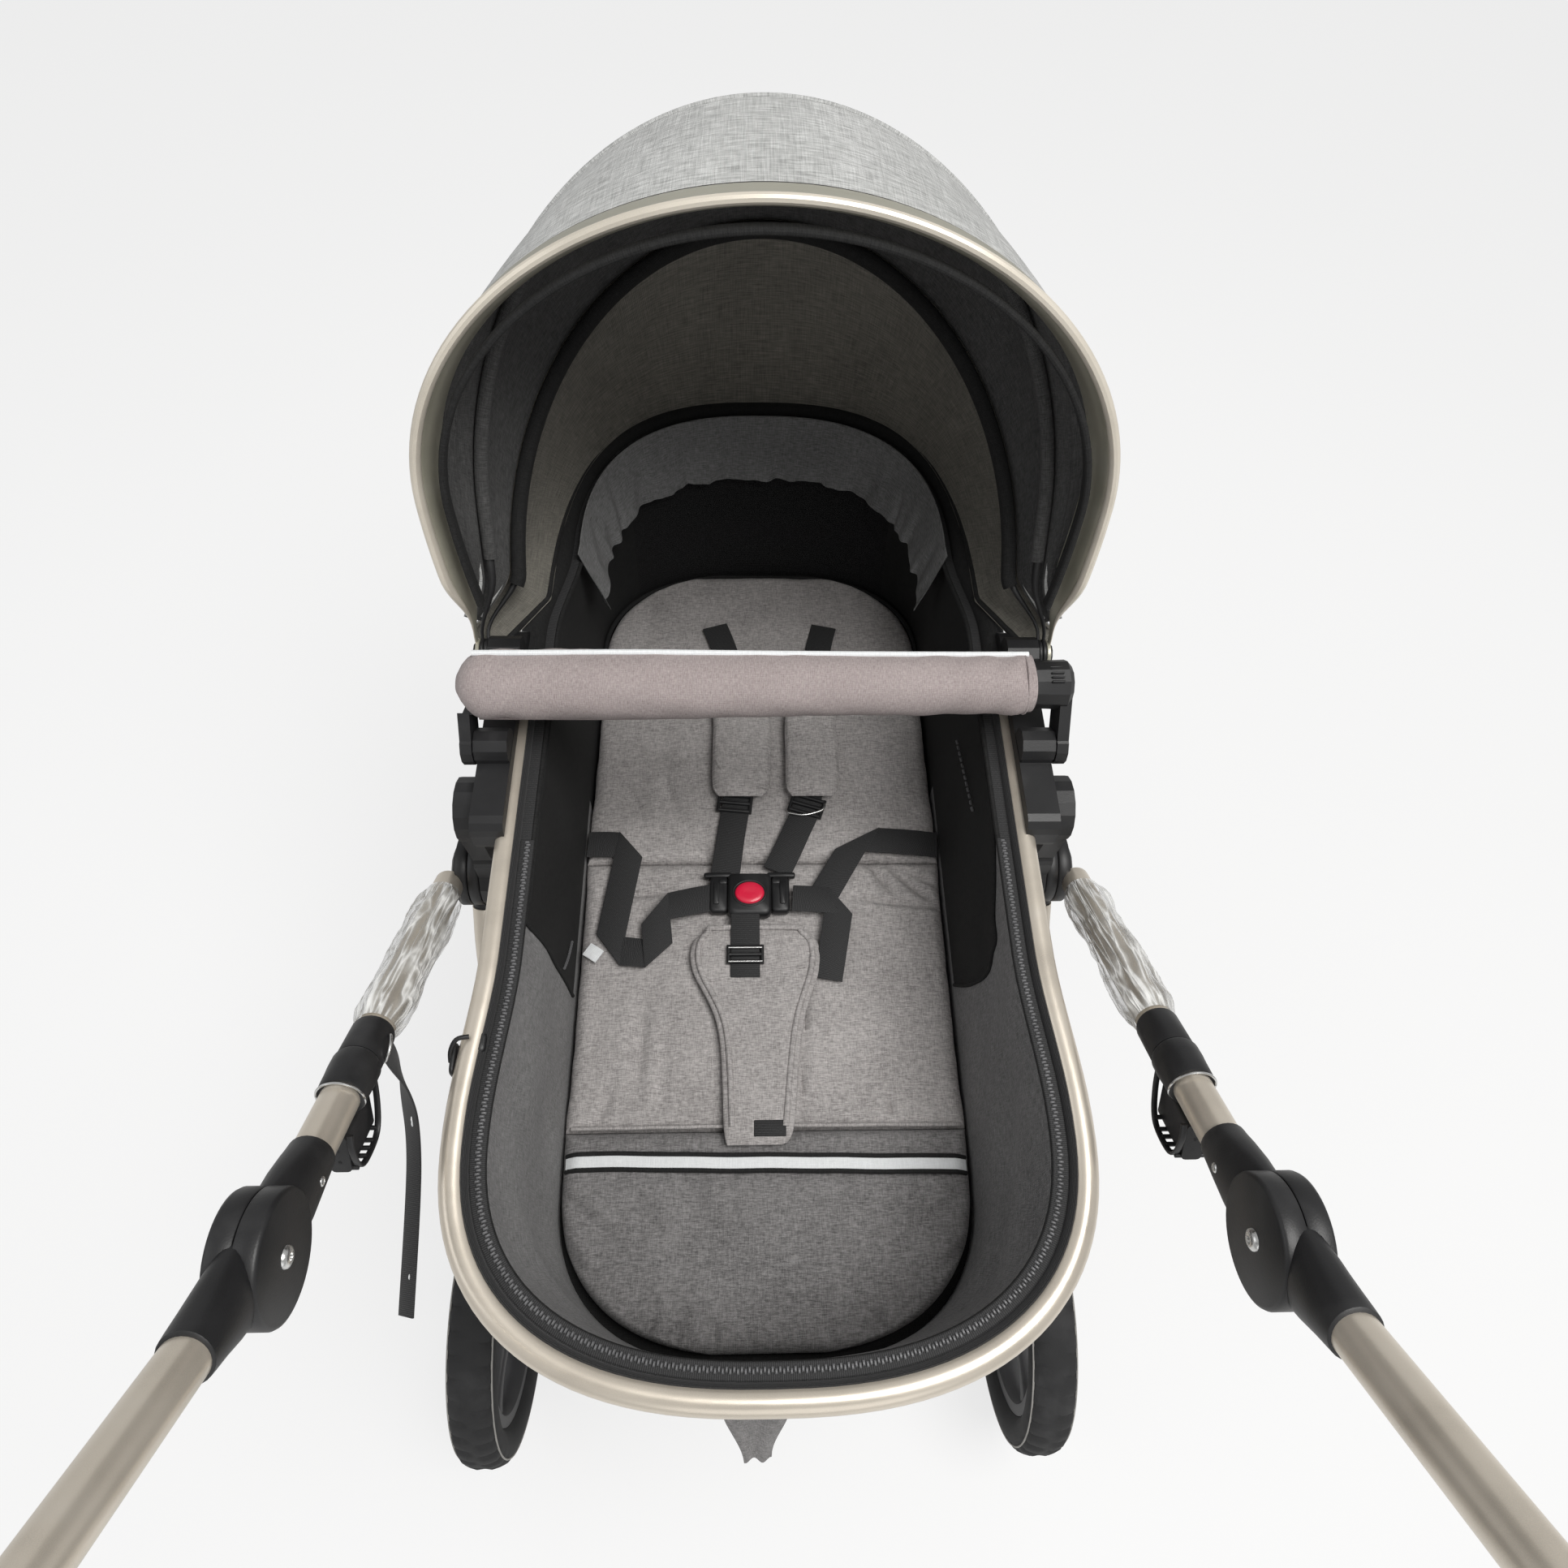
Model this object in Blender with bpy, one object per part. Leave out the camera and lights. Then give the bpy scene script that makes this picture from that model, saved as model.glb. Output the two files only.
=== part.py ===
"""Convertible pram: folding chassis, flat-laid seat unit with hood, harness and bumper bar.

Metres, +Z up.  The pram stands on Z = 0 with the parent's handle towards -Y and the
child's head and the hood towards +Y.  Lengths along the pram are counted from the
chassis hub, where the front legs, the rear legs and the handle share one pivot.
"""
import math

import bmesh
import bpy
from mathutils import Matrix, Vector

# Driving dimensions: clearances and wheels
GAP = 0.0004
REAR_WHEEL_R = 0.145
REAR_TYRE_W = 0.046
REAR_TRACK_HALF = 0.275
FRONT_WHEEL_R = 0.100
FRONT_TYRE_W = 0.036
FRONT_TRACK_HALF = 0.200
CASTOR_TRAIL = 0.035
TYRE_DEPTH_SHARE = 0.24

# Driving dimensions: hub and legs
HUB_Z = 0.555
HUB_DISC_R = 0.032
HUB_PLATE_X = 0.2275
HUB_PLATE_T = 0.016
REAR_PLATE_T = 0.010
HANDLE_PLATE_T = 0.010
PIVOT_PIN_R = 0.006
LEG_R = 0.011
LEG_START = 0.041
REAR_AXLE_BACK = 0.3125
CASTOR_FORWARD = 0.380
STUB_AXLE_R = 0.005
CROSSBAR_R = 0.011
BASKET_BAR_FORWARD = 0.245

# Driving dimensions: handle
HANDLE_RISE = math.radians(34.4)
HANDLE_X = 0.270
PUSH_TUBE_R = 0.0125
DISC_REACH = 0.415
DISC_R = 0.035
FILM_START = 0.048
FILM_END = 0.226
FILM_T = 0.007
SLIDER_START = 0.262
SLIDER_LENGTH = 0.055
SLIDER_TRAVEL = 0.020
ARM_RISE = math.radians(47.8)
ARM_LENGTH = 0.284
ARM_BEND_R = 0.060
GRIP_T = 0.004
ANGLE_BUTTON_R = 0.013
ANGLE_BUTTON_TRAVEL = 0.003

# Driving dimensions: seat unit
RIM_Z = 0.675
RIM_TUBE_R = 0.009
RIM_HALF_SIDE = 0.199
RIM_HALF_FOOT = 0.2075
RIM_HALF_HEAD = 0.184
RIM_FOOT_END = -0.411
RIM_HEAD_END = 0.453
RIM_FOOT_ROUND = 0.161
RIM_HEAD_ROUND = 0.191
RIM_POWER = 2.5
TUB_WALL = 0.005
TUB_FLOOR_Z = 0.462
TUB_TOP_INSET = 0.0096
FLOOR_ROOM = 0.002
CORNER_ROOM = 0.008
HEAD_CORNER = 0.120
FOOT_CORNER = 0.130
ZIP_TAPE_W = 0.011
ZIP_TAPE_T = 0.0022
HOUSING_OUT_X = 0.226
ADAPTER_T = 0.016
POST_T = 0.008
POST_TOP = 0.640
TILT_Z = 0.660
SEAT_LIFT = 0.070
FOLD_LINE_Y = 0.037
CUSHION_TOP = 0.500
CUSHION_HALF = 0.168
CUSHION_CROWN = 0.004
BOARD_T = 0.004
BACK_END_Y = 0.405
SEAT_END_Y = -0.212
FOOT_END_Y = -0.385

# Driving dimensions: bumper bar and hood
BUMPER_PIN_Y = 0.034
BUMPER_PIN_Z = 0.700
BUMPER_Y = 0.066
BUMPER_Z = 0.737
BUMPER_R = 0.0235
BUMPER_LEFT = -0.236
BUMPER_RIGHT = 0.205
HOOD_Y = 0.125
HOOD_Z = 0.700
HOOP_EYE_R = 0.012
HOOP_EYE_T = 0.003
HOOP_LEG = 0.018
HOOD_STEPS = 16
HOOP_R = 0.004
CANOPY_T = 0.003
FRONT_HOOP = dict(layer=2, angle=78.0, base=0.2235, half=0.2385, widest=0.150, top=0.3465)
MIDDLE_HOOP = dict(layer=1, angle=60.0, base=0.216, half=0.218, widest=0.120, top=0.380)
REAR_HOOP = dict(layer=0, angle=38.0, base=0.206, half=0.203, widest=0.080, top=0.335)
STRIP_W = 0.030
STRIP_T = 0.011

# Driving dimensions: basket and harness
BASKET_TOP_Z = 0.300
BASKET_FLOOR_Z = 0.150
BASKET_HALF_TOP = 0.185
BASKET_HALF_FLOOR = 0.160
BASKET_BACK_TOP = -0.270
BASKET_BACK_FLOOR = -0.195
BASKET_WALL = 0.004
WEBBING_W = 0.025
WEBBING_T = 0.0016
BUCKLE_X = -0.0135
BUCKLE_Y = -0.006
BUCKLE_W = 0.074
BUCKLE_L = 0.042
BUCKLE_T = 0.014

SIDES = (("left", -1.0), ("right", 1.0))

for old in list(bpy.data.objects):
    bpy.data.objects.remove(old, do_unlink=True)


# Materials
def material(name, colour, roughness, metallic=0.0):
    made = bpy.data.materials.new(name)
    made.use_nodes = True
    shader = made.node_tree.nodes["Principled BSDF"]
    shader.inputs["Base Color"].default_value = (*colour, 1.0)
    shader.inputs["Roughness"].default_value = roughness
    shader.inputs["Metallic"].default_value = metallic
    return made


CHAMPAGNE = material("champagne_tube", (0.62, 0.56, 0.47), 0.3, 0.9)
BLACK = material("black_plastic", (0.02, 0.02, 0.022), 0.5)
RUBBER = material("tyre_rubber", (0.025, 0.025, 0.027), 0.8)
GREY_RIM = material("rim_plastic", (0.13, 0.13, 0.14), 0.5)
MELANGE = material("grey_melange", (0.25, 0.24, 0.235), 0.9)
LINING = material("dark_lining", (0.06, 0.06, 0.058), 0.9)
WEBBING = material("black_webbing", (0.02, 0.02, 0.02), 0.8)
FILM = material("film_wrap", (0.6, 0.58, 0.55), 0.2)
RED = material("red_button", (0.8, 0.02, 0.08), 0.4)


# Frame helpers
def empty(name, location, parent=None):
    made = bpy.data.objects.new(name, None)
    made.location = location
    made.parent = parent
    bpy.context.collection.objects.link(made)
    return made


def world_of(parent):
    place = Vector((0.0, 0.0, 0.0))
    while parent is not None:
        place += parent.location
        parent = parent.parent
    return place


def solid(name, verts, faces, look, parent, smooth=40.0):
    """Closed mesh given in pram coordinates, stored relative to its parent empty."""
    origin = world_of(parent) - PRAM.location
    mesh = bpy.data.meshes.new(name)
    mesh.from_pydata([Vector(v) - origin for v in verts], [], faces)
    shaped = bmesh.new()
    shaped.from_mesh(mesh)
    bmesh.ops.remove_doubles(shaped, verts=shaped.verts, dist=1e-6)
    bmesh.ops.recalc_face_normals(shaped, faces=shaped.faces)
    shaped.to_mesh(mesh)
    shaped.free()
    mesh.materials.append(look)
    if smooth:
        mesh.shade_smooth()
        mesh.set_sharp_from_angle(angle=math.radians(smooth))
    made = bpy.data.objects.new(name, mesh)
    made.parent = parent
    bpy.context.collection.objects.link(made)
    return made


def hide(tool):
    tool.hide_render = True
    tool.display_type = "WIRE"
    return tool


def combine(base, tools, operation):
    for tool in tools:
        hide(tool)
        step = base.modifiers.new(operation.lower(), "BOOLEAN")
        step.operation = operation
        step.object = tool
    return base


def fuse(base, *tools):
    return combine(base, tools, "UNION")


def cut(base, *tools):
    return combine(base, tools, "DIFFERENCE")


# Shape helpers: each gives vertices and faces
def loft(rings, closed_path=False):
    """Skin rings of equal count; ends are capped unless the path closes on itself."""
    count = len(rings[0])
    verts = [point for ring in rings for point in ring]
    faces = []
    steps = len(rings) if closed_path else len(rings) - 1
    for i in range(steps):
        here = i * count
        there = ((i + 1) % len(rings)) * count
        for j in range(count):
            k = (j + 1) % count
            faces.append((here + j, here + k, there + k, there + j))
    if not closed_path:
        faces.append(tuple(range(count)))
        faces.append(tuple(range(len(verts) - count, len(verts))))
    return verts, faces


def circle(radius, sides, squash=1.0):
    turn = 2.0 * math.pi / sides
    return [(radius * math.cos(i * turn), radius * squash * math.sin(i * turn)) for i in range(sides)]


def slab(width, height):
    return [(-width / 2, -height / 2), (width / 2, -height / 2), (width / 2, height / 2), (-width / 2, height / 2)]


def sweep(path, section, up, closed_path=False, scales=None):
    """Carry a flat section along a path; its second coordinate follows the up direction."""
    points = [Vector(p) for p in path]
    total = len(points)
    rings = []
    for i, point in enumerate(points):
        before = points[(i - 1) % total] if closed_path or i else points[0]
        after = points[(i + 1) % total] if closed_path or i < total - 1 else points[-1]
        tangent = (after - before).normalized()
        side = tangent.cross(Vector(up)).normalized()
        lift = side.cross(tangent).normalized()
        scale = scales[i] if scales else 1.0
        rings.append([point + side * (u * scale) + lift * (v * scale) for u, v in section])
    return loft(rings, closed_path)


def turned(profile, centre, segments, axis="X"):
    """Revolve (along, radius) pairs; a profile with no zero radius closes on itself."""
    centre = Vector(centre)
    hollow = all(radius > 1e-9 for _, radius in profile)
    verts = []
    for along, radius in profile:
        for i in range(segments):
            angle = 2.0 * math.pi * i / segments
            flat = (radius * math.cos(angle), radius * math.sin(angle))
            if axis == "X":
                verts.append(centre + Vector((along, flat[0], flat[1])))
            else:
                verts.append(centre + Vector((flat[0], flat[1], along)))
    faces = []
    rows = len(profile)
    for i in range(rows if hollow else rows - 1):
        here = i * segments
        there = ((i + 1) % rows) * segments
        for j in range(segments):
            k = (j + 1) % segments
            faces.append((here + j, here + k, there + k, there + j))
    return verts, faces


def cylinder(centre, radius, length, segments=12, axis="X"):
    half = length / 2
    profile = [(-half, 0.0), (-half, radius), (half, radius), (half, 0.0)]
    return turned(profile, centre, segments, axis)


def rod(start, end, radius, segments=10, up=(1.0, 0.0, 0.0)):
    return sweep([start, end], circle(radius, segments), up)


def plate(outline, x_start, x_end):
    """Extrude a (y, z) outline across the pram between two X planes."""
    return loft([[(x, y, z) for y, z in outline] for x in (x_start, x_end)])


def block(x_range, y_range, z_range):
    outline = [(y_range[0], z_range[0]), (y_range[1], z_range[0]), (y_range[1], z_range[1]), (y_range[0], z_range[1])]
    return plate(outline, *x_range)


def round_outline(centre, half_y, half_z, corner, steps=4):
    """Rounded rectangle in the (y, z) plane."""
    points = []
    corners = ((1, 1, 0.0), (-1, 1, 0.5), (-1, -1, 1.0), (1, -1, 1.5))
    for sy, sz, start in corners:
        for i in range(steps + 1):
            angle = math.pi * (start + 0.5 * i / steps)
            y = centre[0] + sy * (half_y - corner) + corner * math.cos(angle)
            z = centre[1] + sz * (half_z - corner) + corner * math.sin(angle)
            points.append((y, z))
    return points


def smooth_path(points, per_span):
    """Catmull-Rom curve through a few chosen points."""
    points = [Vector(p) for p in points]
    route = []
    for i in range(len(points) - 1):
        a = points[max(i - 1, 0)]
        b, c = points[i], points[i + 1]
        d = points[min(i + 2, len(points) - 1)]
        for j in range(per_span):
            t = j / per_span
            route.append(0.5 * (2 * b + (c - a) * t + (2 * a - 5 * b + 4 * c - d) * t * t
                                + (3 * b - a - 3 * c + d) * t * t * t))
    route.append(points[-1])
    return route


def ease(value, low, high):
    t = min(max((value - low) / (high - low), 0.0), 1.0)
    return t * t * (3.0 - 2.0 * t)


# Reference places worked out from the driving dimensions
REAR_AXLE = Vector((0.0, -REAR_AXLE_BACK, REAR_WHEEL_R))
HANDLE_DIRECTION = Vector((0.0, -math.cos(HANDLE_RISE), math.sin(HANDLE_RISE)))
ARM_DIRECTION = Vector((0.0, -math.cos(ARM_RISE), math.sin(ARM_RISE)))
HUB = Vector((0.0, 0.0, HUB_Z))
DISC_CENTRE = HUB + HANDLE_DIRECTION * DISC_REACH
GRIP_CENTRE = DISC_CENTRE + ARM_DIRECTION * ARM_LENGTH
GRIP_BORE = (PUSH_TUBE_R + GAP) / math.cos(math.pi / 12)
GRIP_R = GRIP_BORE + GRIP_T
REAR_MOST = GRIP_CENTRE.y - GRIP_R
FRONT_MOST = max(RIM_HEAD_END + RIM_TUBE_R, CASTOR_FORWARD - CASTOR_TRAIL + FRONT_WHEEL_R)

PRAM = empty("pram_origin", (0.0, -(REAR_MOST + FRONT_MOST) / 2.0, 0.0))
CHASSIS = empty("chassis_frame", (0.0, 0.0, 0.0), PRAM)
REAR = empty("rear_leg_hinge", HUB, PRAM)
HANDLE = empty("handle_hinge", HUB, PRAM)
HANDLE_TOP = empty("handlebar_hinge", DISC_CENTRE - HUB, HANDLE)
SEAT_MOUNT = empty("seat_mount_slide", (0.0, 0.0, TILT_Z), PRAM)
SEAT = empty("seat_tilt_hinge", (0.0, 0.0, 0.0), SEAT_MOUNT)
BACKREST = empty("backrest_hinge", (0.0, FOLD_LINE_Y, CUSHION_TOP - TILT_Z), SEAT)
BUMPER = empty("bumper_hinge", (0.0, BUMPER_PIN_Y, BUMPER_PIN_Z - TILT_Z), SEAT)
HOOD_SPOT = (0.0, HOOD_Y, HOOD_Z - TILT_Z)
HOOD_REAR = empty("hood_rear_hinge", HOOD_SPOT, SEAT)
HOOD_MIDDLE = empty("hood_middle_hinge", (0.0, 0.0, 0.0), HOOD_REAR)
HOOD_FRONT = empty("hood_front_hinge", (0.0, 0.0, 0.0), HOOD_MIDDLE)

# Stack of plates across the hub, from the seat outwards
HUB_PLATE_OUT = HUB_PLATE_X + HUB_PLATE_T
REAR_PLATE_IN = HUB_PLATE_OUT + GAP
REAR_PLATE_OUT = REAR_PLATE_IN + REAR_PLATE_T
HANDLE_PLATE_IN = REAR_PLATE_OUT + GAP
HANDLE_PLATE_OUT = HANDLE_PLATE_IN + HANDLE_PLATE_T
PIN_HEAD_IN = HANDLE_PLATE_OUT + GAP
PIN_HEAD_T = 0.006
CASTOR_HOUSING_R = 0.020
CASTOR_HOUSING_LOW = 2 * FRONT_WHEEL_R + 0.026
CASTOR_HOUSING_TOP = CASTOR_HOUSING_LOW + 0.046
CASTOR_STEM_R = 0.006


# Chassis: front legs, hub plates with seat posts, basket
def front_leg_frame():
    parts = []
    reach_end = Vector((0.0, CASTOR_FORWARD, CASTOR_HOUSING_LOW + 0.024))
    down = (Vector((0.0, BASKET_BAR_FORWARD, 0.3135)) - HUB).normalized()
    for _, side in SIDES:
        start = HUB + down * LEG_START
        hub_x = side * (HUB_PLATE_X + HUB_PLATE_T / 2)
        foot_x = side * FRONT_TRACK_HALF
        knee = HUB + down * 0.345
        chosen = [(hub_x, start.y, start.z), (hub_x, (start + down * 0.05).y, (start + down * 0.05).z),
                  (hub_x * 0.45 + foot_x * 0.55, knee.y, knee.z),
                  (foot_x, reach_end.y - 0.06, reach_end.z + 0.035),
                  (foot_x, reach_end.y - CASTOR_HOUSING_R * 0.5, reach_end.z)]
        route = [chosen[0]] + smooth_path(chosen[1:], 2)
        parts.append(sweep(route, circle(LEG_R, 8), (1.0, 0.0, 0.0)))
        middle = (CASTOR_HOUSING_LOW + CASTOR_HOUSING_TOP) / 2
        length = CASTOR_HOUSING_TOP - CASTOR_HOUSING_LOW
        parts.append(cylinder((foot_x, CASTOR_FORWARD, middle), CASTOR_HOUSING_R, length, 14, "Z"))
    bar_z = (HUB + down * (BASKET_BAR_FORWARD / down.y)).z
    bar_half = RIM_HALF_SIDE + 0.016
    parts.append(cylinder((0.0, BASKET_BAR_FORWARD, bar_z), CROSSBAR_R, 2 * bar_half, 10))
    rail_half = BASKET_HALF_TOP - BASKET_WALL / 2
    rail_z = BASKET_TOP_Z + GAP + 0.004
    back = BASKET_BACK_TOP + BASKET_WALL / 2
    rail = [(-rail_half, BASKET_BAR_FORWARD, rail_z), (-rail_half, back + 0.04, rail_z),
            (-rail_half + 0.012, back + 0.012, rail_z), (-rail_half + 0.04, back, rail_z),
            (rail_half - 0.04, back, rail_z), (rail_half - 0.012, back + 0.012, rail_z),
            (rail_half, back + 0.04, rail_z), (rail_half, BASKET_BAR_FORWARD, rail_z)]
    parts.append(sweep(rail, circle(0.004, 6), (0.0, 0.0, 1.0)))
    base = solid("front_leg_frame", *parts[0], CHAMPAGNE, CHASSIS)
    for i, shape in enumerate(parts[1:]):
        fuse(base, solid(f"front_frame_tool_{i}", *shape, CHAMPAGNE, CHASSIS))
    for word, side in SIDES:
        bore = cylinder((side * FRONT_TRACK_HALF, CASTOR_FORWARD, CASTOR_HOUSING_LOW),
                        CASTOR_STEM_R + GAP, 0.2, 10, "Z")
        cut(base, solid(f"castor_bore_{word}", *bore, CHAMPAGNE, CHASSIS))
    return base


def hub_plate(word, side):
    """Black hub casting: disc, leg socket, blade post for the seat and the pivot pin."""
    x_in, x_out = side * HUB_PLATE_X, side * HUB_PLATE_OUT
    disc = [(HUB_DISC_R * c, HUB_Z + HUB_DISC_R * s) for c, s in
            ((math.cos(a), math.sin(a)) for a in (2 * math.pi * i / 14 for i in range(14)))]
    base = solid(f"hub_plate_{word}", *plate(disc, x_in, x_out), BLACK, CHASSIS)
    post_mid = side * (HUB_PLATE_X + HUB_PLATE_T / 2)
    blade = round_outline((0.0, (HUB_Z + POST_TOP) / 2), 0.012, (POST_TOP - HUB_Z) / 2, 0.006, 3)
    post = plate(blade, post_mid - POST_T / 2, post_mid + POST_T / 2)
    shoulder = round_outline((0.0, HUB_Z + 0.026), 0.021, 0.026, 0.010, 3)
    down = (Vector((0.0, BASKET_BAR_FORWARD, 0.3135)) - HUB).normalized()
    square = down.cross(Vector((1.0, 0.0, 0.0)))
    lug_end = HUB + down * (LEG_START - GAP)
    sides = (HUB + square * 0.014, lug_end + square * 0.013, lug_end - square * 0.013, HUB - square * 0.014)
    lug = plate([(p.y, p.z) for p in sides], x_in, x_out)
    pin_length = PIN_HEAD_IN + PIN_HEAD_T / 2 - HUB_PLATE_X - HUB_PLATE_T / 2
    pin = cylinder((side * (HUB_PLATE_X + HUB_PLATE_T / 2 + pin_length / 2), 0.0, HUB_Z), PIVOT_PIN_R, pin_length, 10)
    cap = turned([(0.0, 0.0), (0.0, HUB_DISC_R * 0.72), (side * PIN_HEAD_T * 0.6, HUB_DISC_R * 0.66),
                  (side * PIN_HEAD_T, HUB_DISC_R * 0.5), (side * PIN_HEAD_T, 0.0)],
                 (side * PIN_HEAD_IN, 0.0, HUB_Z), 12)
    for name, shape in (("post", post), ("shoulder", plate(shoulder, x_in, x_out)), ("lug", lug),
                        ("pin", pin), ("cap", cap)):
        fuse(base, solid(f"hub_{name}_tool_{word}", *shape, BLACK, CHASSIS))
    return base


def basket():
    """Open fabric basket with sloping ends, hung under its wire rail."""
    front_top = BASKET_BAR_FORWARD - CROSSBAR_R - GAP
    front_floor = front_top - 0.022
    corner = 0.030

    def ring(half, back, front, z, inset):
        half, back, front = half - inset, back + inset, front - inset
        outline = []
        round_by = corner - inset
        for cx, cy, start in ((1, 1, 0.0), (-1, 1, 0.5), (-1, 0, 1.0), (1, 0, 1.5)):
            middle_x = cx * (half - round_by)
            middle_y = front - round_by if cy else back + round_by
            for i in range(5):
                angle = math.pi * (start + 0.125 * i)
                outline.append((middle_x + round_by * math.cos(angle), middle_y + round_by * math.sin(angle), z))
        return outline

    inner_floor = BASKET_FLOOR_Z + BASKET_WALL
    rings = [ring(BASKET_HALF_FLOOR, BASKET_BACK_FLOOR, front_floor, BASKET_FLOOR_Z, 0.004),
             ring(BASKET_HALF_FLOOR + 0.006, BASKET_BACK_FLOOR - 0.018, front_floor + 0.006, BASKET_FLOOR_Z + 0.03, 0.0),
             ring(BASKET_HALF_TOP, BASKET_BACK_TOP, front_top, BASKET_TOP_Z, 0.0),
             ring(BASKET_HALF_TOP, BASKET_BACK_TOP, front_top, BASKET_TOP_Z, BASKET_WALL),
             ring(BASKET_HALF_FLOOR + 0.006, BASKET_BACK_FLOOR - 0.018, front_floor + 0.006, BASKET_FLOOR_Z + 0.03, BASKET_WALL),
             ring(BASKET_HALF_FLOOR, BASKET_BACK_FLOOR, front_floor, inner_floor, BASKET_WALL + 0.004)]
    return solid("basket", *loft(rings), LINING, CHASSIS)


# Chassis: rear legs, brake pedal and wheels
def rear_leg_frame():
    base = solid("rear_leg_frame", *cylinder(REAR_AXLE, CROSSBAR_R, 2 * (REAR_TRACK_HALF - REAR_TYRE_W), 12),
                 CHAMPAGNE, REAR)
    down = (REAR_AXLE - HUB).normalized()
    foot_x = REAR_TRACK_HALF - REAR_TYRE_W / 2 - LEG_R - 0.014
    length = (REAR_AXLE - HUB).length
    for word, side in SIDES:
        hub_x = side * (REAR_PLATE_IN + REAR_PLATE_T / 2)
        top = HUB + down * (LEG_START - 0.005)
        knee = HUB + down * (0.62 * length)
        route = [(hub_x, top.y, top.z), (hub_x, (HUB + down * 0.12).y, (HUB + down * 0.12).z),
                 (side * (foot_x + 0.004), knee.y, knee.z), (side * foot_x, REAR_AXLE.y, REAR_AXLE.z)]
        leg = sweep(smooth_path(route, 2), circle(LEG_R, 8), (1.0, 0.0, 0.0))
        ear = plate([(HUB_DISC_R * math.cos(a), HUB_Z + HUB_DISC_R * math.sin(a)) for a in
                     (2 * math.pi * i / 14 for i in range(14))], side * REAR_PLATE_IN, side * REAR_PLATE_OUT)
        neck = rod(HUB + Vector((hub_x, 0, 0)) + down * 0.026, HUB + Vector((hub_x, 0, 0)) + down * 0.052, 0.0045, 8)
        boss = cylinder((side * (REAR_TRACK_HALF - REAR_TYRE_W / 2 - 0.017), REAR_AXLE.y, REAR_AXLE.z), 0.020, 0.030, 14)
        stub_end = REAR_TRACK_HALF + REAR_TYRE_W / 2 - 0.004
        stub = cylinder((side * (stub_end / 2 + 0.1), REAR_AXLE.y, REAR_AXLE.z), STUB_AXLE_R, stub_end - 0.2, 10)
        for name, shape in (("leg", leg), ("ear", ear), ("neck", neck), ("boss", boss), ("stub", stub)):
            fuse(base, solid(f"rear_{name}_tool_{word}", *shape, CHAMPAGNE, REAR))
        bore = cylinder((side * REAR_PLATE_IN, 0.0, HUB_Z), PIVOT_PIN_R + GAP, 0.06, 10)
        cut(base, solid(f"rear_bore_{word}", *bore, CHAMPAGNE, REAR))
    return base


def brake_pedal():
    """Foot pedal: a sleeve round the crossbar with a broad dished tread behind it."""
    brake = empty("brake_hinge", REAR_AXLE - HUB, REAR)
    inner, outer, half = CROSSBAR_R + GAP, CROSSBAR_R + 0.005, 0.045
    sleeve = turned([(-half, inner), (-half, outer), (half, outer), (half, inner)], REAR_AXLE, 14)
    base = solid("brake_pedal", *sleeve, BLACK, brake)
    rings = []
    for step in range(6):
        share = step / 5
        y = REAR_AXLE.y - outer + 0.002 - 0.042 * share
        z = REAR_AXLE.z + 0.004 + 0.010 * share * share
        width = 0.036 + 0.010 * math.sin(math.pi * share)
        thick = 0.0045
        rings.append([(-width, y, z - thick), (width, y, z - thick), (width, y, z + thick), (-width, y, z + thick)])
    return fuse(base, solid("pedal_tread_tool", *loft(rings), BLACK, brake))


def tyre(name, centre, radius, width, parent, segments, lugs):
    """Air tyre: rounded carcass with a flat crown and square shoulder lugs."""
    depth = radius * TYRE_DEPTH_SHARE
    half = width / 2
    bead = radius - depth
    profile = [(-half * 0.62, bead), (-half, bead + depth * 0.45), (-half * 0.78, radius - depth * 0.14),
               (0.0, radius), (half * 0.78, radius - depth * 0.14), (half, bead + depth * 0.45), (half * 0.62, bead)]
    verts, faces = turned(profile, centre, segments)
    if lugs:
        for row, point in enumerate(profile):
            if 0.5 * half < abs(point[0]) and point[1] > radius - depth * 0.3:
                for i in range(0, segments, 2):
                    v = verts[row * segments + i]
                    out = Vector((0.0, v.y - centre[1], v.z - centre[2])).normalized()
                    verts[row * segments + i] = v - out * lugs
    return solid(name, verts, faces, RUBBER, parent, 50.0)


def spoked_rim(name, centre, radius, width, bore, spokes, parent, segments):
    """Moulded wheel: outer ring, dished spokes and a hub with its bore."""
    half = width * 0.62 / 2
    ring_t = radius * 0.10
    ring = turned([(-half, radius - ring_t), (-half, radius - GAP), (half, radius - GAP), (half, radius - ring_t)],
                  centre, segments)
    base = solid(name, *ring, GREY_RIM, parent)
    hub_r = radius * 0.20
    hub = turned([(-width * 0.42, 0.0), (-width * 0.42, hub_r * 0.86), (-width * 0.34, hub_r),
                  (width * 0.34, hub_r), (width * 0.42, hub_r * 0.86), (width * 0.42, 0.0)], centre, 10)
    tools = [solid(f"{name}_hub_tool", *hub, GREY_RIM, parent)]
    for i in range(spokes):
        angle = 2 * math.pi * (i + 0.5) / spokes
        out = Vector((0.0, math.cos(angle), math.sin(angle)))
        across = Vector((0.0, -math.sin(angle), math.cos(angle)))
        rings = []
        for reach, wide, thick in ((hub_r * 0.7, hub_r * 0.50, half * 0.9), (radius - ring_t * 0.8, hub_r * 0.36, half * 0.6)):
            middle = Vector(centre) + out * reach
            rings.append([middle + across * (wide * u) + Vector((thick * v, 0, 0))
                          for u, v in ((-1, -1), (1, -1), (1, 1), (-1, 1))])
        tools.append(solid(f"{name}_spoke_tool_{i}", *loft(rings), GREY_RIM, parent))
    fuse(base, *tools)
    return cut(base, solid(f"{name}_bore_tool", *cylinder(centre, bore, width * 2, 10), GREY_RIM, parent))


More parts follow.
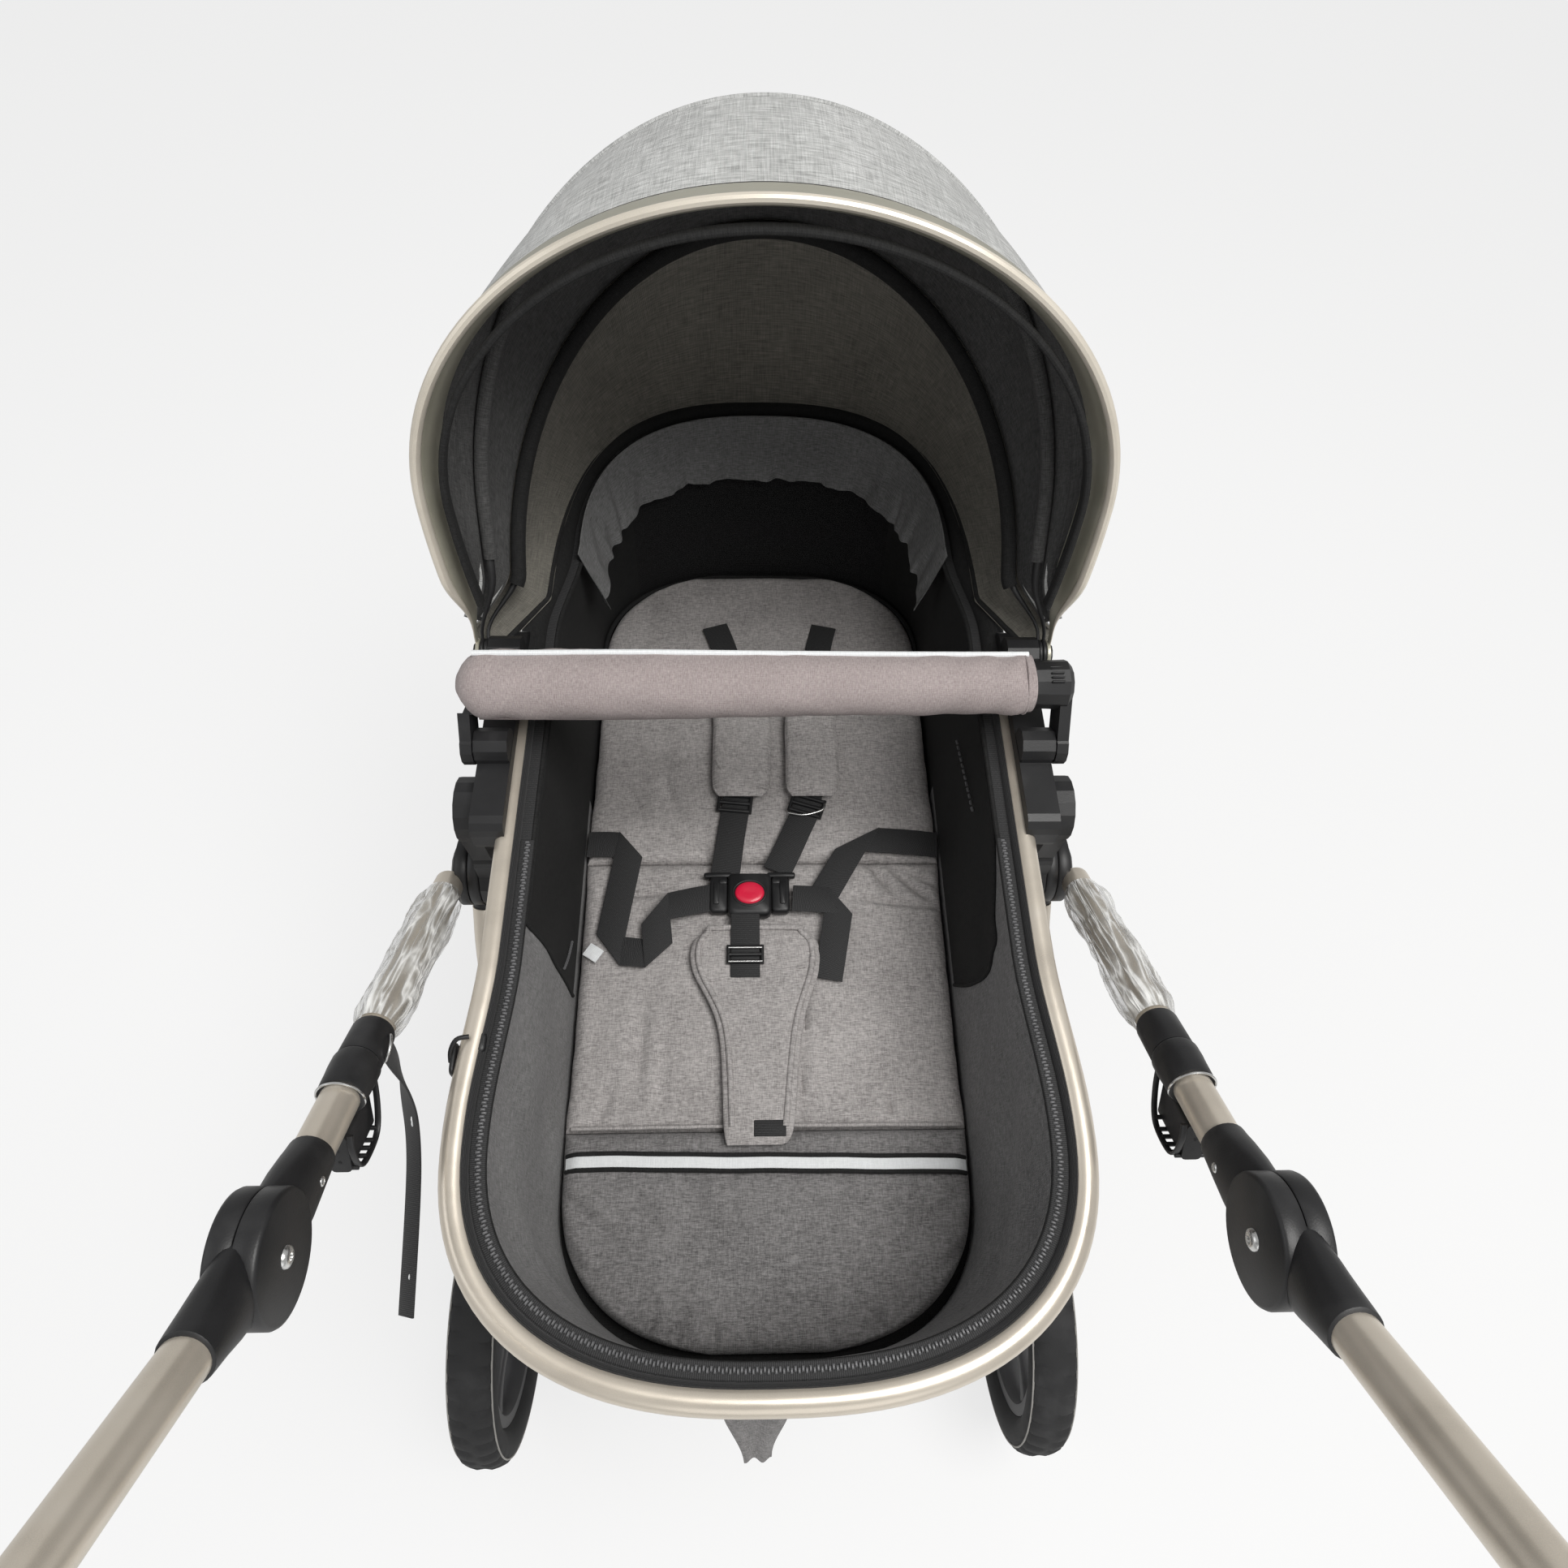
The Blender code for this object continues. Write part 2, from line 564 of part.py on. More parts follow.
def rear_wheel(word, side):
    spin = empty(f"rear_wheel_axis_{word}", (side * REAR_TRACK_HALF, REAR_AXLE.y - HUB.y, REAR_AXLE.z - HUB.z), REAR)
    centre = (side * REAR_TRACK_HALF, REAR_AXLE.y, REAR_AXLE.z)
    tyre(f"rear_tyre_{word}", centre, REAR_WHEEL_R, REAR_TYRE_W, spin, 24, 0.0025)
    rim_r = REAR_WHEEL_R * (1 - TYRE_DEPTH_SHARE)
    spoked_rim(f"rear_rim_{word}", centre, rim_r, REAR_TYRE_W, STUB_AXLE_R + GAP, 5, spin, 24)


def front_wheel(word, side):
    """Castor: fork with a stem in the leg's housing, wheel on the fork's axle, swivel lock."""
    x = side * FRONT_TRACK_HALF
    swivel = empty(f"castor_axis_{word}", (x, CASTOR_FORWARD, CASTOR_HOUSING_LOW), PRAM)
    axle_y = CASTOR_FORWARD - CASTOR_TRAIL
    centre = (x, axle_y, FRONT_WHEEL_R)
    arm_in = FRONT_TYRE_W / 2 + 0.002
    arm_out = arm_in + 0.005
    crown_low = 2 * FRONT_WHEEL_R + 0.006
    crown_top = CASTOR_HOUSING_LOW - GAP
    crown = block((x - arm_out, x + arm_out), (axle_y + 0.004, CASTOR_FORWARD + 0.018), (crown_low, crown_top))
    base = solid(f"castor_fork_{word}", *crown, BLACK, swivel, 30.0)
    tools = []
    for sign in (-1, 1):
        outline = [(CASTOR_FORWARD + 0.016, crown_top - 0.002), (axle_y + 0.002, crown_top - 0.002),
                   (axle_y - 0.012, crown_low - 0.03), (axle_y - 0.013, FRONT_WHEEL_R),
                   (axle_y - 0.008, FRONT_WHEEL_R - 0.010), (axle_y, FRONT_WHEEL_R - 0.013),
                   (axle_y + 0.008, FRONT_WHEEL_R - 0.010), (axle_y + 0.013, FRONT_WHEEL_R),
                   (axle_y + 0.020, crown_low - 0.06), (CASTOR_FORWARD + 0.016, crown_low - 0.012)]
        tools.append(solid(f"fork_arm_tool_{word}_{sign}", *plate(outline, x + sign * arm_in, x + sign * arm_out),
                           BLACK, swivel))
    tools.append(solid(f"fork_axle_tool_{word}", *cylinder(centre, STUB_AXLE_R, 2 * arm_in + 0.004, 10), BLACK, swivel))
    stem_low = crown_top - 0.004
    stem = cylinder((x, CASTOR_FORWARD, (stem_low + CASTOR_HOUSING_TOP + 0.003) / 2), CASTOR_STEM_R,
                    CASTOR_HOUSING_TOP + 0.003 - stem_low, 10, "Z")
    tools.append(solid(f"fork_stem_tool_{word}", *stem, BLACK, swivel))
    fuse(base, *tools)
    spin = empty(f"front_wheel_axis_{word}", Vector(centre) - Vector((x, CASTOR_FORWARD, CASTOR_HOUSING_LOW)), swivel)
    tyre(f"front_tyre_{word}", centre, FRONT_WHEEL_R, FRONT_TYRE_W, spin, 20, 0.0)
    rim_r = FRONT_WHEEL_R * (1 - TYRE_DEPTH_SHARE)
    spoked_rim(f"front_rim_{word}", centre, rim_r, FRONT_TYRE_W, STUB_AXLE_R + GAP, 5, spin, 20)
    lock_y = CASTOR_FORWARD + CASTOR_HOUSING_R + GAP
    lock_z = CASTOR_HOUSING_TOP - 0.012
    lock = empty(f"swivel_lock_hinge_{word}", (x, lock_y, lock_z + 0.008), PRAM)
    tongue = [(lock_y, lock_z + 0.008), (lock_y, lock_z - 0.024), (lock_y + 0.012, lock_z - 0.028),
              (lock_y + 0.017, lock_z - 0.024), (lock_y + 0.010, lock_z + 0.002), (lock_y + 0.008, lock_z + 0.008)]
    solid(f"swivel_lock_{word}", *plate(tongue, x - 0.009, x + 0.009), BLACK, lock)


# Handle: push tubes, film wrap, fold sliders, handlebar
def along(distance, x=0.0, lift=0.0):
    """Point on a push tube at a distance from the hub, lifted square to the tube."""
    normal = Vector((0.0, math.sin(HANDLE_RISE), math.cos(HANDLE_RISE)))
    return HUB + HANDLE_DIRECTION * distance + normal * lift + Vector((x, 0.0, 0.0))


DISC_IN = HANDLE_X - 0.014
DISC_MIDDLE = HANDLE_X
DISC_OUT = HANDLE_X + 0.014


def disc_outline(radius, count=16):
    centre = DISC_CENTRE
    return [(centre.y + radius * math.cos(2 * math.pi * i / count), centre.z + radius * math.sin(2 * math.pi * i / count))
            for i in range(count)]


def push_tube(word, side):
    tube_x = side * HANDLE_X
    base = solid(f"push_tube_{word}", *rod(along(HUB_DISC_R * 0.82, tube_x), along(DISC_REACH - 0.045, tube_x), PUSH_TUBE_R, 12),
                 CHAMPAGNE, HANDLE)
    ear = plate([(HUB_DISC_R * math.cos(a), HUB_Z + HUB_DISC_R * math.sin(a)) for a in
                 (2 * math.pi * i / 14 for i in range(14))], side * HANDLE_PLATE_IN, side * HANDLE_PLATE_OUT)
    shell = [[along(d, tube_x) + Vector((u * wide, 0, 0)) + (along(0, 0, 1) - HUB) * (v * tall)
              for u, v in circle(1.0, 10)]
             for d, wide, tall in ((DISC_REACH - 0.072, 0.0138, 0.0150), (DISC_REACH - 0.060, 0.0139, 0.0185),
                                   (DISC_REACH - 0.035, 0.0138, 0.0240), (DISC_REACH - 0.012, 0.0100, 0.0260))]
    disc = plate(disc_outline(DISC_R), side * DISC_IN, side * (DISC_MIDDLE - GAP / 2))
    for name, shape in (("ear", ear), ("elbow", loft(shell)), ("disc", disc)):
        fuse(base, solid(f"push_{name}_tool_{word}", *shape, BLACK, HANDLE))
    room = plate(disc_outline(DISC_R + 0.001), side * (DISC_MIDDLE - GAP / 2), side * (DISC_OUT + 0.01))
    bore = cylinder((side * HANDLE_PLATE_IN, 0.0, HUB_Z), PIVOT_PIN_R + GAP, 0.06, 10)
    button_bore = cylinder((side * DISC_MIDDLE, DISC_CENTRE.y, DISC_CENTRE.z), 0.006, 0.012, 10)
    cut(base, solid(f"push_room_tool_{word}", *room, BLACK, HANDLE),
        solid(f"push_bore_tool_{word}", *bore, BLACK, HANDLE),
        solid(f"push_socket_tool_{word}", *button_bore, BLACK, HANDLE))
    return base


def film_wrap(word, side):
    """Clear packing film wound round the push tube in overlapping puffy turns."""
    count = 8
    rings = []
    inner = []
    for i in range(count):
        share = i / (count - 1)
        middle = along(FILM_START + (FILM_END - FILM_START) * share, side * HANDLE_X)
        puff = FILM_T * (0.78 + 0.22 * math.sin(share * 7.0 * math.pi)) * (1.0 if 0 < i < count - 1 else 0.55)
        ring = []
        hole = []
        for u, v in circle(1.0, 12):
            direction = Vector((u, 0, 0)) + (along(0, 0, 1) - HUB) * v
            ring.append(middle + direction * (PUSH_TUBE_R + GAP + puff))
            hole.append(middle + direction * (PUSH_TUBE_R + GAP))
        rings.append(ring)
        inner.append(hole)
    body = rings + [inner[-1], inner[0]]
    return solid(f"film_wrap_{word}", *loft(body, closed_path=True), FILM, HANDLE)


def fold_slider(word, side):
    """Fold release: a sleeve on the tube with a ribbed finger loop below it."""
    slide = empty(f"fold_slider_axis_{word}", HANDLE_DIRECTION * SLIDER_START, HANDLE)
    x = side * HANDLE_X
    wall = 0.0035
    normal = along(0, 0, 1) - HUB
    rings = []
    for d in (SLIDER_START, SLIDER_START + 0.003, SLIDER_START + SLIDER_LENGTH - 0.003, SLIDER_START + SLIDER_LENGTH):
        edge = 0.0012 if d in (SLIDER_START, SLIDER_START + SLIDER_LENGTH) else 0.0
        rings.append([along(d, x) + Vector((u, 0, 0)) + normal * v for u, v in circle(PUSH_TUBE_R + wall - edge, 12)])
    base = solid(f"fold_slider_{word}", *loft(rings), BLACK, slide)
    bottom = -PUSH_TUBE_R - 0.034
    loop = []
    for d, low, high in ((0.000, -0.018, -0.008), (0.004, bottom + 0.006, -0.008), (0.012, bottom, bottom + 0.006),
                         (0.040, bottom, bottom + 0.006), (0.050, bottom + 0.006, -0.008), (0.055, -0.020, -0.008)):
        loop.append((SLIDER_START + d, low, high))
    guard = []
    for d, low, high in loop:
        guard.append([along(d, x - 0.009, low), along(d, x + 0.009, low), along(d, x + 0.009, high),
                      along(d, x - 0.009, high)])
    fuse(base, solid(f"slider_loop_tool_{word}", *loft(guard), BLACK, slide))
    ribs = []
    for i in range(3):
        d = SLIDER_START + 0.016 + i * 0.010
        ribs.append(solid(f"slider_rib_tool_{word}_{i}",
                          *rod(along(d, x - 0.011, bottom), along(d, x + 0.011, bottom), 0.0024, 6, HANDLE_DIRECTION),
                          BLACK, slide))
    fuse(base, *ribs)
    bore = rod(along(SLIDER_START - 0.02, x), along(SLIDER_START + SLIDER_LENGTH + 0.02, x), PUSH_TUBE_R + GAP, 12)
    return cut(base, solid(f"slider_bore_tool_{word}", *bore, BLACK, slide))


def handlebar():
    """Upper handle: one bent tube between two discs that clutch the push tubes' discs."""
    bend = ARM_BEND_R
    half = HANDLE_X + 0.0005
    route = []
    low = DISC_CENTRE + ARM_DIRECTION * 0.028
    corner_start = ARM_LENGTH - bend
    for side in (-1.0, 1.0):
        part = [low + Vector((side * half, 0, 0)), DISC_CENTRE + ARM_DIRECTION * (corner_start * 0.5) + Vector((side * half, 0, 0))]
        for i in range(5):
            angle = 0.5 * math.pi * i / 4
            reach = corner_start + bend * math.sin(angle)
            x = side * (half - bend + bend * math.cos(angle))
            part.append(DISC_CENTRE + ARM_DIRECTION * reach + Vector((x, 0, 0)))
        route = part if side < 0 else route + part[::-1]
    square = ARM_DIRECTION.cross(Vector((1, 0, 0)))
    base = solid("handlebar", *sweep(route, circle(PUSH_TUBE_R, 12), square), CHAMPAGNE, HANDLE_TOP)
    for word, side in SIDES:
        disc = plate(disc_outline(DISC_R), side * (DISC_MIDDLE + GAP / 2), side * DISC_OUT)
        elbow = [[DISC_CENTRE + ARM_DIRECTION * d + Vector((side * half + u * wide, 0, 0)) + square * (v * tall)
                  for u, v in circle(1.0, 12)]
                 for d, wide, tall in ((0.010, 0.0100, 0.024), (0.038, 0.0135, 0.0215), (0.058, 0.0142, 0.0165),
                                       (0.072, 0.0140, 0.0150))]
        fuse(base, solid(f"bar_disc_tool_{word}", *disc, BLACK, HANDLE_TOP),
             solid(f"bar_elbow_tool_{word}", *loft(elbow), BLACK, HANDLE_TOP))
        room = plate(disc_outline(DISC_R + 0.001), side * (DISC_IN - 0.01), side * (DISC_MIDDLE + GAP / 2))
        well = cylinder((side * (DISC_OUT + 0.002), DISC_CENTRE.y, DISC_CENTRE.z), ANGLE_BUTTON_R + GAP, 0.016, 12)
        hole = cylinder((side * DISC_MIDDLE, DISC_CENTRE.y, DISC_CENTRE.z), 0.0055 + GAP, 0.04, 10)
        cut(base, solid(f"bar_room_tool_{word}", *room, BLACK, HANDLE_TOP),
            solid(f"bar_well_tool_{word}", *well, BLACK, HANDLE_TOP),
            solid(f"bar_hole_tool_{word}", *hole, BLACK, HANDLE_TOP))
    return base


def handle_grip():
    """Soft sleeve over the straight cross piece of the handlebar."""
    half = HANDLE_X - ARM_BEND_R - 0.004
    end = 0.006
    profile = [(-half, GRIP_BORE), (-half, GRIP_R - 0.0016), (-half + end, GRIP_R), (half - end, GRIP_R),
               (half, GRIP_R - 0.0016), (half, GRIP_BORE)]
    return solid("handle_grip", *turned(profile, GRIP_CENTRE, 12), BLACK, HANDLE_TOP)


def angle_button(word, side):
    """Press button whose stem runs through both discs to unlock the handlebar's clutch."""
    press = empty(f"angle_button_axis_{word}", (side * DISC_OUT, 0.0, 0.0), HANDLE_TOP)
    floor = DISC_OUT - 0.006 + GAP + ANGLE_BUTTON_TRAVEL
    profile = [(side * (floor - 0.013), 0.0), (side * (floor - 0.013), 0.0050), (side * floor, 0.0050),
               (side * floor, ANGLE_BUTTON_R), (side * (DISC_OUT + 0.0025), ANGLE_BUTTON_R - 0.0006),
               (side * (DISC_OUT + 0.004), ANGLE_BUTTON_R - 0.003), (side * (DISC_OUT + 0.004), 0.0)]
    solid(f"angle_button_{word}", *turned(profile, (0.0, DISC_CENTRE.y, DISC_CENTRE.z), 12), BLACK, press)


def wrist_strap():
    """Safety strap hanging from a ring on the left push tube beside the seat rim."""
    x = -(HANDLE_X - PUSH_TUBE_R - GAP - 0.0012)
    top = along(0.246, x, 0.0)
    lower = Vector((x, top.y - 0.150, top.z - 0.135))
    route = smooth_path([top, top + Vector((0, -0.012, -0.05)), (top + lower) / 2 + Vector((0, 0.022, -0.030)),
                         lower], 4)
    return solid("wrist_strap", *sweep(route, [(-0.0012, -0.008), (0.0012, -0.008), (0.0012, 0.008), (-0.0012, 0.008)],
                                       (0.0, -0.62, 0.78)), WEBBING, HANDLE)


# Seat unit: rim, tub, adapters and housings
def rim_side(y):
    """Half width of the rim's centre line along its straight sides."""
    foot_round = RIM_FOOT_END + RIM_FOOT_ROUND
    head_round = RIM_HEAD_END - RIM_HEAD_ROUND
    narrow = ease(y, foot_round, foot_round + 0.12)
    taper = ease(y, head_round - 0.095, head_round)
    return RIM_HALF_FOOT + (RIM_HALF_SIDE - RIM_HALF_FOOT) * narrow + (RIM_HALF_HEAD - RIM_HALF_SIDE) * taper


def plan_outline(side_of, head, foot, ends, sides):
    """Closed plan outline: two rounded ends, each (half width, end, round length), and two sides."""
    power = 2.0 / RIM_POWER
    head_centre = head[1] - head[2]
    foot_centre = foot[1] + foot[2]
    points = []
    for i in range(ends + 1):
        angle = math.pi * i / ends
        c, s = math.cos(angle), math.sin(angle)
        points.append((math.copysign(abs(c) ** power, c) * head[0], head_centre + abs(s) ** power * head[2]))
    for i in range(1, sides):
        y = head_centre + (foot_centre - head_centre) * i / sides
        points.append((-side_of(y), y))
    for i in range(ends + 1):
        angle = math.pi * (1 + i / ends)
        c, s = math.cos(angle), math.sin(angle)
        points.append((math.copysign(abs(c) ** power, c) * foot[0], foot_centre - abs(s) ** power * foot[2]))
    for i in range(1, sides):
        y = foot_centre + (head_centre - foot_centre) * i / sides
        points.append((side_of(y), y))
    return points


def rim_outline(inset, ends=12, sides=5):
    """Plan outline of the seat unit at the rim, drawn in by an inset."""
    return plan_outline(lambda y: rim_side(y) - inset,
                        (RIM_HALF_HEAD - inset, RIM_HEAD_END - inset, RIM_HEAD_ROUND - inset),
                        (RIM_HALF_FOOT - inset, RIM_FOOT_END + inset, RIM_FOOT_ROUND - inset), ends, sides)


def floor_half(y):
    """Half width of the tub's inside floor at a place along the pram."""
    half = CUSHION_HALF + FLOOR_ROOM
    if y > BACK_END_Y - HEAD_CORNER:
        past = (y - BACK_END_Y + HEAD_CORNER) / (HEAD_CORNER + FLOOR_ROOM)
    elif y < FOOT_END_Y + FOOT_CORNER:
        past = (FOOT_END_Y + FOOT_CORNER - y) / (FOOT_CORNER + FLOOR_ROOM)
    else:
        past = 0.0
    return half * max(1.0 - past ** RIM_POWER, 0.0) ** (1.0 / RIM_POWER)


def floor_outline(grow, ends=12, sides=5):
    """Plan outline of the tub at its floor, grown outwards from the inside face."""
    half = CUSHION_HALF + FLOOR_ROOM + grow
    out = FLOOR_ROOM + grow
    return plan_outline(lambda y: half, (half, BACK_END_Y + out, HEAD_CORNER + out),
                        (half, FOOT_END_Y - out, FOOT_CORNER + out), ends, sides)


def seat_rim():
    path = [(x, y, RIM_Z) for x, y in rim_outline(0.0)]
    return solid("seat_rim", *sweep(path, circle(RIM_TUBE_R, 8), (0, 0, 1), closed_path=True), CHAMPAGNE, SEAT)


TUB_TOP_Z = RIM_Z - 0.002


def tub():
    """Carrycot body: fabric walls between the rim and a narrower floor, open on top."""
    low_z = TUB_FLOOR_Z + TUB_WALL

    def level(share, inset, z):
        low, high = floor_outline(-inset + TUB_WALL), rim_outline(TUB_TOP_INSET + inset)
        return [(a[0] + (b[0] - a[0]) * share, a[1] + (b[1] - a[1]) * share, z) for a, b in zip(low, high)]

    rings = [level(0.0, 0.004, TUB_FLOOR_Z), level(0.0, 0.0, TUB_FLOOR_Z + 0.010), level(0.5, 0.0, 0.572),
             level(1.0, 0.0, TUB_TOP_Z), level(1.0, TUB_WALL, TUB_TOP_Z), level(0.5, TUB_WALL, 0.572),
             level(0.0, TUB_WALL, TUB_FLOOR_Z + 0.036), level(0.0, TUB_WALL, low_z)]
    base = solid("bassinet", *loft(rings), MELANGE, SEAT)
    fall = [(0.003, 0.652), (-0.001, 0.640), (-0.006, 0.620), (-0.010, 0.600)]
    strip = [[(-0.031, RIM_FOOT_END + TUB_TOP_INSET + y, z), (0.015, RIM_FOOT_END + TUB_TOP_INSET + y, z),
              (0.015, RIM_FOOT_END + TUB_TOP_INSET + y - 0.003, z), (-0.031, RIM_FOOT_END + TUB_TOP_INSET + y - 0.003, z)]
             for y, z in fall]
    return fuse(base, solid("bassinet_tab_tool", *loft(strip), MELANGE, SEAT))


def zip_tape():
    """Zip round the foot end, lying on the inner shoulder of the rim tube."""
    outline = rim_outline(RIM_TUBE_R + 2 * GAP)
    keep = [p for p in outline if p[1] < -0.035]
    keep.sort(key=lambda p: math.atan2(p[1] + 0.035, p[0]))
    path = [(x, y, TUB_TOP_Z + GAP + ZIP_TAPE_T / 2) for x, y in keep]
    flat = [(-ZIP_TAPE_W, -ZIP_TAPE_T / 2), (0.0, -ZIP_TAPE_T / 2), (0.0, ZIP_TAPE_T / 2), (-ZIP_TAPE_W, ZIP_TAPE_T / 2)]
    return solid("zip_tape", *sweep(path, flat, (0, 0, 1)), WEBBING, SEAT)


def zip_pull():
    y = -0.205
    x = -(rim_side(y) + RIM_TUBE_R + GAP)
    return solid("zip_pull", *block((x - 0.0035, x), (y - 0.011, y + 0.011), (RIM_Z - 0.012, RIM_Z + 0.004)), BLACK, SEAT)


def seat_housing(word, side):
    """Black side casting: rim sleeve, tilt boss, bumper lug and hood pivot pin."""
    x_in, x_out = RIM_HALF_SIDE + 0.0005, HOUSING_OUT_X
    body = plate(round_outline((0.060, RIM_Z + 0.002), 0.098, 0.0185, 0.012, 3), side * x_in, side * (x_out - 0.0012))
    base = solid(f"seat_housing_{word}", *body, BLACK, SEAT)
    eyes = 3 * (HOOP_EYE_T + GAP)

    def stepped(y, z, inset, steps, segments):
        """Round boss with a pin on it: radius and outer end of each step, from the seat outwards."""
        profile = [(side * (x_in + inset), 0.0)]
        start = x_in + inset
        for radius, end in steps:
            profile += [(side * start, radius), (side * end, radius)]
            start = end
        return turned(profile + [(side * start, 0.0)], (0.0, y, z), segments)

    shapes = [("tilt", stepped(0.0, TILT_Z, 0.0006, ((0.024, x_out), (0.008, x_out + 0.010)), 12)),
              ("lug", stepped(BUMPER_PIN_Y, BUMPER_PIN_Z, 0.0003, ((0.014, x_out - 0.0003), (0.005, x_out + 0.010)), 10)),
              ("neck", plate([(BUMPER_PIN_Y - 0.016, RIM_Z), (BUMPER_PIN_Y + 0.018, RIM_Z),
                              (BUMPER_PIN_Y + 0.0135, BUMPER_PIN_Z), (BUMPER_PIN_Y - 0.0135, BUMPER_PIN_Z)],
                             side * (x_in + 0.0010), side * (x_out - 0.0009))),
              ("hood", stepped(HOOD_Y, HOOD_Z, 0.0002, ((0.014, x_out - 0.0002), (0.005, x_out + eyes + GAP),
                                                        (0.008, x_out + eyes + GAP + 0.002)), 10)),
              ("rest", plate([(HOOD_Y - 0.020, RIM_Z), (HOOD_Y + 0.020, RIM_Z), (HOOD_Y + 0.0135, HOOD_Z),
                              (HOOD_Y - 0.0135, HOOD_Z)], side * (x_in + 0.0013), side * (x_out - 0.0011)))]
    fuse(base, *[solid(f"housing_{name}_tool_{word}", *shape, BLACK, SEAT) for name, shape in shapes])
    channel = [(side * rim_side(y), y, RIM_Z) for y in (-0.08, 0.165, 0.20)]
    return cut(base, solid(f"housing_channel_tool_{word}", *sweep(channel, circle(RIM_TUBE_R + GAP, 10), (0, 0, 1)), BLACK, SEAT))


def seat_adapter(word, side):
    """Socket that drops over the hub's post; its upper eye carries the tilt pin."""
    x_in = HOUSING_OUT_X + GAP
    x_out = x_in + ADAPTER_T
    low = HUB_Z + 0.052 + GAP
    eye = [(0.026 * math.cos(a), TILT_Z + 0.026 * math.sin(a)) for a in (2 * math.pi * i / 16 for i in range(16))]
    base = solid(f"seat_adapter_{word}", *plate(eye, side * x_in, side * x_out), BLACK, SEAT_MOUNT)
    skirt = plate([(-0.019, low), (0.019, low), (0.024, TILT_Z), (-0.024, TILT_Z)], side * x_in, side * x_out)
    fuse(base, solid(f"adapter_skirt_tool_{word}", *skirt, BLACK, SEAT_MOUNT))
    post_mid = HUB_PLATE_X + HUB_PLATE_T / 2
    pocket = block((side * (post_mid - POST_T / 2 - GAP), side * (post_mid + POST_T / 2 + GAP)),
                   (-0.012 - GAP, 0.012 + GAP), (low - 0.02, POST_TOP + GAP))
    eye_bore = cylinder((side * (x_in - 0.001), 0.0, TILT_Z), 0.008 + GAP, 0.024, 12)
    return cut(base, solid(f"adapter_pocket_tool_{word}", *pocket, BLACK, SEAT_MOUNT),
               solid(f"adapter_bore_tool_{word}", *eye_bore, BLACK, SEAT_MOUNT))


# Cushions and harness
def cushion_top(x, y):
    """Height of the padded surface, falling towards the cushions' sides."""
    across = min(abs(x) / CUSHION_HALF, 1.0)
    return CUSHION_TOP - CUSHION_CROWN * across ** 3


def cushion(name, y_low, y_high, floor_z, parent, crossings=()):
    """Quilted pad following the tub's floor: crowned top with drawn-in edges."""
    across, lengthwise = 8, 6
    top, bottom = [], []
    for j in range(lengthwise + 1):
        v = 0.5 - 0.5 * math.cos(math.pi * j / lengthwise)
        y = y_low + (y_high - y_low) * v
        half = min(CUSHION_HALF, floor_half(y + math.copysign(CORNER_ROOM, y)) - FLOOR_ROOM)
        for i in range(across + 1):
            u = 2 * i / across - 1
            x = u * half
            edge = max(abs(u) ** 8, abs(2 * v - 1) ** 16)
            dent = sum(0.0035 * math.exp(-((y - c) / 0.006) ** 2) for c in crossings)
            top.append((x, y, cushion_top(x, y) - 0.007 * edge - dent))
            bottom.append((x * (1 - 0.01 * edge), y, floor_z))
    row = across + 1
    total = len(top)
    faces = []
    for j in range(lengthwise):
        for i in range(across):
            a = j * row + i
            faces.append((a, a + 1, a + row + 1, a + row))
            faces.append((total + a, total + a + row, total + a + row + 1, total + a + 1))
    rim = [i for i in range(row)] + [j * row + across for j in range(1, lengthwise + 1)]
    rim += [lengthwise * row + i for i in range(across - 1, -1, -1)] + [j * row for j in range(lengthwise - 1, 0, -1)]
    for n, a in enumerate(rim):
        b = rim[(n + 1) % len(rim)]
        faces.append((b, a, total + a, total + b))
    return solid(name, top + bottom, faces, MELANGE, parent, 60.0)


def cushions():
    floor = TUB_FLOOR_Z + 0.005 + GAP
    board_top = floor + BOARD_T
    solid("backrest_board", *block((-CUSHION_HALF + 0.006, CUSHION_HALF - 0.006), (FOLD_LINE_Y + 0.012, BACK_END_Y - 0.7 * HEAD_CORNER),
                                   (floor, board_top)), BLACK, BACKREST)
    cushion("back_cushion", FOLD_LINE_Y + GAP, BACK_END_Y - CORNER_ROOM, board_top + GAP, BACKREST)
    cushion("seat_cushion", SEAT_END_Y, FOLD_LINE_Y - GAP, floor, SEAT)
    cushion("foot_pad", FOOT_END_Y + CORNER_ROOM, SEAT_END_Y - 2 * GAP, floor, SEAT, (SEAT_END_Y - 0.026,))


def ribbon(name, points, width, parent, lift=0.0, spans=2, look=WEBBING, thick=WEBBING_T):
    """Flat webbing laid along chosen points; the third number is its height over the pads."""
    base = [Vector((x, y, cushion_top(x, y) + GAP + thick / 2 + h + lift)) for x, y, h in points]
    return solid(name, *sweep(smooth_path(base, spans), slab(width, thick), (0.0, 0.0, 1.0)), look, parent)


def pad(name, rows, thick, parent, lift=0.0):
    """Pillow with rounded sides from rows of (x centre, y, half width)."""
    rings = []
    count = len(rows)
    for n, (x, y, half) in enumerate(rows):
        end = 0.55 if n in (0, count - 1) else 1.0
        low = cushion_top(x, y) + GAP + lift
        ring = []
        for u, v in ((-1, 0.25), (-0.8, 0.0), (0.8, 0.0), (1, 0.25), (1, 0.6), (0.72, 0.95), (0.0, 1.0), (-0.72, 0.95), (-1, 0.6)):
            ring.append((x + u * half, y, low + v * thick * end))
        rings.append(ring)
    return solid(name, *loft(rings), MELANGE, parent, 60.0)


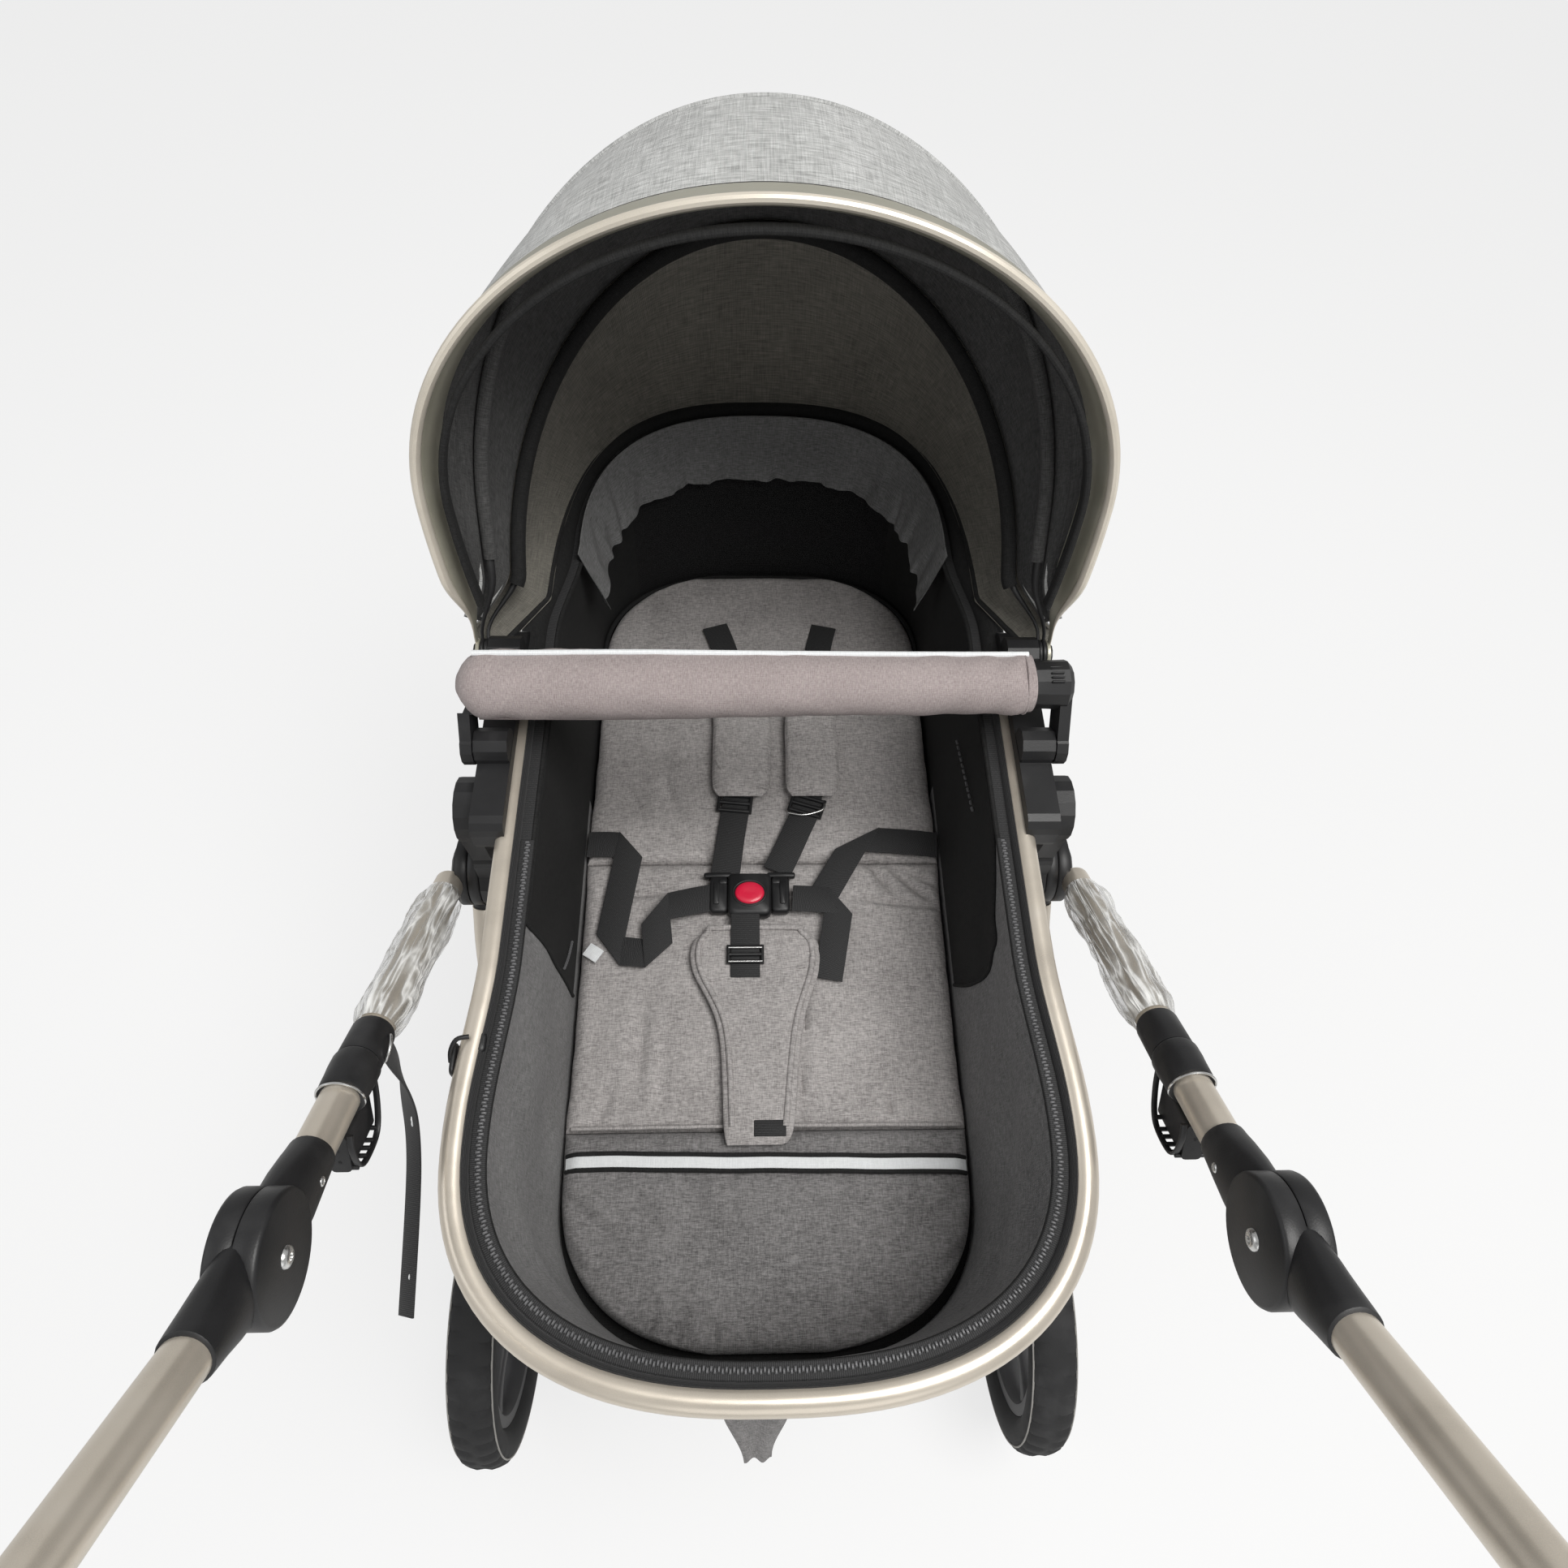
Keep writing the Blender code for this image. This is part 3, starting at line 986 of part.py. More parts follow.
def harness():
    strap_low = BUCKLE_Y + BUCKLE_L / 2 + GAP
    pad("shoulder_pad_left", [(-0.022, 0.103, 0.022), (-0.021, 0.112, 0.027), (-0.021, 0.185, 0.028), (-0.028, 0.235, 0.027),
                              (-0.031, 0.245, 0.020)], 0.012, BACKREST, WEBBING_T + 0.0014)
    pad("shoulder_pad_right", [(0.048, 0.103, 0.020), (0.048, 0.112, 0.025), (0.049, 0.185, 0.025), (0.056, 0.235, 0.025),
                               (0.058, 0.245, 0.020)], 0.012, BACKREST, WEBBING_T + 0.0014)
    ribbon("shoulder_strap_left", [(-0.046, 0.315, 0.0), (-0.036, 0.27, 0.0), (-0.022, 0.18, 0.0), (-0.026, 0.10, 0.001),
                                   (-0.031, 0.06, 0.002), (-0.036, strap_low + 0.005, 0.004)], WEBBING_W, BACKREST)
    ribbon("shoulder_strap_right", [(0.064, 0.315, 0.0), (0.058, 0.27, 0.0), (0.049, 0.18, 0.0), (0.044, 0.10, 0.001),
                                    (0.030, 0.06, 0.002), (0.012, strap_low + 0.007, 0.004)], WEBBING_W, BACKREST)
    pad("crotch_pad", [(-0.010, -0.224, 0.026), (-0.006, -0.214, 0.029), (-0.004, -0.130, 0.036), (-0.008, -0.075, 0.056),
                       (-0.008, -0.055, 0.057), (-0.009, -0.042, 0.046)], 0.008, SEAT)
    strap_top = BUCKLE_Y - BUCKLE_L / 2 - GAP
    ribbon("crotch_strap", [(BUCKLE_X - 0.004, strap_top, 0.0105), (BUCKLE_X - 0.004, -0.050, 0.0105),
                            (BUCKLE_X - 0.004, -0.084, 0.0105)], 0.030, SEAT, 0.0, 3)
    side_left = BUCKLE_X - BUCKLE_W / 2 - GAP
    side_right = BUCKLE_X + BUCKLE_W / 2 + GAP
    ribbon("lap_strap_left", [(-0.163, 0.020, 0.0), (-0.125, 0.012, 0.0), (-0.128, -0.030, 0.001), (-0.138, -0.066, 0.001),
                              (-0.112, -0.083, 0.002), (-0.095, -0.055, 0.004), (-0.084, -0.024, 0.006),
                              (side_left - 0.016, -0.011, 0.006), (side_left - 0.002, -0.010, 0.006)], WEBBING_W * 0.9, SEAT)
    ribbon("lap_strap_right", [(0.163, 0.018, 0.0), (0.118, 0.018, 0.001), (0.096, 0.010, 0.002), (0.078, -0.012, 0.004),
                               (0.054, -0.016, 0.006), (side_right + 0.004, -0.012, 0.006)], WEBBING_W * 0.9, SEAT)
    low = cushion_top(BUCKLE_X, BUCKLE_Y) + GAP
    outline = round_outline((BUCKLE_Y, low + BUCKLE_T / 2), BUCKLE_L / 2, BUCKLE_T / 2, 0.004, 3)
    base = solid("buckle", *plate(outline, BUCKLE_X - BUCKLE_W / 2, BUCKLE_X + BUCKLE_W / 2), BLACK, SEAT)
    press = empty("buckle_button_axis", (BUCKLE_X, BUCKLE_Y, low + BUCKLE_T - TILT_Z), SEAT)

    def oval(grow, z):
        return [(BUCKLE_X + (0.0135 + grow) * u, BUCKLE_Y + (0.011 + grow) * v, z) for u, v in circle(1.0, 24)]
    well = loft([oval(GAP, low + 0.006), oval(GAP, low + BUCKLE_T + 0.01)])
    cut(base, solid("buckle_well_tool", *well, BLACK, SEAT))
    button = [oval(0.0, low + 0.006 + GAP + 0.003), oval(0.0, low + BUCKLE_T + 0.0004), oval(-0.002, low + BUCKLE_T + 0.0018)]
    solid("buckle_button", *loft(button), RED, press)


# Bumper bar
def bumper():
    sides = 14
    rows = []
    for x, grow in ((BUMPER_LEFT, 0.45), (BUMPER_LEFT + 0.004, 0.78), (BUMPER_LEFT + 0.014, 0.97), (-0.15, 1.0), (-0.05, 0.98),
                    (0.05, 1.0), (0.15, 0.97), (BUMPER_RIGHT - 0.004, 0.98), (BUMPER_RIGHT, 0.93)):
        rows.append([(x, BUMPER_Y + BUMPER_R * grow * u, BUMPER_Z + BUMPER_R * 0.92 * grow * v) for u, v in circle(1.0, sides)])
    solid("bumper_bar", *loft(rows), MELANGE, BUMPER, 60.0)
    for word, side in SIDES:
        x_in = HOUSING_OUT_X + GAP
        x_out = x_in + 0.009
        disc = cylinder((side * (x_in + x_out) / 2, BUMPER_PIN_Y, BUMPER_PIN_Z), 0.015, x_out - x_in, 12)
        base = solid(f"bumper_knob_{word}", *disc, BLACK, BUMPER)
        towards = Vector((0.0, BUMPER_Y - BUMPER_PIN_Y, BUMPER_Z - BUMPER_PIN_Z)).normalized()
        square = Vector((0.0, -towards.z, towards.y))
        start = Vector((0.0, BUMPER_PIN_Y, BUMPER_PIN_Z))
        end = Vector((0.0, BUMPER_Y, BUMPER_Z))
        web = [(p.y, p.z) for p in (start - square * 0.013, end - square * 0.012, end + square * 0.012, start + square * 0.013)]
        fuse(base, solid(f"knob_web_tool_{word}", *plate(web, side * x_in, side * x_out), BLACK, BUMPER))
        if side > 0:
            socket = turned([(BUMPER_RIGHT + GAP, 0.0), (BUMPER_RIGHT + GAP, 0.0185), (x_out - 0.004, 0.0195),
                             (x_out, 0.015), (x_out, 0.0)], (0.0, BUMPER_Y, BUMPER_Z), 12)
            fuse(base, solid("knob_socket_tool", *socket, BLACK, BUMPER))
        else:
            room = cylinder((BUMPER_LEFT, BUMPER_Y, BUMPER_Z), BUMPER_R + GAP, 0.06, 14)
            cut(base, solid("knob_room_tool", *room, BLACK, BUMPER))
        stud_bore = cylinder((side * x_in, BUMPER_PIN_Y, BUMPER_PIN_Z), 0.005 + GAP, 0.06, 10)
        cut(base, solid(f"knob_bore_tool_{word}", *stud_bore, BLACK, BUMPER))


# Hood
def eye_x(shape):
    return HOUSING_OUT_X + GAP + shape["layer"] * (HOOP_EYE_T + GAP) + HOOP_EYE_T / 2


def hoop_point(shape, share, grow=0.0):
    """Point on a hoop's arch: share 0 is the left end near the pivot and 1 the right end."""
    side = -1.0 if share < 0.5 else 1.0
    t = 1.0 - abs(2.0 * share - 1.0)
    low_share = 0.36
    if t < low_share:
        reach = HOOP_LEG + (shape["widest"] - HOOP_LEG) * t / low_share
        half = shape["base"] + (shape["half"] - shape["base"]) * math.sin(0.5 * math.pi * reach / shape["widest"])
        half = eye_x(shape) + (half - eye_x(shape)) * ease(reach, HOOP_LEG * 0.8, 0.065)
    else:
        angle = 0.5 * math.pi * (t - low_share) / (1 - low_share)
        half = shape["half"] * math.cos(angle)
        reach = shape["widest"] + (shape["top"] - shape["widest"]) * math.sin(angle)
    return side * (half + grow * math.cos(0.5 * math.pi * t)), reach + grow * math.sin(0.5 * math.pi * t)


def hood_place(x, reach, angle_deg):
    a = math.radians(angle_deg)
    return Vector((x, HOOD_Y + reach * math.cos(a), HOOD_Z + reach * math.sin(a)))


def hoop(name, shape, section, parent, look):
    """Arched hoop that thins towards the eyes on the hood's pivot pin."""
    tilt = math.radians(shape["angle"])
    normal = Vector((0.0, -math.sin(tilt), math.cos(tilt)))
    arch = [hoop_point(shape, i / HOOD_STEPS) for i in range(HOOD_STEPS + 1)]
    flat = [(-eye_x(shape), HOOP_EYE_R * 0.5)] + arch + [(eye_x(shape), HOOP_EYE_R * 0.5)]
    path = [hood_place(x, reach, shape["angle"]) for x, reach in flat]
    thin = HOOP_EYE_T * 0.92 / (2 * max(abs(u) for u, _ in section))
    scales = [thin + (1.0 - thin) * ease(reach, HOOP_LEG, 0.09) for _, reach in flat]
    base = solid(name, *sweep(path, section, normal, scales=scales), look, parent)
    for word, side in SIDES:
        eye = cylinder((side * eye_x(shape), HOOD_Y, HOOD_Z), HOOP_EYE_R, HOOP_EYE_T, 12)
        fuse(base, solid(f"{name}_eye_tool_{word}", *eye, look, parent))
        bore = cylinder((side * HOUSING_OUT_X, HOOD_Y, HOOD_Z), 0.005 + GAP, 0.06, 10)
        cut(base, solid(f"{name}_bore_tool_{word}", *bore, look, parent))
    return base


def canopy_panel(name, low_edge, high_edge, parent, bulge, rows=3, steps=HOOD_STEPS - 2):
    """Fabric panel lofted between two edge curves, thickened inwards, with a soft bulge."""
    def skin(depth):
        grid = []
        for j in range(rows + 1):
            v = j / rows
            line = []
            for i in range(steps + 1):
                a, b = low_edge(i / steps), high_edge(i / steps)
                centre = Vector((0.0, HOOD_Y, RIM_Z))
                middle = a.lerp(b, v)
                out = (middle - centre).normalized()
                line.append(middle + out * (bulge * math.sin(math.pi * v) - depth))
            grid.append(line)
        return grid
    outer, inner = skin(0.0), skin(CANOPY_T)
    verts = [p for grid in (outer, inner) for line in grid for p in line]
    row = steps + 1
    total = row * (rows + 1)
    faces = []
    for j in range(rows):
        for i in range(steps):
            a = j * row + i
            faces.append((a, a + 1, a + row + 1, a + row))
            faces.append((total + a, total + a + row, total + a + row + 1, total + a + 1))
    for i in range(steps):
        for a, b in ((i, i + 1), (rows * row + i + 1, rows * row + i)):
            faces.append((b, a, total + a, total + b))
    for j in range(rows):
        for a, b in (((j + 1) * row, j * row), (j * row + steps, (j + 1) * row + steps)):
            faces.append((b, a, total + a, total + b))
    return solid(name, verts, faces, MELANGE, parent, 60.0)


def hood():
    in_face, out_face, lip = STRIP_T / 2, -STRIP_T / 2, 0.0025
    band = [(in_face, -STRIP_W / 2), (in_face - 0.004, STRIP_W / 2), (out_face + lip, STRIP_W / 2), (out_face + lip, 0.0),
            (out_face, -0.003), (out_face, -STRIP_W / 2 + 0.004), (out_face + lip, -STRIP_W / 2)]
    hoop("hood_front_hoop", FRONT_HOOP, band, HOOD_FRONT, CHAMPAGNE)
    hoop("hood_middle_hoop", MIDDLE_HOOP, circle(HOOP_R, 6), HOOD_MIDDLE, BLACK)
    hoop("hood_rear_hoop", REAR_HOOP, circle(HOOP_R, 6), HOOD_REAR, BLACK)
    cover = HOOP_R + CANOPY_T + 0.002

    def edge(shape, shift, cover=cover):
        """Fabric line over a hoop, turned a little about the pivot by the shift in metres."""
        def line(share):
            share = (1.0 + share * (HOOD_STEPS - 2)) / HOOD_STEPS
            x, reach = hoop_point(shape, share, cover)
            return hood_place(x, reach, shape["angle"] + math.degrees(shift / max(reach, 0.06)))
        return line

    def head_line(share):
        """Fabric line just above the head end of the rim."""
        angle = math.pi * (1 - share)
        c, s = math.cos(angle), math.sin(angle)
        power = 2.0 / RIM_POWER
        x = math.copysign(abs(c) ** power, c) * (RIM_HALF_HEAD + 0.004)
        y = RIM_HEAD_END - RIM_HEAD_ROUND + abs(s) ** power * (RIM_HEAD_ROUND + 0.004) - 0.065 * (1 - s) ** 2
        return Vector((x, y, RIM_Z + RIM_TUBE_R + GAP + 0.001))
    seam = GAP * 1.5
    canopy_panel("canopy_front", edge(MIDDLE_HOOP, seam), edge(FRONT_HOOP, -STRIP_W / 2 - 0.001, STRIP_T / 2), HOOD_FRONT, 0.002)
    canopy_panel("canopy_middle", edge(REAR_HOOP, seam), edge(MIDDLE_HOOP, -seam), HOOD_MIDDLE, 0.010)
    canopy_panel("canopy_rear", head_line, edge(REAR_HOOP, -seam), HOOD_REAR, 0.012)


# Assembly
front_leg_frame()
basket()
rear_leg_frame()
brake_pedal()
handlebar()
handle_grip()
wrist_strap()
for word, side in SIDES:
    hub_plate(word, side)
    rear_wheel(word, side)
    front_wheel(word, side)
    push_tube(word, side)
    film_wrap(word, side)
    fold_slider(word, side)
    angle_button(word, side)
    seat_adapter(word, side)
    seat_housing(word, side)
seat_rim()
tub()
zip_tape()
zip_pull()
cushions()
harness()
bumper()
hood()
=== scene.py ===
"""Dressed look of the convertible pram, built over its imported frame.

Lengths are in metres.  Shapes are written in the pram's own coordinates, counted along Y
from the chassis hub, and are moved into the frame's coordinates when a piece is made.
"""

from math import atan2, copysign, cos, degrees, dist, exp, hypot, pi, radians, sin, sqrt

import bmesh
import bpy
import numpy as np
from mathutils import Matrix, Vector, noise


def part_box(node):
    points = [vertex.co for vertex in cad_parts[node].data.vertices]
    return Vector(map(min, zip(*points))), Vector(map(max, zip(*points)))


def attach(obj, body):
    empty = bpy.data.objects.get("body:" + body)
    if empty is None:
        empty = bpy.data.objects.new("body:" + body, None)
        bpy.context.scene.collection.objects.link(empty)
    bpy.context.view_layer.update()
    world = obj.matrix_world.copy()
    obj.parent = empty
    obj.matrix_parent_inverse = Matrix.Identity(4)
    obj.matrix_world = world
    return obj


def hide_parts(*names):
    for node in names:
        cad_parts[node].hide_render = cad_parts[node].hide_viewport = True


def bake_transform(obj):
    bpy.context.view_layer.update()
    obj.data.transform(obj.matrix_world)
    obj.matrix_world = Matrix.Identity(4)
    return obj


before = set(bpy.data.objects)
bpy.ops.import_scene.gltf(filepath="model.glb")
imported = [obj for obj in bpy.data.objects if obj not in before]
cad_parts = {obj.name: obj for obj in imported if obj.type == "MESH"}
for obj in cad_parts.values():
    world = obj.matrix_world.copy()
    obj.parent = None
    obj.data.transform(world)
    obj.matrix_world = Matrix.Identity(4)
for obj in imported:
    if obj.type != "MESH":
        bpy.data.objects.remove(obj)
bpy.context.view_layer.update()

# Places shared with the frame
SIDES = (("left", -1.0), ("right", 1.0))
HUB_Z = 0.555
HANDLE_RISE = radians(34.4)
HANDLE_X = 0.27
PUSH_TUBE_R = 0.0125
DISC_REACH, DISC_R = 0.415, 0.035
FILM_START, FILM_END = 0.048, 0.226
SLIDER_START = 0.262
ARM_RISE = radians(47.8)
ARM_LENGTH = 0.284
ARM_BEND_R = 0.06
REAR_AXLE_BACK, REAR_WHEEL_R, REAR_TRACK_HALF, REAR_TYRE_W = 0.3125, 0.145, 0.275, 0.046
FRONT_WHEEL_R, FRONT_TYRE_W, FRONT_TRACK_HALF = 0.1, 0.036, 0.2
CASTOR_FORWARD, CASTOR_TRAIL = 0.38, 0.035
LEG_R, FRONT_TUBE_X, REAR_TUBE_X, CROSSBAR_HALF = 0.011, 0.2355, 0.2489, 0.214
RIM_Z, RIM_TUBE_R = 0.675, 0.009
RIM_HALF_SIDE, RIM_HALF_FOOT, RIM_HALF_HEAD = 0.199, 0.2075, 0.184
RIM_FOOT_END, RIM_HEAD_END = -0.411, 0.453
RIM_FOOT_ROUND, RIM_HEAD_ROUND = 0.161, 0.191
RIM_POWER = 2.5
TUB_WALL, TUB_FLOOR_Z, TUB_TOP_Z, TUB_TOP_INSET = 0.005, 0.462, 0.673, 0.0096
FLOOR_ROOM, CORNER_ROOM, HEAD_CORNER, FOOT_CORNER = 0.002, 0.008, 0.12, 0.13
FOLD_LINE_Y, BACK_END_Y, SEAT_END_Y, FOOT_END_Y = 0.037, 0.405, -0.212, -0.385
CUSHION_TOP, CUSHION_HALF, CUSHION_CROWN = 0.5, 0.168, 0.004
HOOD_Y, HOOD_Z, HOOP_LEG = 0.125, 0.7, 0.018
EYE_OUT_X, EYE_T, EYE_STEP = 0.2264, 0.003, 0.0034
FRONT_HOOP = dict(layer=2, angle=78.0, base=0.2235, half=0.2385, widest=0.15, top=0.3465)
MIDDLE_HOOP = dict(layer=1, angle=60.0, base=0.216, half=0.218, widest=0.12, top=0.38)
REAR_HOOP = dict(layer=0, angle=38.0, base=0.206, half=0.203, widest=0.08, top=0.335)
BUMPER_Y, BUMPER_Z, BUMPER_R, BUMPER_SQUASH = 0.066, 0.737, 0.0235, 0.94
BUMPER_LEFT, BUMPER_RIGHT = -0.236, 0.205
BASKET_TOP_Z, BASKET_FLOOR_Z = 0.3, 0.15
BASKET_HALF, BASKET_BACK, BASKET_CORNER, BASKET_CLOTH = 0.16, -0.195, 0.034, 0.0035
BUCKLE_X, BUCKLE_Y, BUCKLE_L, BUCKLE_T = -0.0135, -0.006, 0.042, 0.014
CLOTH_GAP = 0.0006
tyre_low, tyre_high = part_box("rear_tyre_left")
SHIFT = (tyre_low.y + tyre_high.y) / 2 + REAR_AXLE_BACK


# Material helpers
def look_of(name, colour, roughness, metallic=0.0, **sockets):
    look = bpy.data.materials.new(name)
    look.use_nodes = True
    shader = look.node_tree.nodes["Principled BSDF"]
    shader.inputs["Base Color"].default_value = (*colour, 1.0)
    shader.inputs["Roughness"].default_value = roughness
    shader.inputs["Metallic"].default_value = metallic
    for socket, value in sockets.items():
        shader.inputs[socket.replace("_", " ")].default_value = value
    return look


def add(look, kind, props=None, **sockets):
    """New shader node; a socket's value is a number, a colour or another node's output."""
    made = look.node_tree.nodes.new("ShaderNode" + kind)
    for key, value in (props or {}).items():
        setattr(made, key, value)
    for key, value in sockets.items():
        socket = made.inputs[int(key[1:])] if key[1:].isdigit() else made.inputs[key.replace("_", " ")]
        if isinstance(value, bpy.types.NodeSocket):
            look.node_tree.links.new(value, socket)
        else:
            socket.default_value = value
    return made


def calc(look, operation, a, b=0.0, c=0.0):
    return add(look, "Math", {"operation": operation}, i0=a, i1=b, i2=c).outputs[0]


def scaled(look, space, scale, turn=0.0):
    coords = add(look, "TexCoord").outputs[space]
    return add(look, "Mapping", Vector=coords, Scale=scale, Rotation=(0.0, 0.0, turn)).outputs[0]


def grain(look, space, scale, detail=2.0, rough=0.5):
    return add(look, "TexNoise", Vector=scaled(look, space, scale), Scale=1.0, Detail=detail,
               Roughness=rough).outputs[0]


def ramp(look, factor, stops):
    made = add(look, "ValToRGB", i0=factor)
    elements = made.color_ramp.elements
    while len(elements) < len(stops):
        elements.new(0.5)
    for element, (place, colour) in zip(elements, stops):
        element.position = place
        element.color = (*colour, 1.0)
    return made.outputs[0]


def feed(look, socket, output):
    look.node_tree.links.new(output, look.node_tree.nodes["Principled BSDF"].inputs[socket])


def relief(look, height, distance, strength=1.0):
    feed(look, "Normal", add(look, "Bump", Strength=strength, Distance=distance, Height=height).outputs[0])


def spread(look, factor, low, high):
    return add(look, "MapRange", Value=factor, To_Min=low, To_Max=high).outputs[0]


def mixed(a, b, share):
    return tuple(x + (y - x) * share for x, y in zip(a, b))


def fabric(name, dark, light, space="UV", thread=950.0, length=120.0, weave=0.0011, depth=0.0003,
           sheen=0.12, blotch=0.16):
    """Woven melange: pale and dark threads both ways, a fine weave and slow changes of tone."""
    flat = 1.0 if space == "UV" else 0.05
    look = look_of(name, mixed(dark, light, 0.5), 0.9, Sheen_Weight=sheen, Sheen_Roughness=0.55)
    across = grain(look, space, (length, thread, thread * flat), 3.0, 0.6)
    along = grain(look, space, (thread, length, thread * flat), 3.0, 0.6)
    threads = calc(look, "MULTIPLY_ADD", across, 0.6, calc(look, "MULTIPLY", along, 0.4))
    slow = grain(look, space, (16.0, 16.0, 16.0), 3.0)
    tone = calc(look, "ADD", threads, calc(look, "MULTIPLY_ADD", slow, blotch, -0.5 * blotch))
    feed(look, "Base Color",
         ramp(look, tone, [(0.36, dark), (0.5, mixed(dark, light, 0.46)), (0.66, light)]))
    feed(look, "Roughness", spread(look, slow, 0.82, 0.96))
    period = 0.314 / weave
    bands = [add(look, "TexWave", {"bands_direction": way}, Vector=scaled(look, space, (1.0, 1.0, 1.0)),
                 Scale=period, Distortion=0.6, Detail=1.0).outputs[1] for way in ("X", "Y")]
    weft = calc(look, "MULTIPLY", bands[0], bands[1])
    relief(look, calc(look, "ADD", weft, threads), depth, 0.8)
    return look


def moulded(name, colour, roughness, grain_scale=900.0, depth=0.00008, **sockets):
    """Moulded plastic or rubber: fine grain, handling smudges and slightly paler worn spots."""
    look = look_of(name, colour, roughness, **sockets)
    fine = grain(look, "Object", (grain_scale,) * 3, 2.0)
    slow = grain(look, "Object", (22.0, 22.0, 22.0), 4.0)
    worn = mixed(colour, (0.5, 0.5, 0.5), 0.05)
    feed(look, "Base Color",
         ramp(look, slow, [(0.3, mixed(colour, (0, 0, 0), 0.25)), (0.55, colour), (0.8, worn)]))
    feed(look, "Roughness", spread(look, slow, roughness - 0.1, roughness + 0.14))
    relief(look, fine, depth, 0.9)
    return look


def painted(name, colour, roughness, metallic, **sockets):
    """Anodised tube: fine metal flake, long faint drawing lines and slow changes of tone."""
    look = look_of(name, colour, roughness, metallic, **sockets)
    flake = grain(look, "Object", (2600.0, 2600.0, 2600.0), 1.0)
    slow = grain(look, "Object", (12.0, 30.0, 30.0), 3.0)
    tone = calc(look, "MULTIPLY_ADD", flake, 0.35, calc(look, "MULTIPLY", slow, 0.65))
    feed(look, "Base Color", ramp(look, tone, [(0.3, mixed(colour, (0, 0, 0), 0.14)), (0.5, colour),
                                               (0.75, mixed(colour, (1, 1, 1), 0.12))]))
    feed(look, "Roughness", spread(look, slow, roughness - 0.07, roughness + 0.09))
    relief(look, flake, 0.00003, 0.5)
    return look


def webbing(name, colour, pitch=0.0013):
    """Ribbed polyester webbing: ribs across and fine twill between them; its colour follows the ribs'
    relief, with painted shade in the grooves and a faint painted highlight on the high spots.
    """
    look = look_of(name, colour, 0.75, Sheen_Weight=0.1)
    ribs = add(look, "TexWave", {"bands_direction": "Y"}, Vector=scaled(look, "UV", (1.0, 1.0, 1.0)),
               Scale=0.314 / pitch, Distortion=0.4, Detail=1.0).outputs[1]
    twill = grain(look, "UV", (1500.0, 700.0, 1.0), 2.0)
    tone = calc(look, "MULTIPLY_ADD", ribs, 0.4, calc(look, "MULTIPLY", twill, 0.6))
    # Painted shade and highlight: tone partly follows the rib relief, so it darkens the grooves and lightens
    # the high spots.
    feed(look, "Base Color",
         ramp(look, tone,
              [(0.3, mixed(colour, (0, 0, 0), 0.4)), (0.55, colour),
               (0.8, mixed(colour, (1, 1, 1), 0.05))]))
    feed(look, "Roughness", spread(look, twill, 0.6, 0.9))
    relief(look, tone, 0.00018, 0.8)
    return look


def clear_film(name):
    """Crinkled clear wrap: nearly invisible between its creased ridges, where a painted highlight makes it
    whitish and less clear.
    """
    look = look_of(name, (0.86, 0.85, 0.82), 0.12, IOR=1.45)
    glint_streaks = 0.0
    for scale, turn, sharpness in (((75.0, 6.0, 1.0), 0.42, 12.0), ((110.0, 9.0, 1.0), -0.35, 13.0),
                                   ((45.0, 9.0, 1.0), 0.9, 18.0)):
        warp = add(look, "TexNoise", Vector=scaled(look, "UV", scale, turn), Scale=1.0, Detail=1.5,
                   Distortion=0.3).outputs[0]
        ridge = calc(look, "ABSOLUTE", calc(look, "SUBTRACT", warp, 0.5))
        crease = calc(look, "MAXIMUM",
                      calc(look, "SUBTRACT", 1.0, calc(look, "MULTIPLY", ridge, sharpness)), 0.0)
        glint_streaks = calc(look, "ADD", glint_streaks, calc(look, "POWER", crease, 2.2))
    fine = grain(look, "UV", (40.0, 30.0, 1.0), 3.0, 0.6)
    painted_crease_glint = calc(look, "MULTIPLY", glint_streaks, spread(look, fine, 0.0, 1.3))
    # Painted highlight along the creases: more opacity there, and near-white colour below.
    feed(look, "Alpha",
         calc(look, "MINIMUM", calc(look, "ADD", painted_crease_glint, spread(look, fine, 0.02, 0.42)), 0.9))
    feed(look, "Base Color",
         ramp(look, painted_crease_glint,
              [(0.0, (0.42, 0.42, 0.41)), (0.25, (0.62, 0.62, 0.6)), (0.7, (0.96, 0.96, 0.94))]))
    relief(look, painted_crease_glint, 0.0012, 0.9)
    return look


MELANGE = fabric("melange_light", (0.245, 0.229, 0.224), (0.62, 0.588, 0.577), "Object", 1150.0, 190.0)
MELANGE_UV = fabric("melange_light_uv", (0.245, 0.229, 0.224), (0.62, 0.588, 0.577), "UV", 1150.0, 190.0)
FOOT_CLOTH = fabric("melange_dark", (0.1, 0.096, 0.096), (0.335, 0.324, 0.322), "Object", 1150.0, 190.0)
FOOT_CLOTH_UV = fabric("melange_dark_uv", (0.1, 0.096, 0.096), (0.335, 0.324, 0.322), "UV", 1150.0, 190.0)
SIDE_CLOTH = fabric("melange_wall", (0.09, 0.088, 0.089), (0.29, 0.285, 0.285))
CANOPY_CLOTH = fabric("melange_canopy", (0.275, 0.278, 0.272), (0.64, 0.645, 0.635), length=70.0)
BUMPER_CLOTH = fabric("melange_bumper", (0.285, 0.238, 0.232), (0.5, 0.432, 0.425), "UV", 1400.0, 260.0)
LINING = fabric("hood_lining", (0.105, 0.099, 0.084), (0.262, 0.248, 0.213), length=60.0, sheen=0.04)
SIDE_LINING = fabric("hood_side_lining", (0.03, 0.03, 0.03), (0.095, 0.094, 0.093), sheen=0.04)
RUFFLE = fabric("head_lining", (0.11, 0.11, 0.11), (0.3, 0.3, 0.3), sheen=0.04)
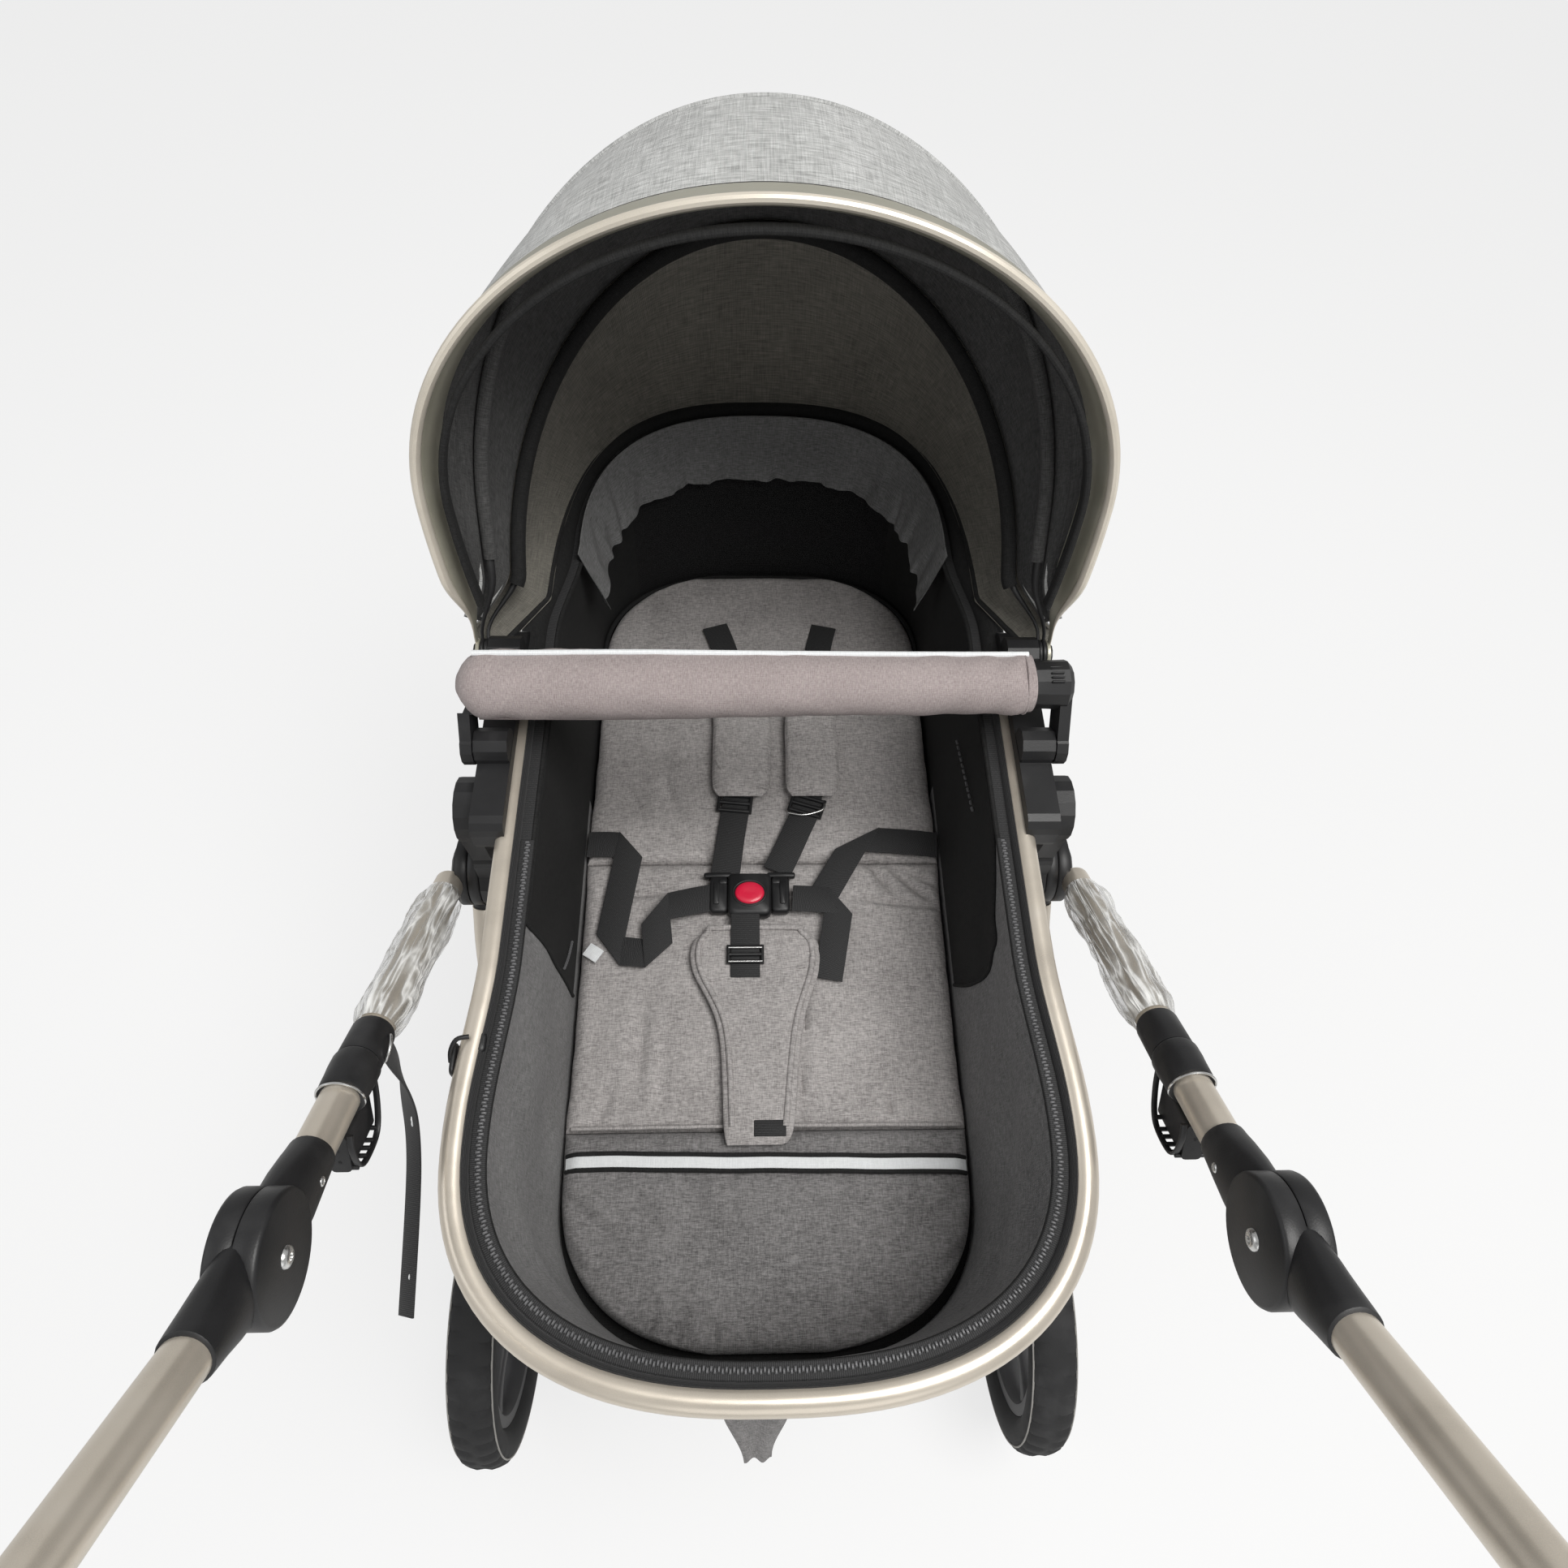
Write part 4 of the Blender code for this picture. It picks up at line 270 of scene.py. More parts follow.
DARK_CLOTH = fabric("dark_lining", (0.004, 0.004, 0.004), (0.016, 0.016, 0.016), sheen=0.0, blotch=0.3)
NET = fabric("black_net", (0.002, 0.002, 0.002), (0.012, 0.012, 0.013), weave=0.0026, depth=0.0008,
             sheen=0.0)
PIPING = fabric("dark_piping", (0.004, 0.004, 0.004), (0.018, 0.018, 0.018), weave=0.0016, sheen=0.0)
REFLECTIVE = fabric("reflective_tape", (0.78, 0.8, 0.81), (0.93, 0.95, 0.96), weave=0.0013, depth=0.0002,
                    blotch=0.05)
BINDING = webbing("black_webbing", (0.017, 0.017, 0.018))
CHAMPAGNE = painted("champagne_tube", (0.74, 0.67, 0.57), 0.3, 0.62)
STRIP = painted("champagne_trim", (0.43, 0.415, 0.335), 0.34, 0.45)
# The lip's paler champagne is partly its own tone and partly a painted highlight on the same trim as the
# strip.
STRIP_LIP_HIGHLIGHT = painted("champagne_lip_highlight", (0.76, 0.7, 0.6), 0.32, 0.35)
BLACK = moulded("black_plastic", (0.014, 0.014, 0.015), 0.42)
BLACK_SOFT = moulded("grip_leather", (0.016, 0.015, 0.015), 0.6, 420.0, 0.0003)
RUBBER = moulded("tyre_rubber", (0.022, 0.022, 0.023), 0.78, 700.0, 0.00015)
# Pale grey for the rings on the tyre shoulders, which are a painted highlight.
TYRE_HIGHLIGHT_LINE = moulded("tyre_highlight_line", (0.36, 0.35, 0.33), 0.7)
RIM_GREY = moulded("rim_plastic", (0.055, 0.055, 0.058), 0.45)
STEEL = painted("steel", (0.7, 0.7, 0.69), 0.25, 0.95)
RED = moulded("red_button", (0.78, 0.01, 0.055), 0.32, 900.0, 0.00003, Coat_Weight=0.3)
FILM = clear_film("clear_film")
TEETH = moulded("zip_teeth", (0.16, 0.16, 0.165), 0.4)


# Shape helpers: a shape is its points, its faces and each face's corner coordinates
def grid(rows, wrap_rows=False, wrap_cols=False, cap=False):
    p = np.array(rows, float)
    count_r, count_c = p.shape[:2]
    step_c = np.linalg.norm(np.roll(p, -1, 1) - p, axis=2).mean(0)
    step_r = np.linalg.norm(np.roll(p, -1, 0) - p, axis=2).mean(1)
    u = np.concatenate([[0.0], np.cumsum(step_c)])
    v = np.concatenate([[0.0], np.cumsum(step_r)])
    verts = p.reshape(-1, 3).tolist()
    faces, corners = [], []
    for i in range(count_r if wrap_rows else count_r - 1):
        k = (i + 1) % count_r
        for j in range(count_c if wrap_cols else count_c - 1):
            m = (j + 1) % count_c
            faces.append((i * count_c + j, i * count_c + m, k * count_c + m, k * count_c + j))
            corners += [(u[j], v[i]), (u[j + 1], v[i]), (u[j + 1], v[i + 1]), (u[j], v[i + 1])]
    if cap:
        for start in (0, (count_r - 1) * count_c):
            faces.append(tuple(range(start, start + count_c)))
            corners += [(float(x), float(y)) for x, y, _ in p.reshape(-1, 3)[start:start + count_c]]
    return verts, faces, corners


def skin(rows):
    """Surface through closed rows, with both ends capped."""
    return grid(rows, wrap_cols=True, cap=True)


def turns(count):
    """Evenly spaced angles round a full turn."""
    return np.linspace(0.0, 2 * pi, count, endpoint=False)


def shares(count):
    """Evenly spaced steps from nought to one."""
    return np.linspace(0.0, 1.0, count)


def along_x(distance):
    """Step along X."""
    return Vector((distance, 0.0, 0.0))


def merge(*shapes):
    verts, faces, corners = [], [], []
    for points, quads, places in shapes:
        base = len(verts)
        verts += points
        faces += [tuple(i + base for i in face) for face in quads]
        corners += places
    return verts, faces, corners


def two_tone(first, second):
    """One shape from two lists of shapes, and the zones that give the second list its own material."""
    zones = [0] * sum(len(s[1]) for s in first) + [1] * sum(len(s[1]) for s in second)
    return merge(*first, *second), zones


def ring(radius, sides=16, squash=1.0):
    turn = 2.0 * pi / sides
    return [(radius * cos(i * turn), radius * squash * sin(i * turn)) for i in range(sides)]


def box_section(width, height, corner=0.0, steps=3):
    """Rounded rectangle as a flat section."""
    corner = min(corner, width / 2, height / 2)
    points = []
    for sx, sy, start in ((1, 1, 0.0), (-1, 1, 0.5), (-1, -1, 1.0), (1, -1, 1.5)):
        for i in range(steps + 1):
            angle = pi * (start + 0.5 * i / steps)
            points.append((sx * (width / 2 - corner) + corner * cos(angle),
                           sy * (height / 2 - corner) + corner * sin(angle)))
    return points


def tube(path, section, up=(0.0, 0.0, 1.0), closed=False, scales=None, cap=True):
    """Carry a section along a path; its second coordinate follows the up direction."""
    points = [Vector(p) for p in path]
    total = len(points)
    rows = []
    for i, point in enumerate(points):
        before = points[(i - 1) % total] if closed or i else points[0]
        after = points[(i + 1) % total] if closed or i < total - 1 else points[-1]
        tangent = (after - before).normalized()
        side = tangent.cross(Vector(up[i] if isinstance(up, list) else up)).normalized()
        lift = side.cross(tangent).normalized()
        scale = scales[i] if scales else 1.0
        rows.append([tuple(point + side * (u * scale) + lift * (v * scale)) for u, v in section])
    return grid(rows, closed, True, cap and not closed)


def turned(profile, centre, segments=48, axis="X"):
    """Revolve (along, radius) pairs about an axis through a centre."""
    rows = []
    for step, radius in profile:
        row = [(step, a, b) if axis == "X" else (a, b, step) for a, b in ring(max(radius, 1e-6), segments)]
        rows.append([tuple(c + d for c, d in zip(centre, spot)) for spot in row])
    return grid(rows, False, True)


def rounded(start, end, radius, edge=0.001):
    """Profile of a rod with rounded end edges."""
    way = 1.0 if end > start else -1.0
    profile = [(start, 0.0), (start, radius - edge)]
    profile += [(start + way * edge * (1 - cos(a)), radius - edge + edge * sin(a))
                for a in (0.5, 1.0, 1.5708)]
    profile += [(end - way * edge * (1 - cos(a)), radius - edge + edge * sin(a))
                for a in (1.5708, 1.0, 0.5)]
    return profile + [(end, radius - edge), (end, 0.0)]


def pill(centre, size, corner, way="Z", steps=4):
    """Block with rounded corners and softened top and bottom, thick along one axis."""
    width, depth, height = size
    rows = []
    soft = min(corner * 0.5, height * 0.3)
    for lift, draw in ((-0.5, soft), (-0.5 + 0.5 * soft / height, soft * 0.3), (-0.5 + soft / height, 0.0),
                       (0.5 - soft / height, 0.0), (0.5 - 0.5 * soft / height, soft * 0.3), (0.5, soft)):
        rows.append([(x, y, lift * height)
                     for x, y in box_section(width - 2 * draw, depth - 2 * draw, corner, steps)])
    order = {"Z": (0, 1, 2), "X": (2, 0, 1), "Y": (0, 2, 1)}[way]
    rows = [[tuple(centre[i] + p[order[i]] for i in range(3)) for p in row] for row in rows]
    return skin(rows)


def spline(points, count):
    """Catmull-Rom curve through chosen points, sampled at even lengths."""
    points = [Vector(p) for p in points]
    fine = []
    for i in range(len(points) - 1):
        a, b, c, d = points[max(i - 1, 0)], points[i], points[i + 1], points[min(i + 2, len(points) - 1)]
        for j in range(24):
            t = j / 24
            cubic = (3 * b - a - 3 * c + d) * t * t * t
            fine.append(0.5 * (2 * b + (c - a) * t + (2 * a - 5 * b + 4 * c - d) * t * t + cubic))
    fine.append(points[-1])
    reach = np.concatenate([[0.0], np.cumsum([(fine[i + 1] - fine[i]).length
                                              for i in range(len(fine) - 1)])])
    route = []
    for s in np.linspace(0.0, reach[-1], count):
        i = min(int(np.searchsorted(reach, s, side="right")) - 1, len(fine) - 2)
        t = (s - reach[i]) / max(reach[i + 1] - reach[i], 1e-9)
        route.append(fine[i].lerp(fine[i + 1], t))
    return route


def ease(value, low, high):
    t = min(max((value - low) / (high - low), 0.0), 1.0)
    return t * t * (3.0 - 2.0 * t)


def ripple(x, y, z, scale, seed=0.0):
    return noise.noise(Vector((x * scale + seed, y * scale - seed, z * scale + 3.1 * seed)))


def crease(x, y, start, end, depth, width):
    """Dent along a line on a flat surface, fading at its ends."""
    ax, ay = start
    bx, by = end
    dx, dy = bx - ax, by - ay
    length = dx * dx + dy * dy
    t = min(max(((x - ax) * dx + (y - ay) * dy) / length, 0.0), 1.0)
    away = hypot(x - ax - dx * t, y - ay - dy * t)
    return depth * exp(-(away / width) ** 2) * (0.35 + 0.65 * sin(pi * min(max(t, 0.04), 0.96)))


def face_out(mesh, join=0.0):
    """Turn all faces outwards, after joining points that are nearer than a distance."""
    shaped = bmesh.new()
    shaped.from_mesh(mesh)
    if join:
        bmesh.ops.remove_doubles(shaped, verts=shaped.verts, dist=join)
    bmesh.ops.recalc_face_normals(shaped, faces=shaped.faces)
    shaped.to_mesh(mesh)
    shaped.free()


def make(name, shape, looks, body, stands_for=(), zones=None, sharp=50.0):
    """Turn a shape into a piece that rides on a body; a piece given two bodies rides on none."""
    verts, faces, corners = shape
    looks = looks if isinstance(looks, list) else [looks]
    mesh = bpy.data.meshes.new(name)
    mesh.from_pydata([(x, y + SHIFT, z) for x, y, z in verts], [], faces)
    layer = mesh.uv_layers.new(name="UVMap")
    layer.data.foreach_set("uv", np.array(corners, np.float32).ravel())
    for look in looks:
        mesh.materials.append(look)
    if zones is not None:
        mesh.polygons.foreach_set("material_index", np.array(zones, np.int32))
    face_out(mesh)
    mesh.shade_smooth()
    mesh.set_sharp_from_angle(angle=radians(sharp))
    made = bpy.data.objects.new(name, mesh)
    bpy.context.scene.collection.objects.link(made)
    if isinstance(body, str):
        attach(made, body)
    else:
        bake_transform(made)
    if stands_for:
        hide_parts(*stands_for)
    return made


def screw(centre, radius, way):
    """Domed screw head with a cross recess ring, facing along X."""
    side = 1.0 if way > 0 else -1.0
    profile = [(0.0, radius), (side * radius * 0.25, radius * 0.92), (side * radius * 0.42, radius * 0.62),
               (side * radius * 0.42, radius * 0.34), (side * radius * 0.18, radius * 0.28),
               (side * radius * 0.18, 0.0)]
    return turned(profile, centre, 20)


# Places on the handle and the seat's outlines
HANDLE_WAY = Vector((0.0, -cos(HANDLE_RISE), sin(HANDLE_RISE)))
HANDLE_UP = Vector((0.0, sin(HANDLE_RISE), cos(HANDLE_RISE)))


def along(distance, x=0.0, lift=0.0):
    """Place on the push tube's line, counted from the hub."""
    return Vector((x, 0.0, HUB_Z)) + HANDLE_WAY * distance + HANDLE_UP * lift


ARM_WAY = Vector((0.0, -cos(ARM_RISE), sin(ARM_RISE)))
ARM_UP = Vector((0.0, sin(ARM_RISE), cos(ARM_RISE)))
DISC = along(DISC_REACH)


def rim_side(y):
    foot_round = RIM_FOOT_END + RIM_FOOT_ROUND
    head_round = RIM_HEAD_END - RIM_HEAD_ROUND
    narrow = ease(y, foot_round, foot_round + 0.12)
    taper = ease(y, head_round - 0.095, head_round)
    return RIM_HALF_FOOT + (RIM_HALF_SIDE - RIM_HALF_FOOT) * narrow + (RIM_HALF_HEAD - RIM_HALF_SIDE) * taper


def plan_outline(side_of, head, foot, ends, sides):
    power = 2.0 / RIM_POWER
    head_centre, foot_centre = head[1] - head[2], foot[1] + foot[2]
    points = []

    def corner(angle, half, centre, reach):
        c, s = cos(angle), sin(angle)
        points.append((copysign(abs(c) ** power, c) * half, centre + reach * copysign(abs(s) ** power, s)))
    for i in range(ends + 1):
        corner(pi * i / ends, head[0], head_centre, head[2])
    for i in range(1, sides):
        y = head_centre + (foot_centre - head_centre) * i / sides
        points.append((-side_of(y), y))
    for i in range(ends + 1):
        corner(pi * (1 + i / ends), foot[0], foot_centre, foot[2])
    for i in range(1, sides):
        y = foot_centre + (head_centre - foot_centre) * i / sides
        points.append((side_of(y), y))
    return points


def rim_outline(inset, ends=56, sides=36):
    return plan_outline(lambda y: rim_side(y) - inset,
                        (RIM_HALF_HEAD - inset, RIM_HEAD_END - inset, RIM_HEAD_ROUND - inset),
                        (RIM_HALF_FOOT - inset, RIM_FOOT_END + inset, RIM_FOOT_ROUND - inset), ends, sides)


def floor_outline(grow, ends=56, sides=36):
    half, out = CUSHION_HALF + FLOOR_ROOM + grow, FLOOR_ROOM + grow
    return plan_outline(lambda y: half, (half, BACK_END_Y + out, HEAD_CORNER + out),
                        (half, FOOT_END_Y - out, FOOT_CORNER + out), ends, sides)


def floor_half(y):
    half = CUSHION_HALF + FLOOR_ROOM
    if y > BACK_END_Y - HEAD_CORNER:
        past = (y - BACK_END_Y + HEAD_CORNER) / (HEAD_CORNER + FLOOR_ROOM)
    elif y < FOOT_END_Y + FOOT_CORNER:
        past = (FOOT_END_Y + FOOT_CORNER - y) / (FOOT_CORNER + FLOOR_ROOM)
    else:
        past = 0.0
    return half * max(1.0 - past ** RIM_POWER, 0.0) ** (1.0 / RIM_POWER)


def cushion_top(x):
    return CUSHION_TOP - CUSHION_CROWN * min(abs(x) / CUSHION_HALF, 1.0) ** 3


# Seat rim with its zip
ZIP_END_Y, COVER_START_Y = -0.035, 0.105


def seat_rim():
    def highlight_line(inset, z, *counts):
        return [(x, y, z) for x, y in rim_outline(inset, *counts)]
    make("rim_tube", tube(highlight_line(0.0, RIM_Z), ring(RIM_TUBE_R, 20), closed=True), CHAMPAGNE, "seat",
         ["seat_rim"])
    binding_z = TUB_TOP_Z + 0.0016
    whole = highlight_line(RIM_TUBE_R + 0.0024, TUB_TOP_Z + 0.0006)
    make("rim_binding", tube(whole, box_section(0.0136, 0.0022, 0.001), closed=True), BINDING, "seat")
    wrap = []
    for r, low, high in ((RIM_TUBE_R + 0.0009, -40.0, 48.0), (RIM_TUBE_R - 0.0002, 48.0, -40.0)):
        wrap += [highlight_line(r * cos(a), RIM_Z + r * sin(a)) for a in np.radians(np.linspace(low, high, 12))]
    make("rim_wrap", grid(wrap, True, True), BINDING, "seat", sharp=70.0)
    make("rim_piping", tube(highlight_line(RIM_TUBE_R + 0.0104, TUB_TOP_Z + 0.0005), ring(0.0019, 10), closed=True),
         PIPING, "seat")
    hidden = [p for p in highlight_line(0.0, RIM_Z, 110, 60) if p[1] > COVER_START_Y]
    hidden.sort(key=lambda p: atan2(p[1] - COVER_START_Y, -p[0]))
    make("rim_cover", tube(hidden, ring(RIM_TUBE_R + 0.0017, 18)), DARK_CLOTH, "seat")
    tape = [p for p in highlight_line(RIM_TUBE_R + 0.0064, binding_z) if p[1] < ZIP_END_Y]
    make("zip_band", tube(tape, box_section(0.0104, 0.0024, 0.001)), BINDING, "seat", ["zip_tape"])
    chain = spline([p for p in highlight_line(RIM_TUBE_R + 0.007, binding_z + 0.0012) if p[1] < ZIP_END_Y], 430)
    teeth = []
    for i in range(1, len(chain) - 1):
        way = (chain[i + 1] - chain[i - 1]).normalized()
        cross = Vector((way.y, -way.x, 0.0))
        near = 0.0005 if i % 2 else -0.0005
        rows = []
        for lift, grow in ((0.0, 1.0), (0.001, 0.92), (0.0015, 0.55)):
            wide, deep, up = 0.0017 * grow, 0.00085 * grow, Vector((0, 0, lift))
            rows.append([tuple(chain[i] + cross * (near + u * wide) + way * (v * deep) + up)
                         for u, v in ((-1, -1), (1, -1), (1, 1), (-1, 1))])
        teeth.append(skin(rows))
    make("zip_teeth", merge(*teeth), TEETH, "seat")
    y = -0.205
    x = -(rim_side(y) + RIM_TUBE_R)
    body = pill((x - 0.0022, y, RIM_Z - 0.004), (0.022, 0.016, 0.0034), 0.004, "X")
    loop = tube(spline([(x + 0.009, y + 0.012, RIM_Z + 0.011), (x + 0.001, y + 0.01, RIM_Z + 0.0115),
                        (x - 0.0035, y + 0.004, RIM_Z + 0.006), (x - 0.004, y - 0.002, RIM_Z)], 16),
                        ring(0.0017, 8))
    slider = pill((x + 0.0135, y + 0.01, RIM_Z + 0.0045), (0.012, 0.014, 0.005), 0.003)
    make("zip_puller", merge(body, loop, slider), BLACK, "seat", ["zip_pull"])


# Carrycot body
WALL_FOOT_Z = 0.498
NET_START, NET_END = 13, 42
SEAM_JOIN = 1e-5


def tub():
    def level(share, inset, z):
        low, high = floor_outline(-inset + TUB_WALL), rim_outline(TUB_TOP_INSET + inset)
        return [(a[0] + (b[0] - a[0]) * share, a[1] + (b[1] - a[1]) * share, z) for a, b in zip(low, high)]

    def height(share):
        return (TUB_FLOOR_Z + 0.01) + (TUB_TOP_Z - TUB_FLOOR_Z - 0.01) * share
    outer = [level(0.0, 0.01, TUB_FLOOR_Z), level(0.0, 0.004, TUB_FLOOR_Z + 0.0015),
             level(0.0, 0.001, TUB_FLOOR_Z + 0.005)]
    outer += [level(s, 0.0, height(s)) for s in shares(18)]
    sagged = []
    for n, row in enumerate(outer):
        share = max(n - 3, 0) / 17
        belly = sin(pi * share)
        highlight_line = []
        for x, y, z in row:
            out = Vector((x, y * 0.45, 0.0)).normalized()
            soft = 0.0022 * ripple(x, y, z * 0.35, 16.0, 2.0) + 0.0008 * ripple(x, y, z, 60.0, 5.0)
            push = belly * (0.0015 + soft)
            highlight_line.append((x + out.x * push, y + out.y * push, z))
        sagged.append(highlight_line)
    inner_levels = [(s, TUB_WALL, TUB_TOP_Z - (TUB_TOP_Z - WALL_FOOT_Z) * (1.0 - s))
                    for s in np.linspace(1.0, 0.0, 18)]
    inner = [[wall_spot(x, y, z, share) for x, y, _ in level(share, inset, z)]
             for share, inset, z in inner_levels]
    inner.append(level(0.0, TUB_WALL, TUB_FLOOR_Z + TUB_WALL))
    rows = sagged + inner
    def zone(i, j):
        """Outer cloth, then dark cloth round the head, net at the head's end and side cloth."""
        if i < len(sagged):
            return 0
        if NET_START <= j <= NET_END:
            return 2 if i - len(sagged) > 2 else 1
        return 1 if inner[0][j][1] > 0.1 else 3
    zones = [zone(i, j) for i in range(len(rows) - 1) for j in range(len(rows[0]))] + [0, 1]
    make("cot_body", skin(rows), [MELANGE_UV, DARK_CLOTH, NET, SIDE_CLOTH], "seat", ["bassinet"], zones,
         60.0)
    bars = []
    for z in (TUB_FLOOR_Z + 0.006, 0.6):
        share = (z - TUB_FLOOR_Z - 0.01) / (TUB_TOP_Z - TUB_FLOOR_Z - 0.01)
        bars.append(tube(level(max(share, 0.0), -0.0018, z), ring(0.002, 8), closed=True))
    make("cot_piping", merge(*bars), PIPING, "seat")
    rows = []
    for n in range(16):
        t = n / 15
        z = 0.655 - 0.072 * t
        y = RIM_FOOT_END + TUB_TOP_INSET - 0.001 - 0.04 * t ** 1.15
        half = 0.0215 - 0.0125 * ease(t, 0.35, 1.0)
        highlight_line = []
        for u in np.linspace(-1.0, 1.0, 14):
            wave = 0.0016 * sin(5.0 * u + 3.0 * t)
            highlight_line.append((-0.0125 + 0.003 * t + half * u, y + wave, z - 0.004 * t * sin(2.0 * u)))
        back = [(x, yy + 0.0016, z) for x, yy, z in reversed(highlight_line)]
        rows.append(highlight_line + back)
    tab = make("foot_tab", skin(rows), FOOT_CLOTH_UV, "seat")
    side_panels()
    pulls = []
    for side, y0, y1, z in ((-1.0, -0.06, -0.093, 0.53), (1.0, 0.105, 0.02, 0.6)):
        highlight_line = [wall_at(side, y0 + (y1 - y0) * t, z + 0.02 * t, 0.003) for t in shares(24)]
        for a, b in zip(highlight_line[::2], highlight_line[1::2]):
            pulls.append(tube([a, b], ring(0.0012, 6)))
    make("wall_zips", merge(*pulls), TEETH, "seat")


def wall_spot(x, y, z, share, inset=0.0):
    """Point of the inner wall with its soft ripples, and slanted pulls towards the foot."""
    out = Vector((x, y * 0.45, 0.0)).normalized()
    belly = sin(pi * min(max(share, 0.0), 1.0)) ** 0.7
    foot = ease(-y, 0.02, 0.16)
    slant = 0.0085 * foot * ripple(y - 0.9 * z, z + 0.6 * y, 0.0, 15.0, 7.0 if x < 0 else 3.0)
    push = belly * (0.0012 * ripple(x, y, z * 0.4, 24.0, 1.0) + slant - 0.0015) - inset
    return (x + out.x * push, y + out.y * push, z)


def wall_at(side, y, z, inset):
    """Inner wall of one long side at a place along it and a height."""
    share = (z - WALL_FOOT_Z) / (TUB_TOP_Z - WALL_FOOT_Z)
    low_start, low_run = BACK_END_Y - HEAD_CORNER, BACK_END_Y - HEAD_CORNER - FOOT_END_Y - FOOT_CORNER
    high_start = RIM_HEAD_END - RIM_HEAD_ROUND
    high_run = high_start - RIM_FOOT_END - RIM_FOOT_ROUND
    t = (low_start + (high_start - low_start) * share - y) / (low_run + (high_run - low_run) * share)
    half = CUSHION_HALF + FLOOR_ROOM
    reach = half + (rim_side(high_start - high_run * t) - TUB_TOP_INSET - TUB_WALL - half) * share
    return wall_spot(side * reach, y, z, share, inset)


def side_panels():
    """Black panels along both sides, which end in a slanted seam before the foot."""
    back = 0.125
    for word, side in SIDES:
        def top(y):
            return 0.656 if side < 0 else 0.631 + 0.029 * ease(y, -0.103, -0.004)

        def front(w):
            if side < 0:
                return -0.098 + 0.003 * w
            return -0.091 - 0.022 * sin(min(w / 0.65, 1.0) * 1.5708) + 0.01 * ease(w, 0.65, 1.0)
        rows = []
        for w in shares(22):
            spots = [front(w) + (back - front(w)) * m for m in shares(40)]
            face = [wall_at(side, y, 0.499 + (top(y) - 0.499) * w, 0.0011) for y in spots]
            rows.append(face)
        panel = make(f"side_panel_{word}", grid(rows), DARK_CLOTH, "seat")
        seam = [row[0] for row in rows] + rows[-1][1:]
        make(f"side_panel_seam_{word}", tube(spline(seam[::3], 90), ring(0.0016, 8)), PIPING, "seat")


# Mattress and foot pad
MATTRESS_CREASES = (
    ((0.093, 0.044), (0.128, -0.004), 0.003, 0.0045), ((0.116, 0.034), (0.163, -0.009), 0.0032, 0.005),
    ((0.13, 0.03), (0.166, 0.01), 0.002, 0.004), ((-0.14, 0.122), (-0.113, 0.083), 0.0022, 0.007),
    ((-0.1, 0.122), (-0.079, 0.083), 0.0022, 0.006), ((-0.13, 0.18), (-0.085, 0.15), 0.0018, 0.008),
    ((-0.109, -0.103), (-0.109, -0.185), 0.0026, 0.007), ((-0.13, -0.17), (-0.142, -0.209), 0.0022, 0.0055),
    ((-0.09, -0.15), (-0.088, -0.209), 0.0016, 0.006), ((0.105, -0.188), (0.106, -0.204), 0.003, 0.0028),
    ((-0.15, 0.002), (-0.07, 0.006), 0.0026, 0.004), ((0.08, -0.002), (0.166, -0.012), 0.0028, 0.0035),
    ((0.036, -0.086), (0.029, -0.208), 0.0024, 0.0022), ((0.07, -0.06), (0.078, -0.19), 0.001, 0.012),
    ((-0.06, 0.06), (-0.05, 0.02), 0.0016, 0.006), ((0.15, -0.09), (0.12, -0.15), 0.0012, 0.009),
)
FOOT_CREASES = (
    ((-0.168, -0.262), (-0.12, -0.3), 0.0024, 0.006), ((-0.12, -0.252), (-0.085, -0.29), 0.002, 0.0065),
    ((-0.06, -0.256), (-0.045, -0.3), 0.0014, 0.008), ((-0.166, -0.3), (-0.14, -0.32), 0.0024, 0.005),
    ((0.165, -0.262), (0.12, -0.292), 0.0022, 0.006), ((0.166, -0.3), (0.135, -0.322), 0.0022, 0.005),
    ((-0.1, -0.372), (-0.085, -0.35), 0.0024, 0.004), ((-0.075, -0.376), (-0.066, -0.352), 0.0024, 0.004),
    ((-0.045, -0.378), (-0.04, -0.356), 0.002, 0.004), ((-0.015, -0.378), (-0.012, -0.36), 0.0016, 0.004),
    ((0.05, -0.376), (0.04, -0.352), 0.0018, 0.0045), ((0.09, -0.368), (0.075, -0.345), 0.0022, 0.0045),
)


